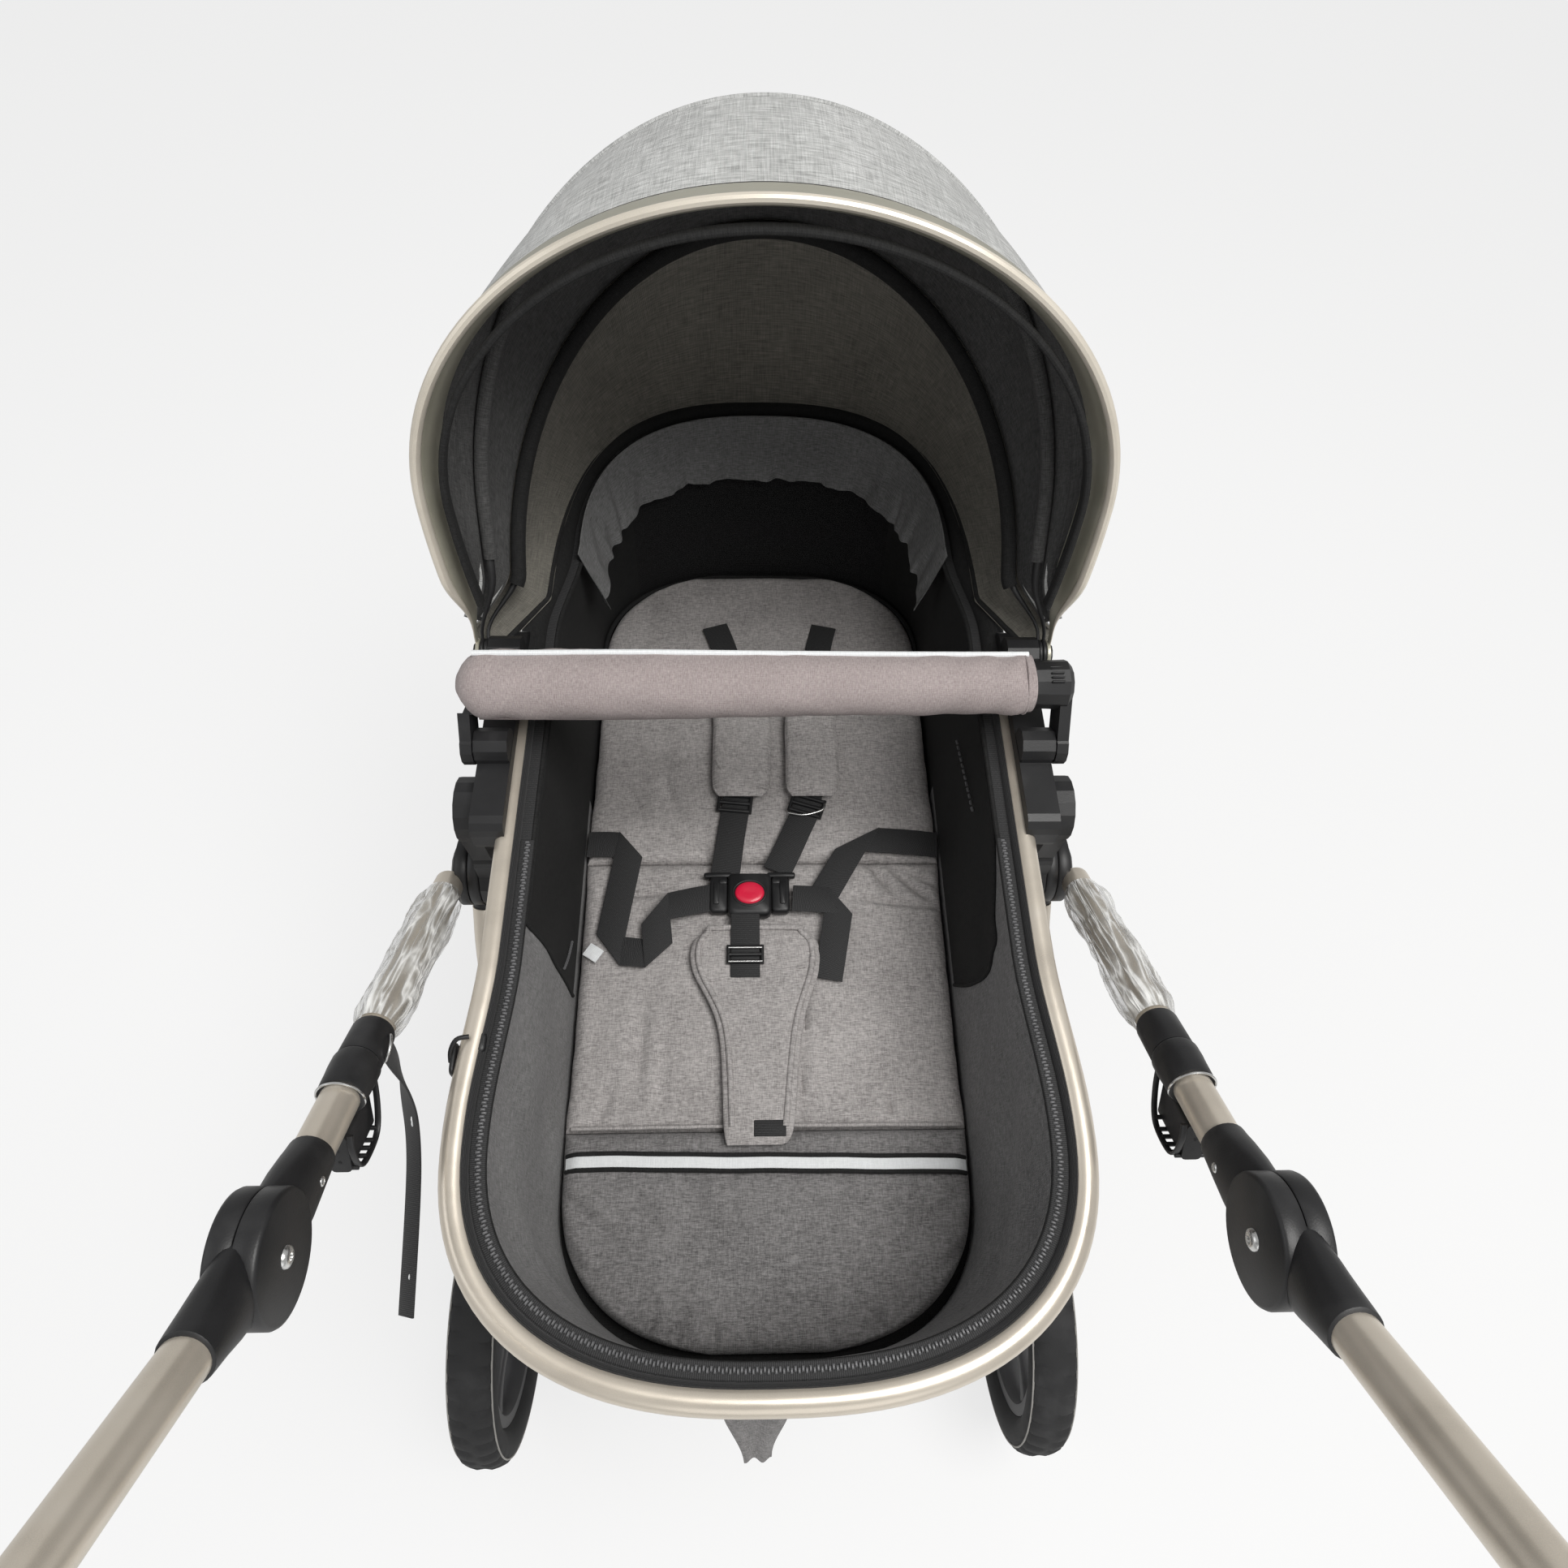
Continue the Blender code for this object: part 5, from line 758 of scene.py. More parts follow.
def cushion(name, y_low, y_high, floor_z, look, body, node, creases=(), edge_r=0.012, nx=120, ny=150,
            lines=()):
    """Soft pad: rounded edges that pull in a little between its corners, dents and slow waves."""
    mid_z = (floor_z + CUSHION_TOP) / 2 - 0.002

    def sheet(top):
        rows = []
        for j in range(ny + 1):
            v = 0.5 - 0.5 * cos(pi * j / ny)
            y = y_low + (y_high - y_low) * v
            full = min(CUSHION_HALF, floor_half(y + copysign(CORNER_ROOM, y)) - FLOOR_ROOM)
            pulled = full - 0.0016 * sin(pi * v) - 0.0008 * ripple(0.0, y, 0.0, 45.0, 4.0)
            highlight_line = []
            for i in range(nx + 1):
                u = sin(0.5 * pi * (2 * i / nx - 1))
                x = u * pulled
                near = min((1.0 - abs(u)) * pulled, y - y_low, y_high - y)
                e = min(max(near / edge_r, 0.0), 1.0)
                swell = sqrt(max(1.0 - (1.0 - e) ** 2, 0.0))
                if top:
                    z = mid_z + (cushion_top(x) - mid_z) * swell
                    slow, fine = ripple(x, y, 0.0, 13.0, 1.0), ripple(x * 1.6, y * 0.7, 0.0, 34.0, 2.0)
                    z += swell * (0.003 * slow + 0.0014 * fine - 0.0024)
                    z -= swell * 2.3 * sum(crease(x, y, *c) for c in creases)
                    z -= swell * sum(0.0022 * exp(-((y - c) / 0.0022) ** 2) for c in lines)
                else:
                    z = mid_z - (mid_z - floor_z) * swell
                highlight_line.append((x, y, z))
            rows.append(highlight_line)
        return rows
    upper, lower = grid(sheet(True)), grid(sheet(False))
    made = make(name, merge(upper, lower), look, body, [node], sharp=80.0)
    face_out(made.data, SEAM_JOIN)


def cushions():
    floor = TUB_FLOOR_Z + TUB_WALL + 0.0004
    board_top = floor + 0.004
    cushion("mattress_back", FOLD_LINE_Y + 0.0004, BACK_END_Y - CORNER_ROOM, board_top + 0.0004, MELANGE,
            "backrest", "back_cushion", MATTRESS_CREASES)
    cushion("mattress_seat", SEAT_END_Y, FOLD_LINE_Y - 0.0004, floor, MELANGE, "seat", "seat_cushion",
            MATTRESS_CREASES)
    cushion("foot_cushion", FOOT_END_Y + CORNER_ROOM, SEAT_END_Y - 0.0008, floor, FOOT_CLOTH, "seat",
            "foot_pad", FOOT_CREASES, 0.011, 120, 110, (SEAT_END_Y - 0.02, SEAT_END_Y - 0.038))
    edge = []
    for t in np.linspace(-1.0, 1.0, 60):
        angle = 0.5 * pi * t
        y = BACK_END_Y - CORNER_ROOM - HEAD_CORNER * (1.0 - abs(cos(angle)) ** (2 / RIM_POWER))
        half = min(CUSHION_HALF, floor_half(y + CORNER_ROOM) - FLOOR_ROOM)
        edge.append((copysign(half, t) if abs(t) > 0.02 else 0.0, y, CUSHION_TOP - 0.008))
    left = [p for p in edge if p[0] < -0.049]
    right = [p for p in edge if p[0] > 0.049]
    top = [(x, BACK_END_Y - CORNER_ROOM - 0.0006, CUSHION_TOP - 0.008)
           for x in np.linspace(-0.045, 0.045, 8)]
    path = spline(left[::3] + top + right[::3], 120)
    make("mattress_piping", tube(path, ring(0.0024, 10)), PIPING, "backrest")
    strip = []
    y_left, y_right = SEAT_END_Y - 0.026, SEAT_END_Y - 0.032
    for x in np.linspace(-CUSHION_HALF + 0.004, CUSHION_HALF - 0.004, 70):
        t = (x + CUSHION_HALF) / (2 * CUSHION_HALF)
        y = y_left + (y_right - y_left) * t + 0.0012 * ripple(x, 0.0, 0.0, 20.0, 8.0)
        drop = 0.01 * max(0.0, abs(x) / CUSHION_HALF - 0.93) / 0.07
        strip.append((x, y, cushion_top(x) + CLOTH_GAP - drop))
    make("reflective_strip", tube(strip, box_section(0.009, 0.0016, 0.0006)), REFLECTIVE, "seat")
    edges = [tube([(x, y + off, z) for x, y, z in strip], ring(0.0019, 8)) for off in (0.0062, -0.0062)]
    make("reflective_edges", merge(*edges), PIPING, "seat")
    seam = [(x, SEAT_END_Y + 0.0012 + 0.0006 * ripple(x, 0.0, 0.0, 30.0, 3.0), cushion_top(x) - 0.0036)
            for x in np.linspace(-CUSHION_HALF + 0.006, CUSHION_HALF - 0.006, 60)]
    make("mattress_hem", tube(seam, ring(0.0016, 8)), MELANGE_UV, "seat")


# Harness
def ribbon_shape(points, width, thick=0.0018, count=60):
    base = [(x, y, cushion_top(x) + CLOTH_GAP + thick / 2 + h) for x, y, h in points]
    return tube(spline(base, count), box_section(width, thick, thick * 0.45, 2))


def folded_strap(points, width, thick=0.0018, steps=14):
    """Flat webbing with a pressed fold at each inner point: each run ends on the fold's line."""
    flat = [Vector((x, y)) for x, y, _ in points]
    ways = [(b - a).normalized() for a, b in zip(flat, flat[1:])]
    shapes = []
    for n, way in enumerate(ways):
        normal = Vector((-way.y, way.x))
        ends = []
        for k in (n, n + 1):
            if 0 < k < len(flat) - 1:
                fold = (ways[k - 1] + ways[k]).normalized()
                reach = width / 2 / fold.dot(normal)
                ends.append((flat[k] + fold * reach, flat[k] - fold * reach))
            else:
                ends.append((flat[k] + normal * width / 2, flat[k] - normal * width / 2))
        rows = []
        for s in shares(steps):
            left, right = ends[0][0].lerp(ends[1][0], s), ends[0][1].lerp(ends[1][1], s)
            height = points[n][2] + (points[n + 1][2] - points[n][2]) * s + 0.001 * (n % 2) + 0.0004
            height += 0.0008 * sin(pi * s)
            row = []
            for u, v in ((0.0, 0.0), (0.0, 0.7), (0.06, 1.0), (0.5, 1.0), (0.94, 1.0), (1.0, 0.7),
                         (1.0, 0.0), (0.5, 0.0)):
                spot = left.lerp(right, u)
                row.append((spot.x, spot.y, cushion_top(spot.x) + CLOTH_GAP + height + thick * v))
            rows.append(row)
        shapes.append(skin(rows))
    return merge(*shapes)


def pad_shape(rows, thick, lift, count=44):
    """Pillow from rows of (x centre, y, half width), rounded at its ends."""
    centre = spline([(x, y, half) for x, y, half in rows], count)
    rings = []
    for n, (x, y, half) in enumerate(centre):
        t = n / (count - 1)
        end = min(t, 1 - t) * count / 6.0
        full = sqrt(max(1 - max(1 - end, 0.0) ** 2, 0.05))
        low = cushion_top(x) + CLOTH_GAP + lift
        highlight_line = []
        for k in range(28):
            a = 2 * pi * k / 28
            u = copysign(abs(cos(a)) ** 0.55, cos(a))
            v = copysign(abs(sin(a)) ** 0.75, sin(a))
            soft = 0.0006 * ripple(x + u * half, y, v, 70.0, 6.0)
            highlight_line.append((x + u * half * (0.9 + 0.1 * full), y,
                         low + thick * (0.5 + 0.5 * v * full) + soft * (v > 0)))
        rings.append(highlight_line)
    return skin(rings)


def pad_border(rows, inset, lift, count):
    """Line round a pad, a little inside its edge."""
    border = []
    for sign in (-1, 1):
        side = [(x + sign * (half - inset), y, cushion_top(x) + lift) for x, y, half in spline(rows, count)]
        border += side[::-sign]
    return border


def ladder(x, y, z, angle, width=0.031, length=0.017, thick=0.0046):
    """Webbing adjuster: a frame with two slots, laid flat and turned about Z."""
    bars = []
    c, s = cos(angle), sin(angle)

    def place(u, v):
        return (x + u * c - v * s, y + u * s + v * c, z)
    for v in (-length / 2, 0.0, length / 2):
        bars.append(tube([place(-width / 2, v), place(width / 2, v)],
                         box_section(0.0034, thick, 0.0012, 2)))
    for u in (-width / 2, width / 2):
        bars.append(tube([place(u, -length / 2 - 0.0015), place(u, length / 2 + 0.0015)],
                         box_section(0.0032, thick, 0.0012, 2)))
    return merge(*bars)


def harness():
    left_pad = [(-0.022, 0.101, 0.0215), (-0.0215, 0.112, 0.027), (-0.021, 0.15, 0.028),
                (-0.021, 0.19, 0.028), (-0.028, 0.237, 0.0265), (-0.031, 0.247, 0.022)]
    right_pad = [(0.048, 0.101, 0.02), (0.0485, 0.112, 0.025), (0.049, 0.15, 0.0255), (0.049, 0.19, 0.025),
                 (0.056, 0.237, 0.025), (0.058, 0.247, 0.021)]
    for (word, _), rows in zip(SIDES, (left_pad, right_pad)):
        made = make(f"chest_pad_{word}", pad_shape(rows, 0.0125, 0.003), MELANGE, "backrest",
                    [f"shoulder_pad_{word}"])
        border = spline(pad_border(rows, 0.0008, 0.0098, 24), 90)
        make(f"chest_pad_edge_{word}", tube(border, ring(0.0017, 8), closed=True), MELANGE, "backrest")
    flap = [(-0.046, 0.139, 0.0), (-0.04, 0.126, 0.0), (-0.024, 0.113, 0.0), (0.004, 0.106, 0.0)]
    make("chest_pad_fold",
         tube([(x, y, cushion_top(x) + 0.0145) for x, y, _ in spline(flap, 30)], ring(0.0016, 8)), MELANGE,
         "backrest")
    strap_low = BUCKLE_Y + BUCKLE_L / 2
    routes = {
        "left": [(-0.05, 0.318, -0.0008), (-0.036, 0.27, 0.0004), (-0.022, 0.18, 0.0004),
                 (-0.026, 0.1, 0.0018), (-0.031, 0.06, 0.0024),
                 (-0.036, strap_low + 0.002, 0.005)],
        "right": [(0.068, 0.318, -0.0008), (0.058, 0.27, 0.0004), (0.049, 0.18, 0.0004),
                  (0.044, 0.1, 0.0018), (0.03, 0.06, 0.0024),
                  (0.012, strap_low + 0.004, 0.005)],
    }
    for word, points in routes.items():
        lower = ("seat", "backrest", (0.0, 0.026, CUSHION_TOP), (0.0, 0.06, CUSHION_TOP))
        shape = ribbon_shape(points, 0.027, count=80)
        make(f"chest_strap_{word}", shape, BINDING, lower, [f"shoulder_strap_{word}"])
    make("adjuster_left", ladder(-0.0275, 0.094, CUSHION_TOP + 0.0052, -0.1), BLACK, "backrest")
    make("adjuster_right", ladder(0.0425, 0.091, CUSHION_TOP + 0.0052, -0.32), BLACK, "backrest")
    edge = tube(spline([(0.024, 0.082, CUSHION_TOP + 0.0074), (0.04, 0.0795, CUSHION_TOP + 0.0078),
                        (0.057, 0.085, CUSHION_TOP + 0.0074), (0.06, 0.092, CUSHION_TOP + 0.0072)], 16),
                        ring(0.0011, 8))
    make("adjuster_pin", edge, STEEL, "backrest")
    across = ("seat", "backrest", (0.0, 0.028, CUSHION_TOP), (0.0, 0.047, CUSHION_TOP))
    lap_left = [(-0.167, 0.053, 0.0002), (-0.126, 0.051, 0.0008), (-0.141, -0.055, 0.001),
                (-0.095, -0.062, 0.003), (-0.1, -0.018, 0.0056), (-0.048, -0.008, 0.0066)]
    lap_right = [(0.167, 0.051, 0.0002), (0.09, 0.056, 0.001), (0.05, -0.014, 0.005)]
    make("waist_strap_left", folded_strap(lap_left, 0.0265), BINDING, across, ["lap_strap_left"])
    make("waist_strap_right", folded_strap(lap_right, 0.0265), BINDING, across, ["lap_strap_right"])
    tail = [(0.026, -0.009, 0.0072), (0.07, -0.012, 0.0062), (0.056, -0.086, 0.001)]
    make("waist_strap_tail", folded_strap(tail, 0.0255), BINDING, "seat")
    label = folded_strap([(-0.16, -0.054, 0.0016), (-0.148, -0.062, 0.0016)], 0.013)
    make("blank_label", label, REFLECTIVE, "seat")
    rows = [(-0.01, -0.228, 0.0245), (-0.0065, -0.214, 0.029), (-0.0045, -0.13, 0.037),
            (-0.008, -0.078, 0.056), (-0.0085, -0.052, 0.0565), (-0.009, -0.038, 0.044)]
    made = make("crotch_cushion", pad_shape(rows, 0.0084, 0.0002, 60), MELANGE, "seat", ["crotch_pad"])
    border = spline(pad_border(rows[1:], 0.007, 0.0085, 40), 140)
    make("crotch_piping", tube(border, ring(0.0026, 10)), MELANGE, "seat")
    seam = [(x, -0.081 + 0.006 * (x / 0.04), cushion_top(x) + 0.0088)
            for x in np.linspace(-0.048, 0.036, 24)]
    make("crotch_seam", tube(seam, ring(0.0015, 8)), MELANGE, "seat")
    make("crotch_tab", pill((0.0026, -0.2155, CUSHION_TOP + 0.0085), (0.0265, 0.013, 0.0024), 0.001),
         BINDING, "seat")
    strap_top = BUCKLE_Y - BUCKLE_L / 2
    tongue = [(BUCKLE_X - 0.004, strap_top + 0.001, 0.0098), (BUCKLE_X - 0.004, -0.05, 0.0098),
              (BUCKLE_X - 0.004, -0.086, 0.0092)]
    make("crotch_webbing", ribbon_shape(tongue, 0.026, count=24), BINDING, "seat", ["crotch_strap"])
    make("crotch_adjuster", ladder(BUCKLE_X - 0.004, -0.0655, CUSHION_TOP + 0.0125, 0.0, 0.03, 0.014),
         BLACK, "seat")
    pins = [tube([(BUCKLE_X - 0.019, y, CUSHION_TOP + 0.0142), (BUCKLE_X + 0.011, y, CUSHION_TOP + 0.0142)],
                 ring(0.001, 8)) for y in (-0.0595, -0.0725)]
    make("crotch_pins", merge(*pins), STEEL, "seat")
    buckle()


def buckle():
    low = cushion_top(BUCKLE_X) + 0.0004
    z = low + BUCKLE_T / 2
    core = pill((BUCKLE_X, BUCKLE_Y, z), (0.04, BUCKLE_L, BUCKLE_T), 0.006)
    parts = []
    for side in (-1.0, 1.0):
        x = BUCKLE_X + side * 0.0285
        parts.append(pill((x, BUCKLE_Y + 0.001, z - 0.0012), (0.0165, 0.036, BUCKLE_T * 0.72), 0.004))
        parts.append(pill((x + side * 0.002, BUCKLE_Y + 0.001, z + 0.004), (0.0055, 0.022, 0.0028), 0.0015))
        parts.append(pill((x - side * 0.004, BUCKLE_Y + 0.013, z + 0.0036), (0.0075, 0.0055, 0.003),
                          0.0015))
        parts.append(pill((x + side * 0.001, BUCKLE_Y + 0.0215, z - 0.002), (0.026, 0.005, 0.0062), 0.002))
    rim = []
    for a in turns(48):
        rim.append((BUCKLE_X + 0.0152 * cos(a), BUCKLE_Y + 0.0126 * sin(a), low + BUCKLE_T - 0.0002))
    parts.append(tube(rim, ring(0.001, 8), closed=True))
    make("buckle_body", merge(core, *parts), BLACK, "seat", ["buckle"])
    rows = []
    for grow, lift in ((0.0, 0.009), (0.0, BUCKLE_T + 0.0002), (-0.0004, BUCKLE_T + 0.001),
                       (-0.0014, BUCKLE_T + 0.0017), (-0.0045, BUCKLE_T + 0.0021),
                       (-0.0085, BUCKLE_T + 0.002), (-0.0108, BUCKLE_T + 0.0019)):
        rows.append([(BUCKLE_X + (0.0135 + grow) * u, BUCKLE_Y + (0.011 + grow) * v, low + lift)
                     for u, v in ring(1.0, 48)])
    make("release_button", skin(rows), RED, "red_press", ["buckle_button"])


# Bumper bar
def plump(t):
    """How full the bumper's padding is along the bar, fuller at the left."""
    return 1.16 - 0.15 * ease(t, 0.25, 1.0) + 0.03 * exp(-((t - 0.3) / 0.15) ** 2)


def on_bar(x, r, a):
    """Place on the bar's slightly flat section."""
    return (x, BUMPER_Y + r * cos(a), BUMPER_Z + r * BUMPER_SQUASH * sin(a))


def bumper():
    rows = []
    stations = np.concatenate([np.linspace(0.0, 0.1, 12), np.linspace(0.11, 0.93, 90),
                               np.linspace(0.94, 1.0, 8)])
    for t in stations:
        x = BUMPER_LEFT + (BUMPER_RIGHT - BUMPER_LEFT) * t
        from_left = (x - BUMPER_LEFT) / 0.024
        grow = sqrt(max(1 - max(1 - from_left, 0.0) ** 2.4, 0.1)) * (1.0 - 0.04 * ease(t, 0.97, 1.0))
        fat = plump(t)
        highlight_line = []
        for a in turns(48):
            tug = sin(a)
            wrinkle = 0.0012 * ripple(x + 0.03 * tug, 0.04 * cos(a), 0.04 * tug, 24.0, 3.0)
            ends = exp(-(min(t, 1 - t) / 0.12) ** 2)
            fine = 0.0009 * (0.25 + ends) * sin(190.0 * x + 3.0 * a + 4.0 * ripple(x, 0.0, 0.0, 20.0, 5.0))
            r = BUMPER_R * fat * grow + (wrinkle + fine) * grow - 0.0004
            highlight_line.append(on_bar(x, r, a))
        rows.append(highlight_line)
    made = make("bumper_cover", skin(rows), BUMPER_CLOTH, "bumper", ["bumper_bar"], sharp=80.0)
    top, low = [], []
    for t in shares(90):
        x = -0.222 + 0.424 * t
        fat = plump((x - BUMPER_LEFT) / (BUMPER_RIGHT - BUMPER_LEFT))
        a = radians(66.0 - 20.0 * t + 6.0 * sin(3.0 * t))
        r = BUMPER_R * fat * 1.01
        top.append(on_bar(x, r, a))
        a = radians(-128.0 + 14.0 * sin(2.6 * t))
        r = BUMPER_R * fat * (1.0 + 0.06 * sin(pi * min(t * 1.25, 1.0)))
        low.append(on_bar(x, r, a))
    make("bumper_piping", tube(top, ring(0.0024, 10)), REFLECTIVE, "bumper")
    make("bumper_hem", tube(low, ring(0.0022, 10, 0.7)), BUMPER_CLOTH, "bumper")
    ends = [(BUMPER_RIGHT - 0.006, BUMPER_Y + 0.0229 * cos(a), BUMPER_Z + 0.0215 * sin(a))
            for a in turns(40)]
    make("bumper_end_seam", tube(ends, ring(0.0012, 8), (1.0, 0.0, 0.0), closed=True), BUMPER_CLOTH,
         "bumper")
    slots = []
    for k in range(5):
        slots.append(pill((0.2175 + 0.004, BUMPER_Y - 0.004 + 0.0034 * k - 0.006,
                           BUMPER_Z + 0.0185 - 0.0008 * abs(k - 2)), (0.01, 0.0014, 0.003), 0.0006))
    make("bumper_knob_ribs", merge(*slots), BLACK, "bumper")
    heads = [screw((side * 0.2364, 0.034, 0.7), 0.005, side) for _, side in SIDES]
    make("bumper_screws", merge(*heads), STEEL, "seat")


# Hood
EDGE_START = 0.022
# Share of the way up from the rim to the rear hoop, for the second place given with the rear panel's two
# bodies
REAR_PANEL_SHARE = 0.68


def eye_x(shape):
    return EYE_OUT_X + shape["layer"] * EYE_STEP + EYE_T / 2


def hoop_point(shape, share, grow=0.0):
    side = -1.0 if share < 0.5 else 1.0
    t = 1.0 - abs(2.0 * share - 1.0)
    low_share = 0.36
    if t < low_share:
        reach = HOOP_LEG + (shape["widest"] - HOOP_LEG) * t / low_share
        half = shape["base"] + (shape["half"] - shape["base"]) * sin(0.5 * pi * reach / shape["widest"])
        half = eye_x(shape) + (half - eye_x(shape)) * ease(reach, HOOP_LEG * 0.8, 0.065)
    else:
        angle = 0.5 * pi * (t - low_share) / (1 - low_share)
        half = shape["half"] * cos(angle)
        reach = shape["widest"] + (shape["top"] - shape["widest"]) * sin(angle)
    return side * (half + grow * cos(0.5 * pi * t)), reach + grow * sin(0.5 * pi * t)


def hood_place(x, reach, angle_deg):
    a = radians(angle_deg)
    return Vector((x, HOOD_Y + reach * cos(a), HOOD_Z + reach * sin(a)))


def hoop_path(shape, start=0.0, end=1.0, steps=110, grow=0.0):
    flat = [hoop_point(shape, start + (end - start) * i / steps, grow) for i in range(steps + 1)]
    if start == 0.0:
        flat = [(-eye_x(shape), 0.006)] + flat + [(eye_x(shape), 0.006)]
    return flat, [hood_place(x, reach, shape["angle"]) for x, reach in flat]


def hoop_normal(shape):
    tilt = radians(shape["angle"])
    return (0.0, -sin(tilt), cos(tilt))


def hoop_shape(shape, section):
    flat, path = hoop_path(shape)
    thin = EYE_T * 0.92 / (2 * max(abs(u) for u, _ in section))
    scales = [thin + (1.0 - thin) * ease(reach, HOOP_LEG, 0.09) for _, reach in flat]
    shapes = [tube(path, section, hoop_normal(shape), scales=scales)]
    for side in (-1.0, 1.0):
        x = side * eye_x(shape)
        profile = [(-EYE_T / 2, 0.0056), (-EYE_T / 2, 0.0115), (-EYE_T / 2 + 0.0005, 0.012),
                   (EYE_T / 2 - 0.0005, 0.012), (EYE_T / 2, 0.0115), (EYE_T / 2, 0.0056),
                   (-EYE_T / 2, 0.0056)]
        shapes.append(turned(profile, (x, HOOD_Y, HOOD_Z), 32))
    return shapes


def hood_edge(shape, shift, cover):
    def highlight_line(share):
        share = EDGE_START + share * (1.0 - 2.0 * EDGE_START)
        x, reach = hoop_point(shape, share, cover)
        return hood_place(x, reach, shape["angle"] + degrees(shift / max(reach, 0.06)))
    return highlight_line


def skirt_line(share):
    """Lower edge of the hood's rear panel: along the rim's sides, then round the head end."""
    side_share = 0.12
    near = min(share, 1.0 - share)
    if near >= side_share:
        return head_line((share - side_share) / (1.0 - 2.0 * side_share))
    side = -1.0 if share < 0.5 else 1.0
    start = Vector((side * 0.2215, HOOD_Y + 0.006, HOOD_Z - 0.004))
    return start.lerp(head_line(0.0 if side < 0 else 1.0), near / side_share)


def head_line(share):
    angle = pi * (1 - share)
    c, s = cos(angle), sin(angle)
    power = 2.0 / RIM_POWER
    x = copysign(abs(c) ** power, c) * (RIM_HALF_HEAD + 0.004)
    y = RIM_HEAD_END - RIM_HEAD_ROUND + abs(s) ** power * (RIM_HEAD_ROUND + 0.004) - 0.065 * (1 - s) ** 2
    return Vector((x, y, RIM_Z + RIM_TUBE_R + 0.0014))


def canopy(name, low_edge, high_edge, bodies, bulge, node, inside, ribs=(), rows=22, steps=110,
           thick=0.003):
    """One curved sheet between two edges, with an outer cloth and an inner lining."""
    centre = Vector((0.0, HOOD_Y, RIM_Z))
    lines = []
    for j in range(rows + 1):
        v = j / rows
        outer, inner = [], []
        for i in range(steps + 1):
            s = i / steps
            middle = low_edge(s).lerp(high_edge(s), v)
            out = (middle - centre).normalized()
            belly = sin(pi * v)
            low_side = sin(pi * s)
            soft = 0.001 * ripple(s * 6.0, v * 0.5, 0.0, 2.2, 2.0) * belly
            tug = 0.0012 * sin(26.0 * s + 5.0 * v) * (1.0 - low_side) * belly
            outer.append(tuple(middle + out * (bulge * belly + soft)))
            ridge = sum(0.003 * exp(-((v - r) / 0.06) ** 2) for r in ribs)
            inner.append(tuple(middle + out * (bulge * belly + soft - thick - tug * 0.5 - ridge)))
        lines.append(outer + inner[::-1])
    count = 2 * (steps + 1)
    shape = grid(lines, False, True)
    _, faces, corners = shape
    for base in (0, rows * count):
        for i in range(steps):
            faces.append((base + i, base + i + 1, base + count - 2 - i, base + count - 1 - i))
            corners += [(0.0, 0.0)] * 4
    zones = []
    for face in faces:
        zones.append(0 if all(k % count <= steps for k in face) else 1)
    made = make(name, shape, [CANOPY_CLOTH, inside], bodies, [node], zones, 70.0)


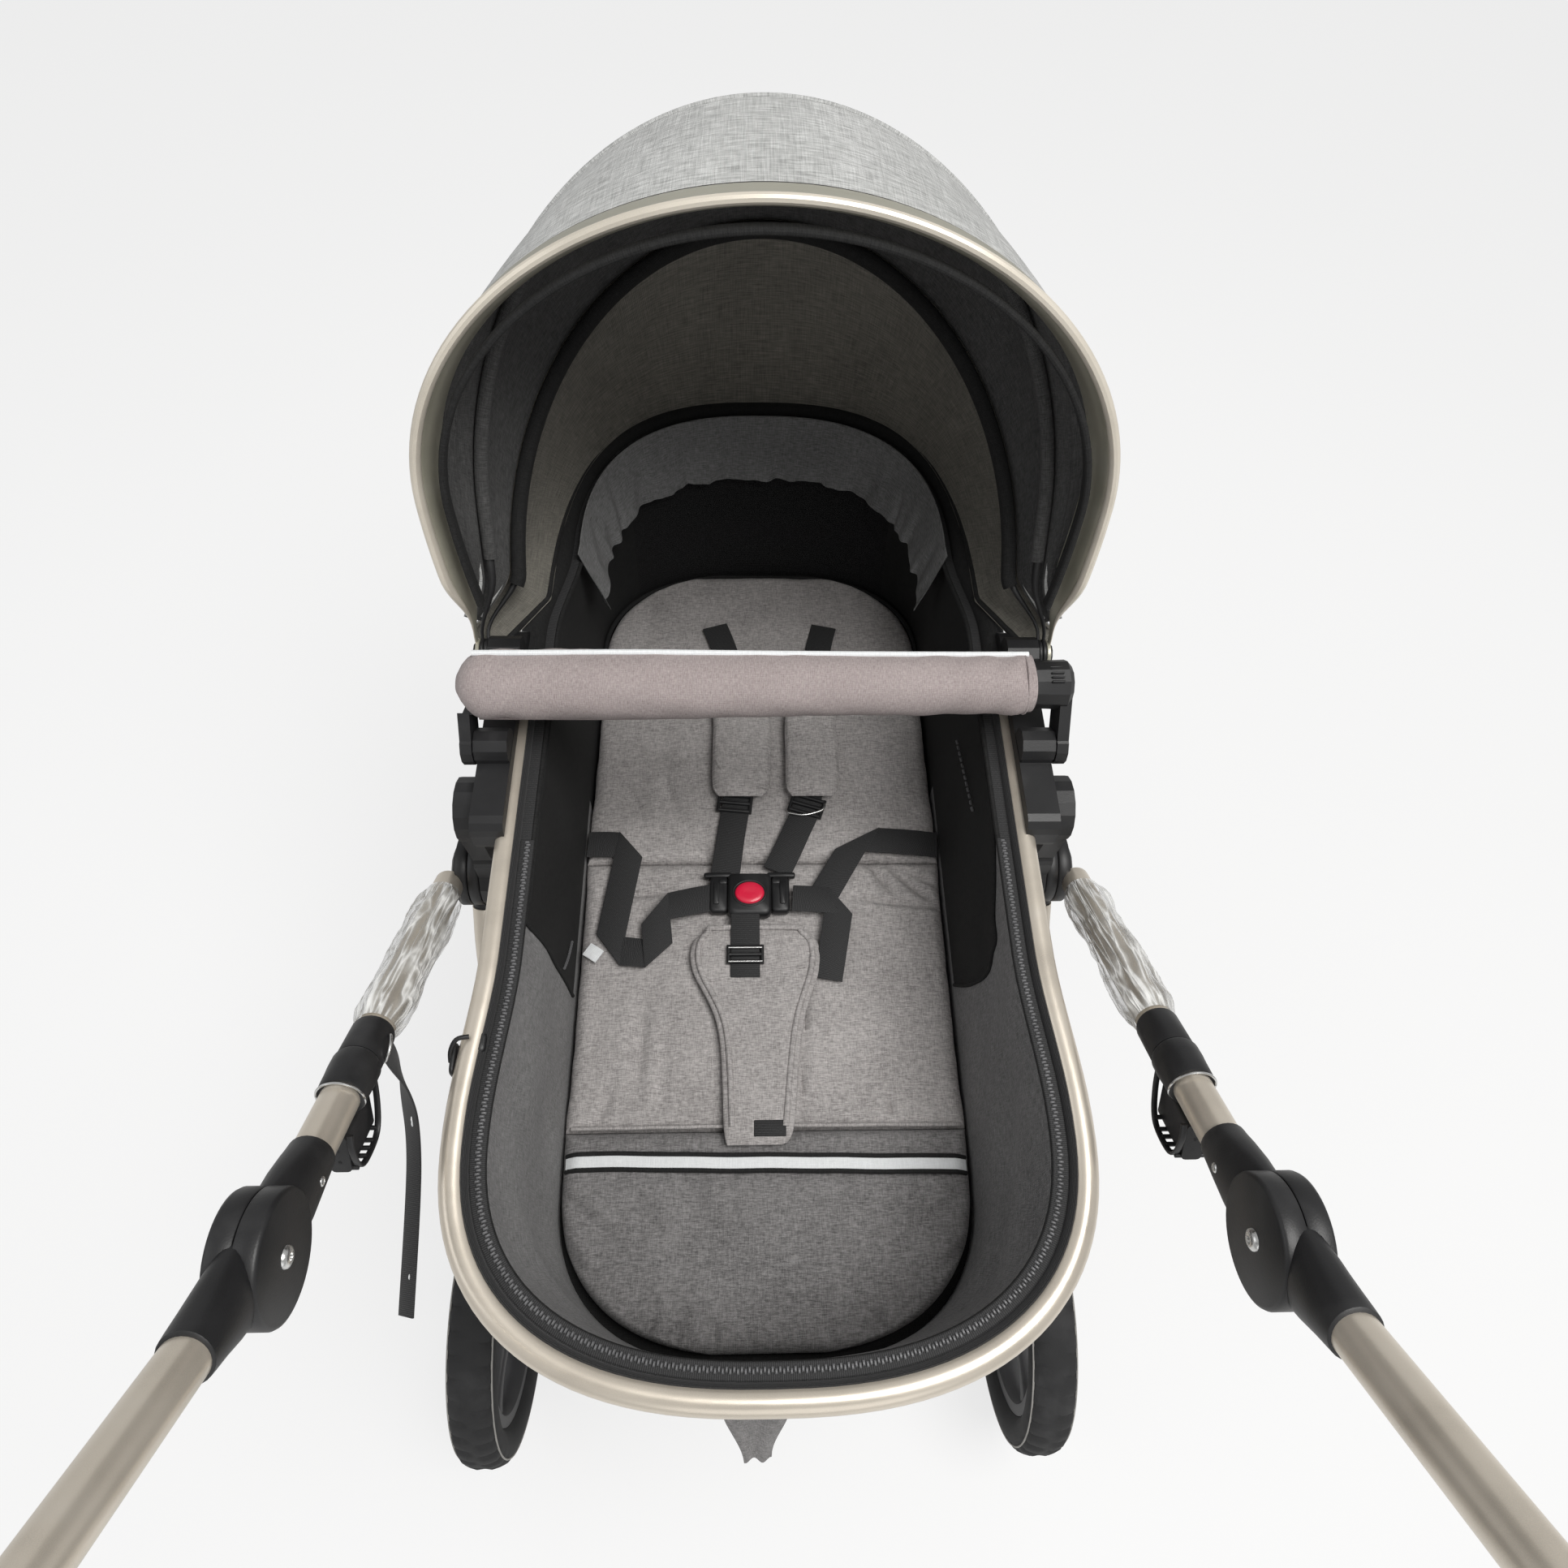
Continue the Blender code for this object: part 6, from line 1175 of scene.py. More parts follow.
def hood():
    band = [(-0.0036, -0.0152), (-0.0052, -0.0138), (-0.0062, -0.011), (-0.0066, -0.004), (-0.0072, 0.004),
            (-0.0085, 0.012), (-0.01, 0.016), (-0.0106, 0.0186), (-0.0098, 0.0205), (-0.008, 0.0216),
            (-0.0056, 0.0212), (-0.0036, 0.0192), (-0.003, 0.0168), (-0.0036, 0.015), (-0.0043, 0.0139),
            (-0.0031, 0.013), (-0.0017, 0.0113), (0.0009, 0.007), (0.003, 0.001), (0.0046, -0.006),
            (0.005, -0.013), (0.0044, -0.0148), (0.002, -0.0156)]
    lip_first, lip_last = 7, 14
    shapes = hoop_shape(FRONT_HOOP, band)
    count = len(band)
    zones = []
    for face in shapes[0][1]:
        cols = [k % count for k in face]
        zones.append(1 if len(face) == 4 and lip_first <= min(cols) and max(cols) <= lip_last else 0)
    zones += [0] * sum(len(s[1]) for s in shapes[1:])
    # Zone 1 gives the rounded lip its paler tone, partly painted highlight.
    make("hood_strip", merge(*shapes), [STRIP, STRIP_LIP_HIGHLIGHT], "hood_front", ["hood_front_hoop"], zones, 35.0)
    for shape, body, node in ((MIDDLE_HOOP, "hood_middle", "hood_middle_hoop"),
                              (REAR_HOOP, "hood_rear", "hood_rear_hoop")):
        make(node.replace("hoop", "bow"), merge(*hoop_shape(shape, ring(0.0038, 14))), BLACK, body, [node])
    _, inner = hoop_path(FRONT_HOOP, 0.06, 0.94, 120, -0.0118)
    gasket = [p + Vector(hoop_normal(FRONT_HOOP)) * 0.012 for p in inner]
    make("hood_strip_edge", tube(gasket, box_section(0.005, 0.011, 0.0022), hoop_normal(FRONT_HOOP)),
         PIPING, "hood_front")
    bands = (("rear", REAR_HOOP, -0.002, box_section(0.011, 0.015, 0.005, 4), DARK_CLOTH),
             ("middle", MIDDLE_HOOP, -0.0012, box_section(0.01, 0.011, 0.0045, 4), SIDE_LINING))
    for word, shape, inset, section, look in bands:
        _, sleeve = hoop_path(shape, 0.11, 0.89, 130, inset)
        make(f"{word}_bow_band", tube(sleeve, section, hoop_normal(shape)), look, f"hood_{word}")
    cover, seam = 0.009, 0.0006
    canopy("hood_panel_front", hood_edge(MIDDLE_HOOP, seam, cover), hood_edge(FRONT_HOOP, -0.016, 0.0055),
           ("hood_middle", "hood_front", tuple(hood_place(0.0, 0.3, 66.0)),
            tuple(hood_place(0.0, 0.3, 72.0))), 0.002, "canopy_front", SIDE_LINING,
            (0.45, 0.8))
    canopy("hood_panel_middle", hood_edge(REAR_HOOP, seam, cover), hood_edge(MIDDLE_HOOP, -seam, cover),
           ("hood_rear", "hood_middle", tuple(hood_place(0.0, 0.355, 41.0)),
            tuple(hood_place(0.0, 0.355, 57.0))), 0.01, "canopy_middle", SIDE_LINING)
    canopy("hood_panel_rear", skirt_line, hood_edge(REAR_HOOP, -seam, cover),
           ("seat", "hood_rear", tuple(head_line(0.5)),
            tuple(head_line(0.5).lerp(hood_place(0.0, 0.335, 36.0), REAR_PANEL_SHARE))), 0.012,
            "canopy_rear", LINING)
    for shape, body in ((MIDDLE_HOOP, "hood_middle"), (REAR_HOOP, "hood_rear")):
        _, highlight_line = hoop_path(shape, 0.03, 0.97, 120, 0.009)
        make(body + "_piping", tube(highlight_line, ring(0.0019, 8), hoop_normal(shape)), CANOPY_CLOTH, body)
    low = [skirt_line(s) + Vector((0.0, 0.0, 0.001)) for s in shares(150)]
    make("hood_hem", tube(low, ring(0.0026, 10)), PIPING, "seat")
    ruffle()


def ruffle():
    """Gathered lining flap that hangs inside the head end of the cot."""
    outline = [p for p in rim_outline(RIM_TUBE_R + 0.0075, 110, 40) if p[1] > 0.24]
    outline.sort(key=lambda p: atan2(p[1] - 0.24, -p[0]))
    path = spline([(x, y, 0.0) for x, y in outline], 200)
    rows = []
    for n in range(15):
        t = n / 14
        z = RIM_Z + RIM_TUBE_R + 0.0006 - 0.062 * t
        outer, inner = [], []
        for i, p in enumerate(path):
            s = i / (len(path) - 1)
            out = Vector((p.x, (p.y - 0.15) * 0.8, 0.0)).normalized()
            gather = ripple(s * 7.0, 0.2 * t, 0.0, 4.0, 3.0)
            fold = (0.003 * sin(75.0 * s + 5.0 * gather) + 0.005 * gather) * t
            hang = 0.004 * t * ripple(s * 5.0, 0.0, 0.0, 3.0, 9.0)
            spot = Vector((p.x, p.y, z + hang)) - out * (0.021 * t + 0.0012 - fold)
            outer.append(tuple(spot))
            inner.append(tuple(spot - out * 0.0012))
        rows.append(outer + inner[::-1])
    made = make("head_ruffle", skin(rows), RUFFLE, "seat", sharp=70.0)


# Chassis, wheels and handle
CROSSBAR = Vector((0.0, 0.245, 0.3135))


def chassis():
    hub = Vector((0.0, 0.0, HUB_Z))
    down = (CROSSBAR - hub).normalized()
    reach = Vector((0.0, CASTOR_FORWARD, 0.25))
    parts, plastics = [], []
    for _, side in SIDES:
        start, knee = hub + down * 0.041, hub + down * 0.345
        hub_x, foot_x = side * FRONT_TUBE_X, side * FRONT_TRACK_HALF
        chosen = [(hub_x, start.y, start.z), (hub_x, (start + down * 0.05).y, (start + down * 0.05).z),
                  (hub_x * 0.45 + foot_x * 0.55, knee.y, knee.z), (foot_x, reach.y - 0.06, reach.z + 0.035),
                  (foot_x, reach.y - 0.01, reach.z)]
        parts.append(tube(spline(chosen, 40), ring(LEG_R, 20), (1.0, 0.0, 0.0)))
        plastics.append(turned([(0.0262, 0.0068), (0.0262, 0.0185), (0.0278, 0.02), (0.0702, 0.02),
                                (0.0722, 0.018), (0.0722, 0.007)], (foot_x, CASTOR_FORWARD, 0.2), 36, "Z"))
        plastics.append(tube([(foot_x, reach.y - 0.046, reach.z + 0.024),
                              (foot_x, reach.y - 0.014, reach.z + 0.004)], ring(0.0142, 20), (1, 0, 0)))
        plastics.append(turned([(0.0, 0.0), (0.0, 0.0108), (side * 0.003, 0.0112), (side * 0.006, 0.008),
                                (side * 0.006, 0.0)],
                                (side * (CROSSBAR_HALF + 0.0005), CROSSBAR.y, CROSSBAR.z), 24))
    parts.append(turned(rounded(-CROSSBAR_HALF, CROSSBAR_HALF, LEG_R, 0.001), CROSSBAR, 28))
    rail_half, back, rail_z = 0.183, -0.268, BASKET_TOP_Z + 0.0044
    left = [(-rail_half, CROSSBAR.y, rail_z)]
    left += [(x - rail_half, back + y, rail_z)
             for x, y in ((0.0, 0.05), (0.004, 0.024), (0.02, 0.006), (0.045, 0.0))]
    rail = left + [(-x, y, z) for x, y, z in left[::-1]]
    parts.append(tube(spline(rail, 160), ring(0.0039, 14)))
    shape, zones = two_tone(parts, plastics)
    make("front_tubes", shape, [CHAMPAGNE, BLACK], "chassis", ["front_leg_frame"], zones)
    axle = Vector((0.0, -REAR_AXLE_BACK, REAR_WHEEL_R))
    down = (axle - hub).normalized()
    length = (axle - hub).length
    foot_x = REAR_TRACK_HALF - REAR_TYRE_W / 2 - LEG_R - 0.014
    parts = [turned(rounded(-0.226, 0.226, 0.0108, 0.001), axle, 32)]
    plastics = []
    for _, side in SIDES:
        hub_x = side * REAR_TUBE_X
        top = hub + down * 0.036
        route = [(hub_x, top.y, top.z), (hub_x, (hub + down * 0.12).y, (hub + down * 0.12).z),
                 (side * (foot_x + 0.004), (hub + down * 0.62 * length).y, (hub + down * 0.62 * length).z),
                 (side * foot_x, axle.y, axle.z)]
        parts.append(tube(spline(route, 40), ring(LEG_R, 20), (1.0, 0.0, 0.0)))
        plastics.append(turned([(side * -0.005, 0.0064), (side * -0.005, 0.031), (side * -0.004, 0.032),
                                (side * 0.004, 0.032), (side * 0.005, 0.031), (side * 0.005, 0.0064)],
                                (hub_x, 0.0, HUB_Z), 40))
        plastics.append(turned(rounded(side * 0.22, side * 0.25, 0.02, 0.002), (0.0, axle.y, axle.z), 36))
        plastics.append(turned(rounded(side * 0.249, side * 0.294, 0.005, 0.0006), (0.0, axle.y, axle.z),
                               20))
        plastics.append(tube([hub + along_x(hub_x) + down * 0.026, hub + along_x(hub_x) + down * 0.056],
                             ring(0.01, 16), (1, 0, 0)))
    shape, zones = two_tone(parts, plastics)
    make("rear_tubes", shape, [CHAMPAGNE, BLACK], "rear_frame", ["rear_leg_frame"], zones)


def mirrored(profile):
    """The same profile on the other side of its middle plane."""
    return [(-u, r) for u, r in profile]


def wheel(name, word, centre, radius, width, lugs):
    body = f"{name}_wheel_{word}"
    depth = radius * 0.24
    half, bead = width / 2, radius - depth
    flank = [(0.06, 1.0), (0.3, 0.985), (0.55, 0.94), (0.76, 0.88), (0.88, 0.78), (0.97, 0.62), (1.0, 0.45),
             (0.94, 0.26), (0.8, 0.1), (0.62, 0.0)]
    profile = [(-u, share) for u, share in flank[::-1]] + flank
    segments = 168
    rows = []
    for u, share in profile:
        highlight_line = []
        for i in range(segments):
            angle = 2 * pi * i / segments
            r = bead + depth * share
            if share > 0.75:
                groove = (i + (2 if u > 0 else 0)) % 4 == 0
                r -= lugs if groove and abs(u) > 0.2 else 0.0
                r -= lugs * 0.5 if 0.02 < abs(u) < 0.1 else 0.0
            highlight_line.append((centre[0] + u * half, centre[1] + r * cos(angle), centre[2] + r * sin(angle)))
        rows.append(highlight_line)
    make(f"{name}_tyre_{word}", grid(rows, False, True), RUBBER, body, [f"{name}_tyre_{word}"], sharp=28.0)
    # Pale rings on the tyre's shoulders: a painted highlight where light falls on the rounded tread edge.
    lines = []
    line_u, line_r = 0.9 if name == "rear" else 0.93, bead + depth * 0.74 + 0.0003
    for u in (-line_u, line_u):
        path = [(centre[0] + u * half * 1.005, centre[1] + line_r * cos(a), centre[2] + line_r * sin(a))
                for a in turns(96)]
        lines.append(tube(path, ring(0.0009, 6), (1.0, 0.0, 0.0), closed=True))
    make(f"{name}_line_{word}", merge(*lines), TYRE_HIGHLIGHT_LINE, body)
    rim_r = radius * 0.76
    t = rim_r * 0.1
    w = width * 0.31
    lip = [(w, rim_r - 0.0004), (w * 1.06, rim_r - t * 0.5), (w, rim_r - t), (w * 0.6, rim_r - t * 1.35)]
    band = mirrored(lip) + [(0.0, rim_r - t * 1.5)] + lip[::-1] + [(-w, rim_r - 0.0004)]
    hub_r = rim_r * 0.2
    boss = [(width * 0.42, 0.0054), (width * 0.42, hub_r * 0.82), (width * 0.38, hub_r * 0.95),
            (width * 0.3, hub_r)]
    parts = [turned(band, centre, 96), turned(mirrored(boss) + boss[::-1], centre, 40)]
    for angle in turns(5) + pi / 5:
        out = Vector((0.0, cos(angle), sin(angle)))
        beside = Vector((0.0, -sin(angle), cos(angle)))
        rows = []
        for s in shares(8):
            reach = hub_r * 0.7 + (rim_r - t * 0.9 - hub_r * 0.7) * s
            wide = hub_r * (0.5 - 0.2 * sin(pi * s) + 0.02 * s)
            deep = w * (0.92 - 0.35 * sin(pi * s * 0.8))
            middle = Vector(centre) + out * reach
            rows.append([tuple(middle + beside * (wide * a) + along_x(deep * b))
                         for a, b in box_section(2.0, 2.0, 0.45, 3)])
        parts.append(skin(rows))
    make(f"{name}_rim_{word}", merge(*parts), RIM_GREY, body, [f"{name}_rim_{word}"], sharp=40.0)
    caps = []
    for side in (-1.0, 1.0):
        start = centre[0] + side * width * 0.42
        caps.append(turned([(side * 0.0002, hub_r * 0.66), (side * 0.0022, hub_r * 0.6),
                            (side * 0.003, hub_r * 0.4), (side * 0.0031, 0.0)],
                            (start, centre[1], centre[2]), 32))
    make(f"{name}_caps_{word}", merge(*caps), BLACK, body)


def wheels():
    for word, side in SIDES:
        rear = (side * REAR_TRACK_HALF, -REAR_AXLE_BACK, REAR_WHEEL_R)
        front = (side * FRONT_TRACK_HALF, CASTOR_FORWARD - CASTOR_TRAIL, FRONT_WHEEL_R)
        wheel("rear", word, rear, REAR_WHEEL_R, REAR_TYRE_W, 0.0026)
        wheel("front", word, front, FRONT_WHEEL_R, FRONT_TYRE_W, 0.0018)


def crumple(p, scale, seed):
    """Faceted ripple of stretched film: sharp ridges with flat dents between."""
    a = ripple(p.x, p.y, p.z, scale, seed)
    b = ripple(p.z, p.x, p.y, scale * 2.3, seed + 4.0)
    return 1.0 - abs(a) * 2.2 + 0.5 * (1.0 - abs(b) * 2.0)


def shell_rows(origin, way, up, sizes, sides=28):
    """Oval sections along a line, each from (distance, half width, half height)."""
    return [[tuple(origin + way * d + along_x(u * wide) + up * (v * tall)) for u, v in ring(1.0, sides)]
            for d, wide, tall in sizes]


def handle():
    for word, side in SIDES:
        x = side * HANDLE_X
        steel = tube([along(0.026, x), along(0.12, x), along(0.24, x), along(DISC_REACH - 0.052, x)],
                     ring(PUSH_TUBE_R - 0.0001, 28), tuple(HANDLE_UP))
        sizes = ((0.2285, 0.0128), (0.229, 0.0143), (0.231, 0.0148), (0.259, 0.015), (0.2608, 0.0145),
                 (0.2612, 0.0128))
        collar = shell_rows(along(0.0, x), HANDLE_WAY, HANDLE_UP, [(d, r, r) for d, r in sizes])
        shell = shell_rows(along(DISC_REACH, x), HANDLE_WAY, HANDLE_UP,
                           ((-0.0735, 0.0128, 0.0132), (-0.0725, 0.0137, 0.0148), (-0.068, 0.014, 0.0156),
                            (-0.056, 0.014, 0.0195), (-0.04, 0.014, 0.0232), (-0.024, 0.0128, 0.0258),
                            (-0.0155, 0.0108, 0.0268)))
        inner = side * (HANDLE_X - 0.014)
        seam = side * (HANDLE_X - 0.0003)
        disc = turned([(inner, 0.0), (inner, 0.0325), (inner + side * 0.0008, 0.0342),
                       (inner + side * 0.0025, DISC_R), (seam - side * 0.0006, DISC_R), (seam, 0.0344),
                       (seam, 0.0)], DISC, 56)
        ear_in, ear_out = side * 0.2543, side * 0.2643
        ear = turned([(ear_in, 0.0066), (ear_in, 0.0312), (ear_in + side * 0.001, 0.032),
                      (ear_out - side * 0.001, 0.032), (ear_out, 0.0312), (ear_out, 0.0066)],
                      (0.0, 0.0, HUB_Z), 40)
        blacks = [skin(collar), skin(shell), disc, ear]
        shape, zones = two_tone([steel], blacks)
        make(f"push_bar_{word}", shape, [CHAMPAGNE, BLACK], "handle", [f"push_tube_{word}"], zones, 45.0)
        heads = [screw((inner, DISC.y, DISC.z), 0.0062, -side)]
        pin = along(DISC_REACH - 0.052, x)
        heads.append(screw((side * (HANDLE_X - 0.0136), pin.y, pin.z), 0.003, -side))
        make(f"clutch_screws_{word}", merge(*heads), STEEL, "handle")
        rows = []
        for n in range(70):
            t = n / 69
            middle = along(FILM_START + (FILM_END - FILM_START) * t, x)
            highlight_line = []
            for a in turns(40):
                out = Vector((cos(a), 0, 0)) + HANDLE_UP * sin(a)
                spot = middle + out * 0.017
                twist = sin(2.0 * a + 9.0 * t) + 0.6 * sin(3.0 * a - 14.0 * t + 1.0)
                puff = 0.0036 + 0.0009 * twist + 0.0013 * crumple(spot, 38.0, 3.0 if side > 0 else 8.0)
                edge = ease(min(t, 1 - t), 0.0, 0.08)
                swell = max(puff, 0.0004) * (0.25 + 0.75 * edge)
                highlight_line.append(tuple(middle + out * (PUSH_TUBE_R + 0.0008 + swell)))
            rows.append(highlight_line)
        make(f"packing_film_{word}", grid(rows, False, True), FILM, "handle", [f"film_wrap_{word}"],
             sharp=22.0)
        slider(word, x)
    bar()
    strap()


def slider(word, x):
    start = SLIDER_START
    sizes = ((0.0, 0.0132), (0.0004, 0.0152), (0.0025, 0.016), (0.012, 0.016), (0.018, 0.0156),
             (0.03, 0.0152), (0.032, 0.0146), (0.0325, 0.0132))
    sleeve = shell_rows(along(start, x), HANDLE_WAY, HANDLE_UP, [(d, r, r) for d, r in sizes], 32)
    low = -PUSH_TUBE_R - 0.034
    wall = []
    for sign in (-1.0, 1.0):
        outline = spline([(0.002, -0.006, 0), (0.003, -0.024, 0), (0.008, low + 0.006, 0),
                          (0.017, low - 0.001, 0), (0.036, low - 0.001, 0), (0.046, low + 0.005, 0),
                          (0.051, -0.026, 0), (0.05, -0.014, 0)], 40)
        wall.append(tube([along(start + p.x, x + sign * 0.0098, p.y) for p in outline],
                         box_section(0.0022, 0.0042, 0.001, 2), (1.0, 0.0, 0.0)))
    ribs = []
    for d in (0.012, 0.019, 0.026, 0.033, 0.04, 0.047):
        lift = low + (0.004 if d in (0.012, 0.047) else 0.0)
        ribs.append(tube([along(start + d, x - 0.01, lift), along(start + d, x + 0.01, lift)],
                         ring(0.0016, 8), tuple(HANDLE_UP)))
    for lift in (low + 0.01, low + 0.019):
        ribs.append(tube([along(start + 0.004, x, lift), along(start + 0.049, x, lift)], ring(0.0014, 8),
                         (1.0, 0.0, 0.0)))
    back = pill_along(start + 0.006, start + 0.049, x, low + 0.002, low + 0.03)
    make(f"fold_grip_{word}", merge(skin(sleeve), *wall, *ribs, back), BLACK, f"release_{word}",
         [f"fold_slider_{word}"])
    edge = [along(start + 0.0318 + 0.004 * cos(a), x + 0.0149 * sin(a), 0.0149 * cos(a))
            for a in np.linspace(-2.4, 2.4, 40)]
    make(f"fold_grip_line_{word}", tube(edge, ring(0.0008, 6), tuple(-HANDLE_UP)), STEEL, f"release_{word}")


def pill_along(start, end, x, low, high):
    rows = []
    for d in np.linspace(start, end, 4):
        rows.append([tuple(along(d, x + u, (low + high) / 2 + v))
                     for u, v in box_section(0.013, high - low, 0.003, 3)])
    return skin(rows)


def bar():
    half = HANDLE_X + 0.0005
    corner = ARM_LENGTH - ARM_BEND_R
    route = []
    for side in (-1.0, 1.0):
        part = [DISC + ARM_WAY * 0.03 + along_x(side * half),
                DISC + ARM_WAY * (corner * 0.5) + along_x(side * half)]
        for i in range(13):
            angle = 0.5 * pi * i / 12
            shift = side * (half - ARM_BEND_R + ARM_BEND_R * cos(angle))
            part.append(DISC + ARM_WAY * (corner + ARM_BEND_R * sin(angle)) + along_x(shift))
        route = part if side < 0 else route + part[::-1]
    arch = tube(route, ring(PUSH_TUBE_R - 0.0001, 28), tuple(ARM_UP))
    blacks, caps = [], []
    for word, side in SIDES:
        elbow = shell_rows(DISC + along_x(side * half), ARM_WAY, ARM_UP,
                           ((0.0155, 0.0112, 0.0248), (0.024, 0.0128, 0.024), (0.04, 0.0138, 0.0212),
                            (0.056, 0.0142, 0.0172), (0.068, 0.0141, 0.0152), (0.0725, 0.0138, 0.0146),
                            (0.0735, 0.0126, 0.013)))
        outer, seam = side * (HANDLE_X + 0.014), side * (HANDLE_X + 0.0003)
        disc = turned([(seam, 0.0), (seam, 0.0344), (seam + side * 0.0006, DISC_R),
                       (outer - side * 0.0025, DISC_R), (outer - side * 0.0008, 0.0342), (outer, 0.0325),
                       (outer, 0.0142), (outer - side * 0.006, 0.0138), (outer - side * 0.006, 0.0)], DISC,
                       56)
        blacks += [skin(elbow), disc]
        start = outer - side * 0.0022
        profile = [(start, 0.0), (start, 0.013), (outer + side * 0.0018, 0.0128),
                   (outer + side * 0.0032, 0.0116), (outer + side * 0.0038, 0.0085),
                   (outer + side * 0.0032, 0.006), (outer + side * 0.003, 0.0)]
        caps.append((word, turned(profile, DISC, 40)))
    shape, zones = two_tone([arch], blacks)
    make("handle_arch", shape, [CHAMPAGNE, BLACK], "handle_top", ["handlebar"], zones, 45.0)
    for word, shape in caps:
        make(f"clutch_button_{word}_cap", shape, BLACK, f"clutch_button_{word}", [f"angle_button_{word}"])
    centre = DISC + ARM_WAY * ARM_LENGTH
    grip_r = 0.0172
    wide = HANDLE_X - ARM_BEND_R - 0.004
    rows = []
    for t in shares(120):
        x = -wide + 2 * wide * t
        end = min((x + wide), (wide - x)) / 0.006
        r = 0.0136 + (grip_r - 0.0136) * sqrt(max(1 - max(1 - end, 0.0) ** 2, 0.0))
        highlight_line = []
        for a in turns(40):
            stitch = 0.0008 * exp(-((degrees(a) % 360 - 270) / 6.0) ** 2)
            near = r - stitch
            highlight_line.append(tuple(centre + along_x(x) + ARM_WAY * (near * cos(a)) + ARM_UP * (near * sin(a))))
        rows.append(highlight_line)
    make("leather_grip", skin(rows), BLACK_SOFT, "handle_top", ["handle_grip"], sharp=70.0)
    threads = []
    for x in np.linspace(-wide + 0.01, wide - 0.01, 96):
        spot = centre + along_x(x) - ARM_UP * (grip_r - 0.0004)
        threads.append(tube([spot - along_x(0.0012) - ARM_WAY * 0.0016,
                             spot + along_x(0.0012) + ARM_WAY * 0.0016], ring(0.0004, 5)))
    make("grip_stitches", merge(*threads), BINDING, "handle_top")


def strap():
    """Wrist strap hanging from a ring on the left push tube."""
    x = -(HANDLE_X - PUSH_TUBE_R - 0.0016)
    top = along(0.246, x)
    lower = Vector((x, top.y - 0.15, top.z - 0.135))
    route = spline([top, top + Vector((0, -0.012, -0.05)), (top + lower) / 2 + Vector((0, 0.022, -0.03)),
                    lower], 60)
    flat_way = [Vector((0.0, -0.62, 0.78)).lerp(Vector((0.8, -0.35, 0.48)), ease(i, 2, 22))
                for i in range(len(route))]
    made = make("wrist_webbing", tube(route, box_section(0.0018, 0.016, 0.0007, 2), flat_way), BINDING,
                "handle", ["wrist_strap"])
    clamp = tube([top + Vector((0.004 * cos(a), 0.009 * sin(a), 0.006 * cos(a))) for a in turns(24)],
                 ring(0.0012, 8), (1, 0, 0), closed=True)
    make("wrist_ring", clamp, STEEL, "handle")
    spots = []
    for i, size in ((22, 0.005), (23, 0.005), (52, 0.004)):
        spots.append(pill(tuple(route[i] + along_x(0.0012)), (size, size * 1.6, 0.0009), 0.002, "X"))
    patches = make("wrist_patches", merge(*spots), REFLECTIVE, "handle")


def basket():
    """Under-seat basket: a sagging cloth shell with a hem over its wire rail."""
    front_top = CROSSBAR.y - LEG_R - 0.0004
    front_floor = front_top - 0.022

    def level(t, inset):
        half = BASKET_HALF + 0.025 * t ** 0.8 - inset
        back = BASKET_BACK - 0.075 * t ** 0.8 + inset
        front = front_floor + (front_top - front_floor) * t - inset
        corner = BASKET_CORNER - inset
        z = BASKET_FLOOR_Z + (BASKET_TOP_Z - BASKET_FLOOR_Z) * t
        outline = []
        for cx, cy, start in ((1, 1, 0.0), (-1, 1, 0.5), (-1, 0, 1.0), (1, 0, 1.5)):
            for i in range(9):
                angle = pi * (start + 0.0625 * i)
                outline.append((cx * (half - corner) + corner * cos(angle),
                                (front - corner if cy else back + corner) + corner * sin(angle), z))
        dense = []
        for a, b in zip(outline, outline[1:] + outline[:1]):
            n = 12 if dist(a, b) > 0.05 else 1
            dense += [tuple(a[k] + (b[k] - a[k]) * j / n for k in range(3)) for j in range(n)]
        return dense
    rows = [sag(level(t, 0.0), t) for t in shares(14)]
    rows += [sag(level(t, BASKET_CLOTH), t) for t in np.linspace(1.0, 0.03, 14)]
    made = make("basket_cloth", skin(rows), DARK_CLOTH, "chassis", ["basket"], sharp=70.0)
    hem = [tube(level(t, -0.001), ring(0.002, 8), closed=True) for t in (0.94, 0.06)]
    make("basket_hem", merge(*hem), PIPING, "chassis")


def sag(highlight_line, t):
    belly = sin(pi * t)
    out = []
    for x, y, z in highlight_line:
        way = Vector((x / 0.17, (y + 0.01) / 0.22, 0.0))
        push = belly * (0.002 * ripple(x, y, z, 18.0, 4.0) - 0.002)
        way = way.normalized() if way.length else way
        out.append((x + way.x * push, y + way.y * push,
                    z - 0.0015 * (1 - t) * (1 + ripple(x, y, z, 14.0, 9.0))))
    return out


# Nodes that are kept as they are, with a better material
KEPT = ("brake_pedal", "backrest_board",
        *(f"{name}_{word}" for word, _ in SIDES
          for name in ("hub_plate", "castor_fork", "swivel_lock", "seat_adapter", "seat_housing",
                       "bumper_knob")), )


def keep_nodes():
    for name in KEPT:
        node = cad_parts[name]
        node.data.materials.clear()
        node.data.materials.append(BLACK)


# Camera, light and floor
CAMERA_AT = Vector((-0.0154, -0.42, 1.3946))
CAMERA_PITCH, CAMERA_YAW, CAMERA_ROLL = radians(58.88), radians(3.86), radians(-3.17)
FRAME_PX, FOCAL_PX = 1932.0, 1300.0
WORLD_LIGHT, FLOOR_WHITE = 0.42, 0.72
FLOOR_HALF, FLOOR_Z = 14.0, -0.0006


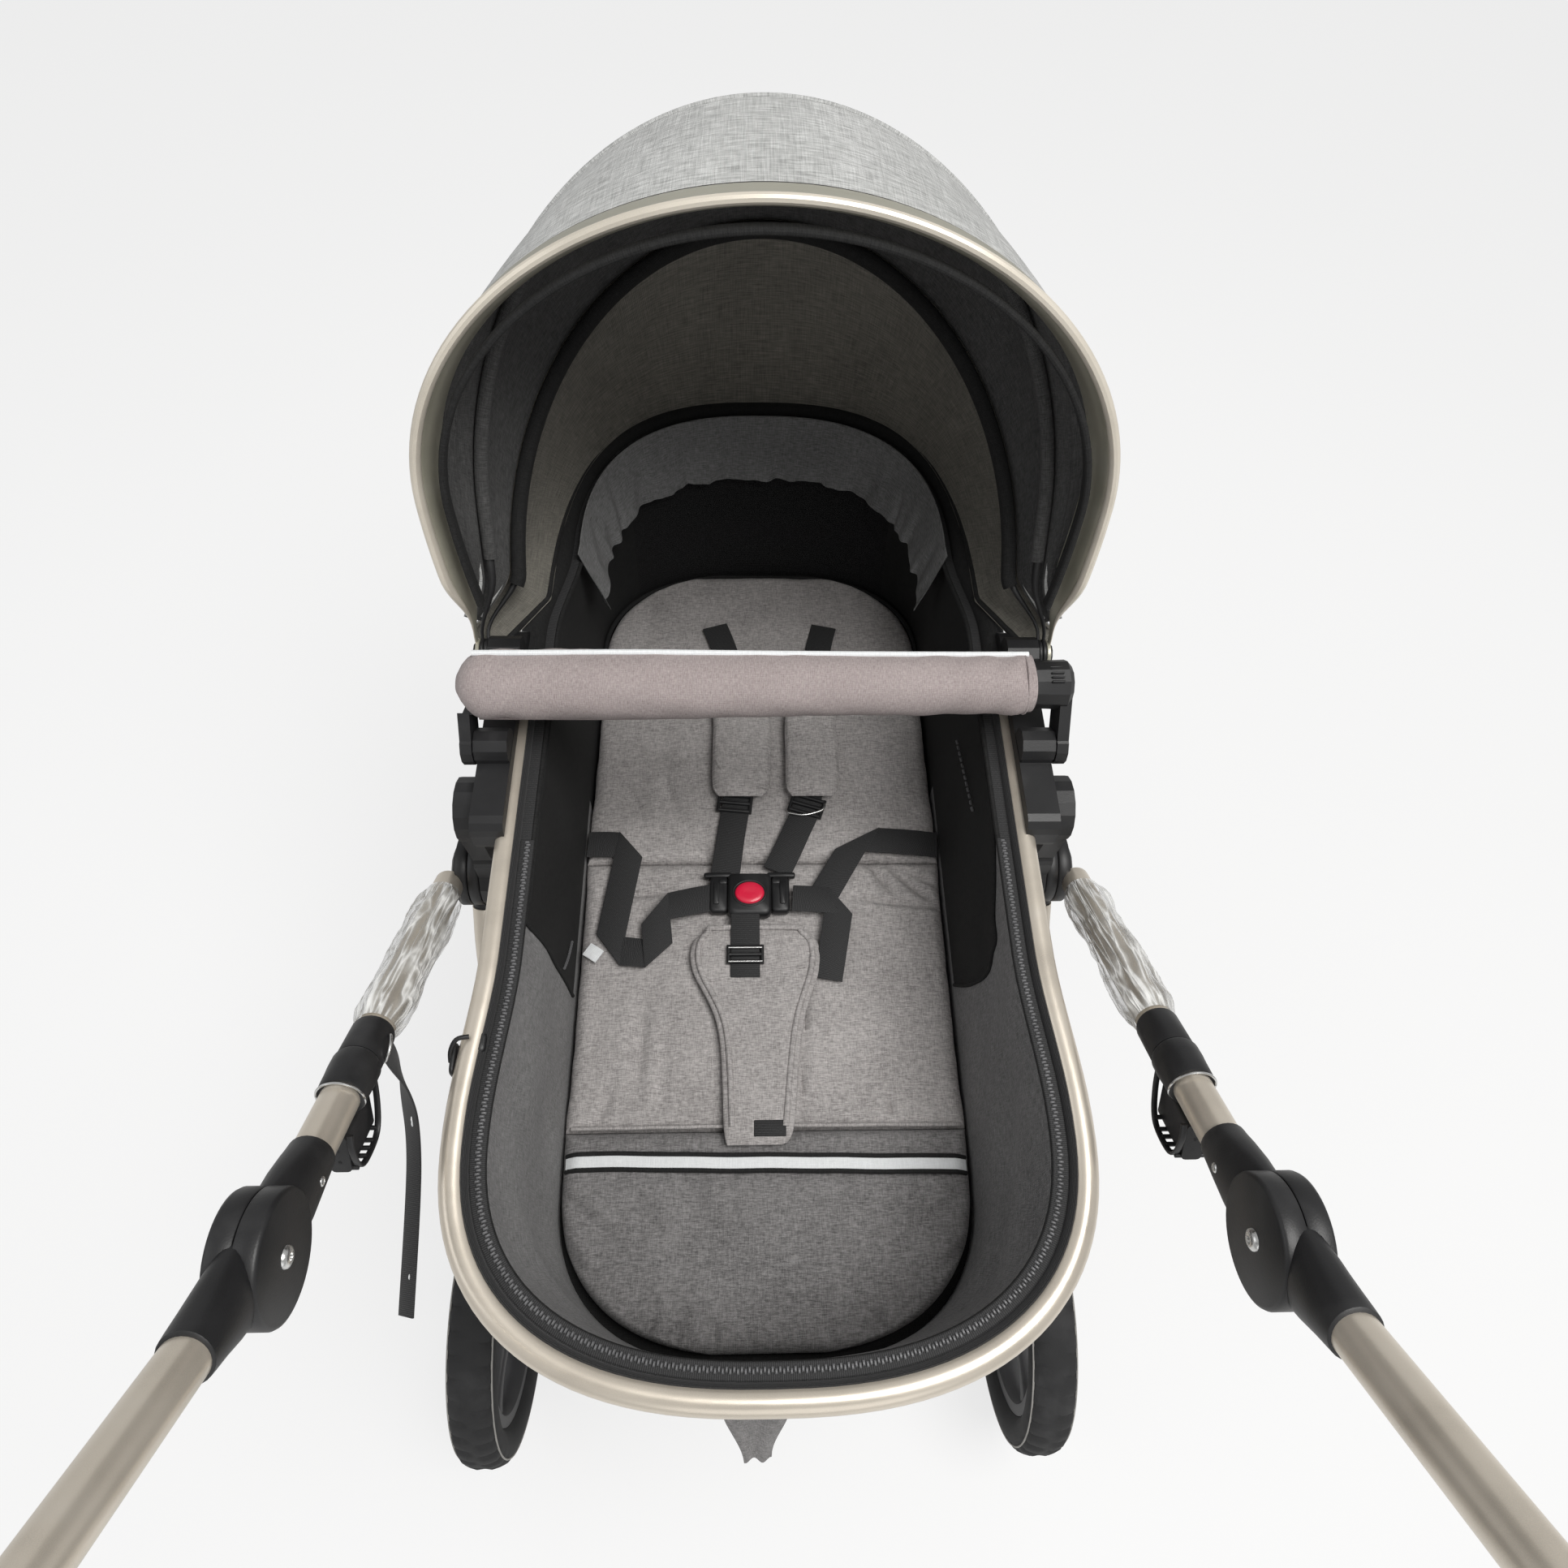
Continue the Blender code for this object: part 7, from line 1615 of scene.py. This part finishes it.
def camera():
    p, y, r = CAMERA_PITCH, CAMERA_YAW, CAMERA_ROLL
    forward = Vector((sin(y) * cos(p), cos(y) * cos(p), -sin(p)))
    right = Vector((cos(y), -sin(y), 0.0))
    down = forward.cross(right)
    across = right * cos(r) + down * sin(r)
    below = down * cos(r) - right * sin(r)
    data = bpy.data.cameras.new("photo_camera")
    data.sensor_width = 36.0
    data.lens = 36.0 * FOCAL_PX / FRAME_PX
    data.clip_start = 0.02
    made = bpy.data.objects.new("photo_camera", data)
    bpy.context.scene.collection.objects.link(made)
    turn = Matrix((across, -below, -forward)).transposed()
    made.matrix_world = Matrix.Translation(CAMERA_AT + Vector((0, SHIFT, 0))) @ turn.to_4x4()
    bpy.context.scene.camera = made


def lamp(name, place, target, size, power, colour=(1.0, 1.0, 1.0)):
    data = bpy.data.lights.new(name, "AREA")
    data.shape = "DISK"
    data.size = size
    data.energy = power
    data.color = colour
    made = bpy.data.objects.new(name, data)
    made.location = place
    made.rotation_euler = (Vector(target) - Vector(place)).to_track_quat("-Z", "Y").to_euler()
    bpy.context.scene.collection.objects.link(made)


def surroundings():
    scene = bpy.context.scene
    scene.view_settings.view_transform = "Standard"
    world = bpy.data.worlds.new("studio")
    scene.world = world
    world.use_nodes = True
    back = world.node_tree.nodes["Background"]
    rays = add(world, "LightPath").outputs
    seen = calc(world, "MAXIMUM", rays["Is Camera Ray"], rays["Is Transmission Ray"])
    world.node_tree.links.new(spread(world, seen, WORLD_LIGHT, 1.0), back.inputs["Strength"])
    back.inputs["Color"].default_value = (1.0, 1.0, 1.0, 1.0)
    lamp("key_light", (0.85, -0.55, 3.0), (0.0, -0.1, 0.5), 1.5, 52.0, (1.0, 0.99, 0.97))
    lamp("left_light", (-2.2, -0.4, 2.2), (0.0, 0.0, 0.6), 1.8, 8.0, (0.97, 0.985, 1.0))
    lamp("low_light", (0.2, -2.4, 1.2), (0.0, 0.0, 0.6), 1.6, 5.0)
    mesh = bpy.data.meshes.new("floor")
    corners = ((-1, -1), (1, -1), (1, 1), (-1, 1))
    mesh.from_pydata([(u * FLOOR_HALF, v * FLOOR_HALF, FLOOR_Z) for u, v in corners], [], [(0, 1, 2, 3)])
    floor = bpy.data.objects.new("floor", mesh)
    scene.collection.objects.link(floor)
    look = look_of("pale_floor", (0.86, 0.86, 0.855), 0.85)
    slow = grain(look, "Object", (0.8, 0.8, 0.8), 2.0)
    feed(look, "Base Color", ramp(look, slow, [(0.3, (0.84, 0.84, 0.835)), (0.7, (0.88, 0.88, 0.875))]))
    tree = look.node_tree
    share = calc(look, "MULTIPLY", add(look, "LightPath").outputs["Is Camera Ray"], FLOOR_WHITE)
    white = add(look, "Emission", Strength=1.0).outputs[0]
    blend = add(look, "MixShader", i0=share, i1=tree.nodes["Principled BSDF"].outputs[0], i2=white)
    tree.links.new(blend.outputs[0], tree.nodes["Material Output"].inputs["Surface"])
    mesh.materials.append(look)


camera()
surroundings()
keep_nodes()
seat_rim()
tub()
cushions()
harness()
bumper()
hood()
chassis()
wheels()
handle()
basket()
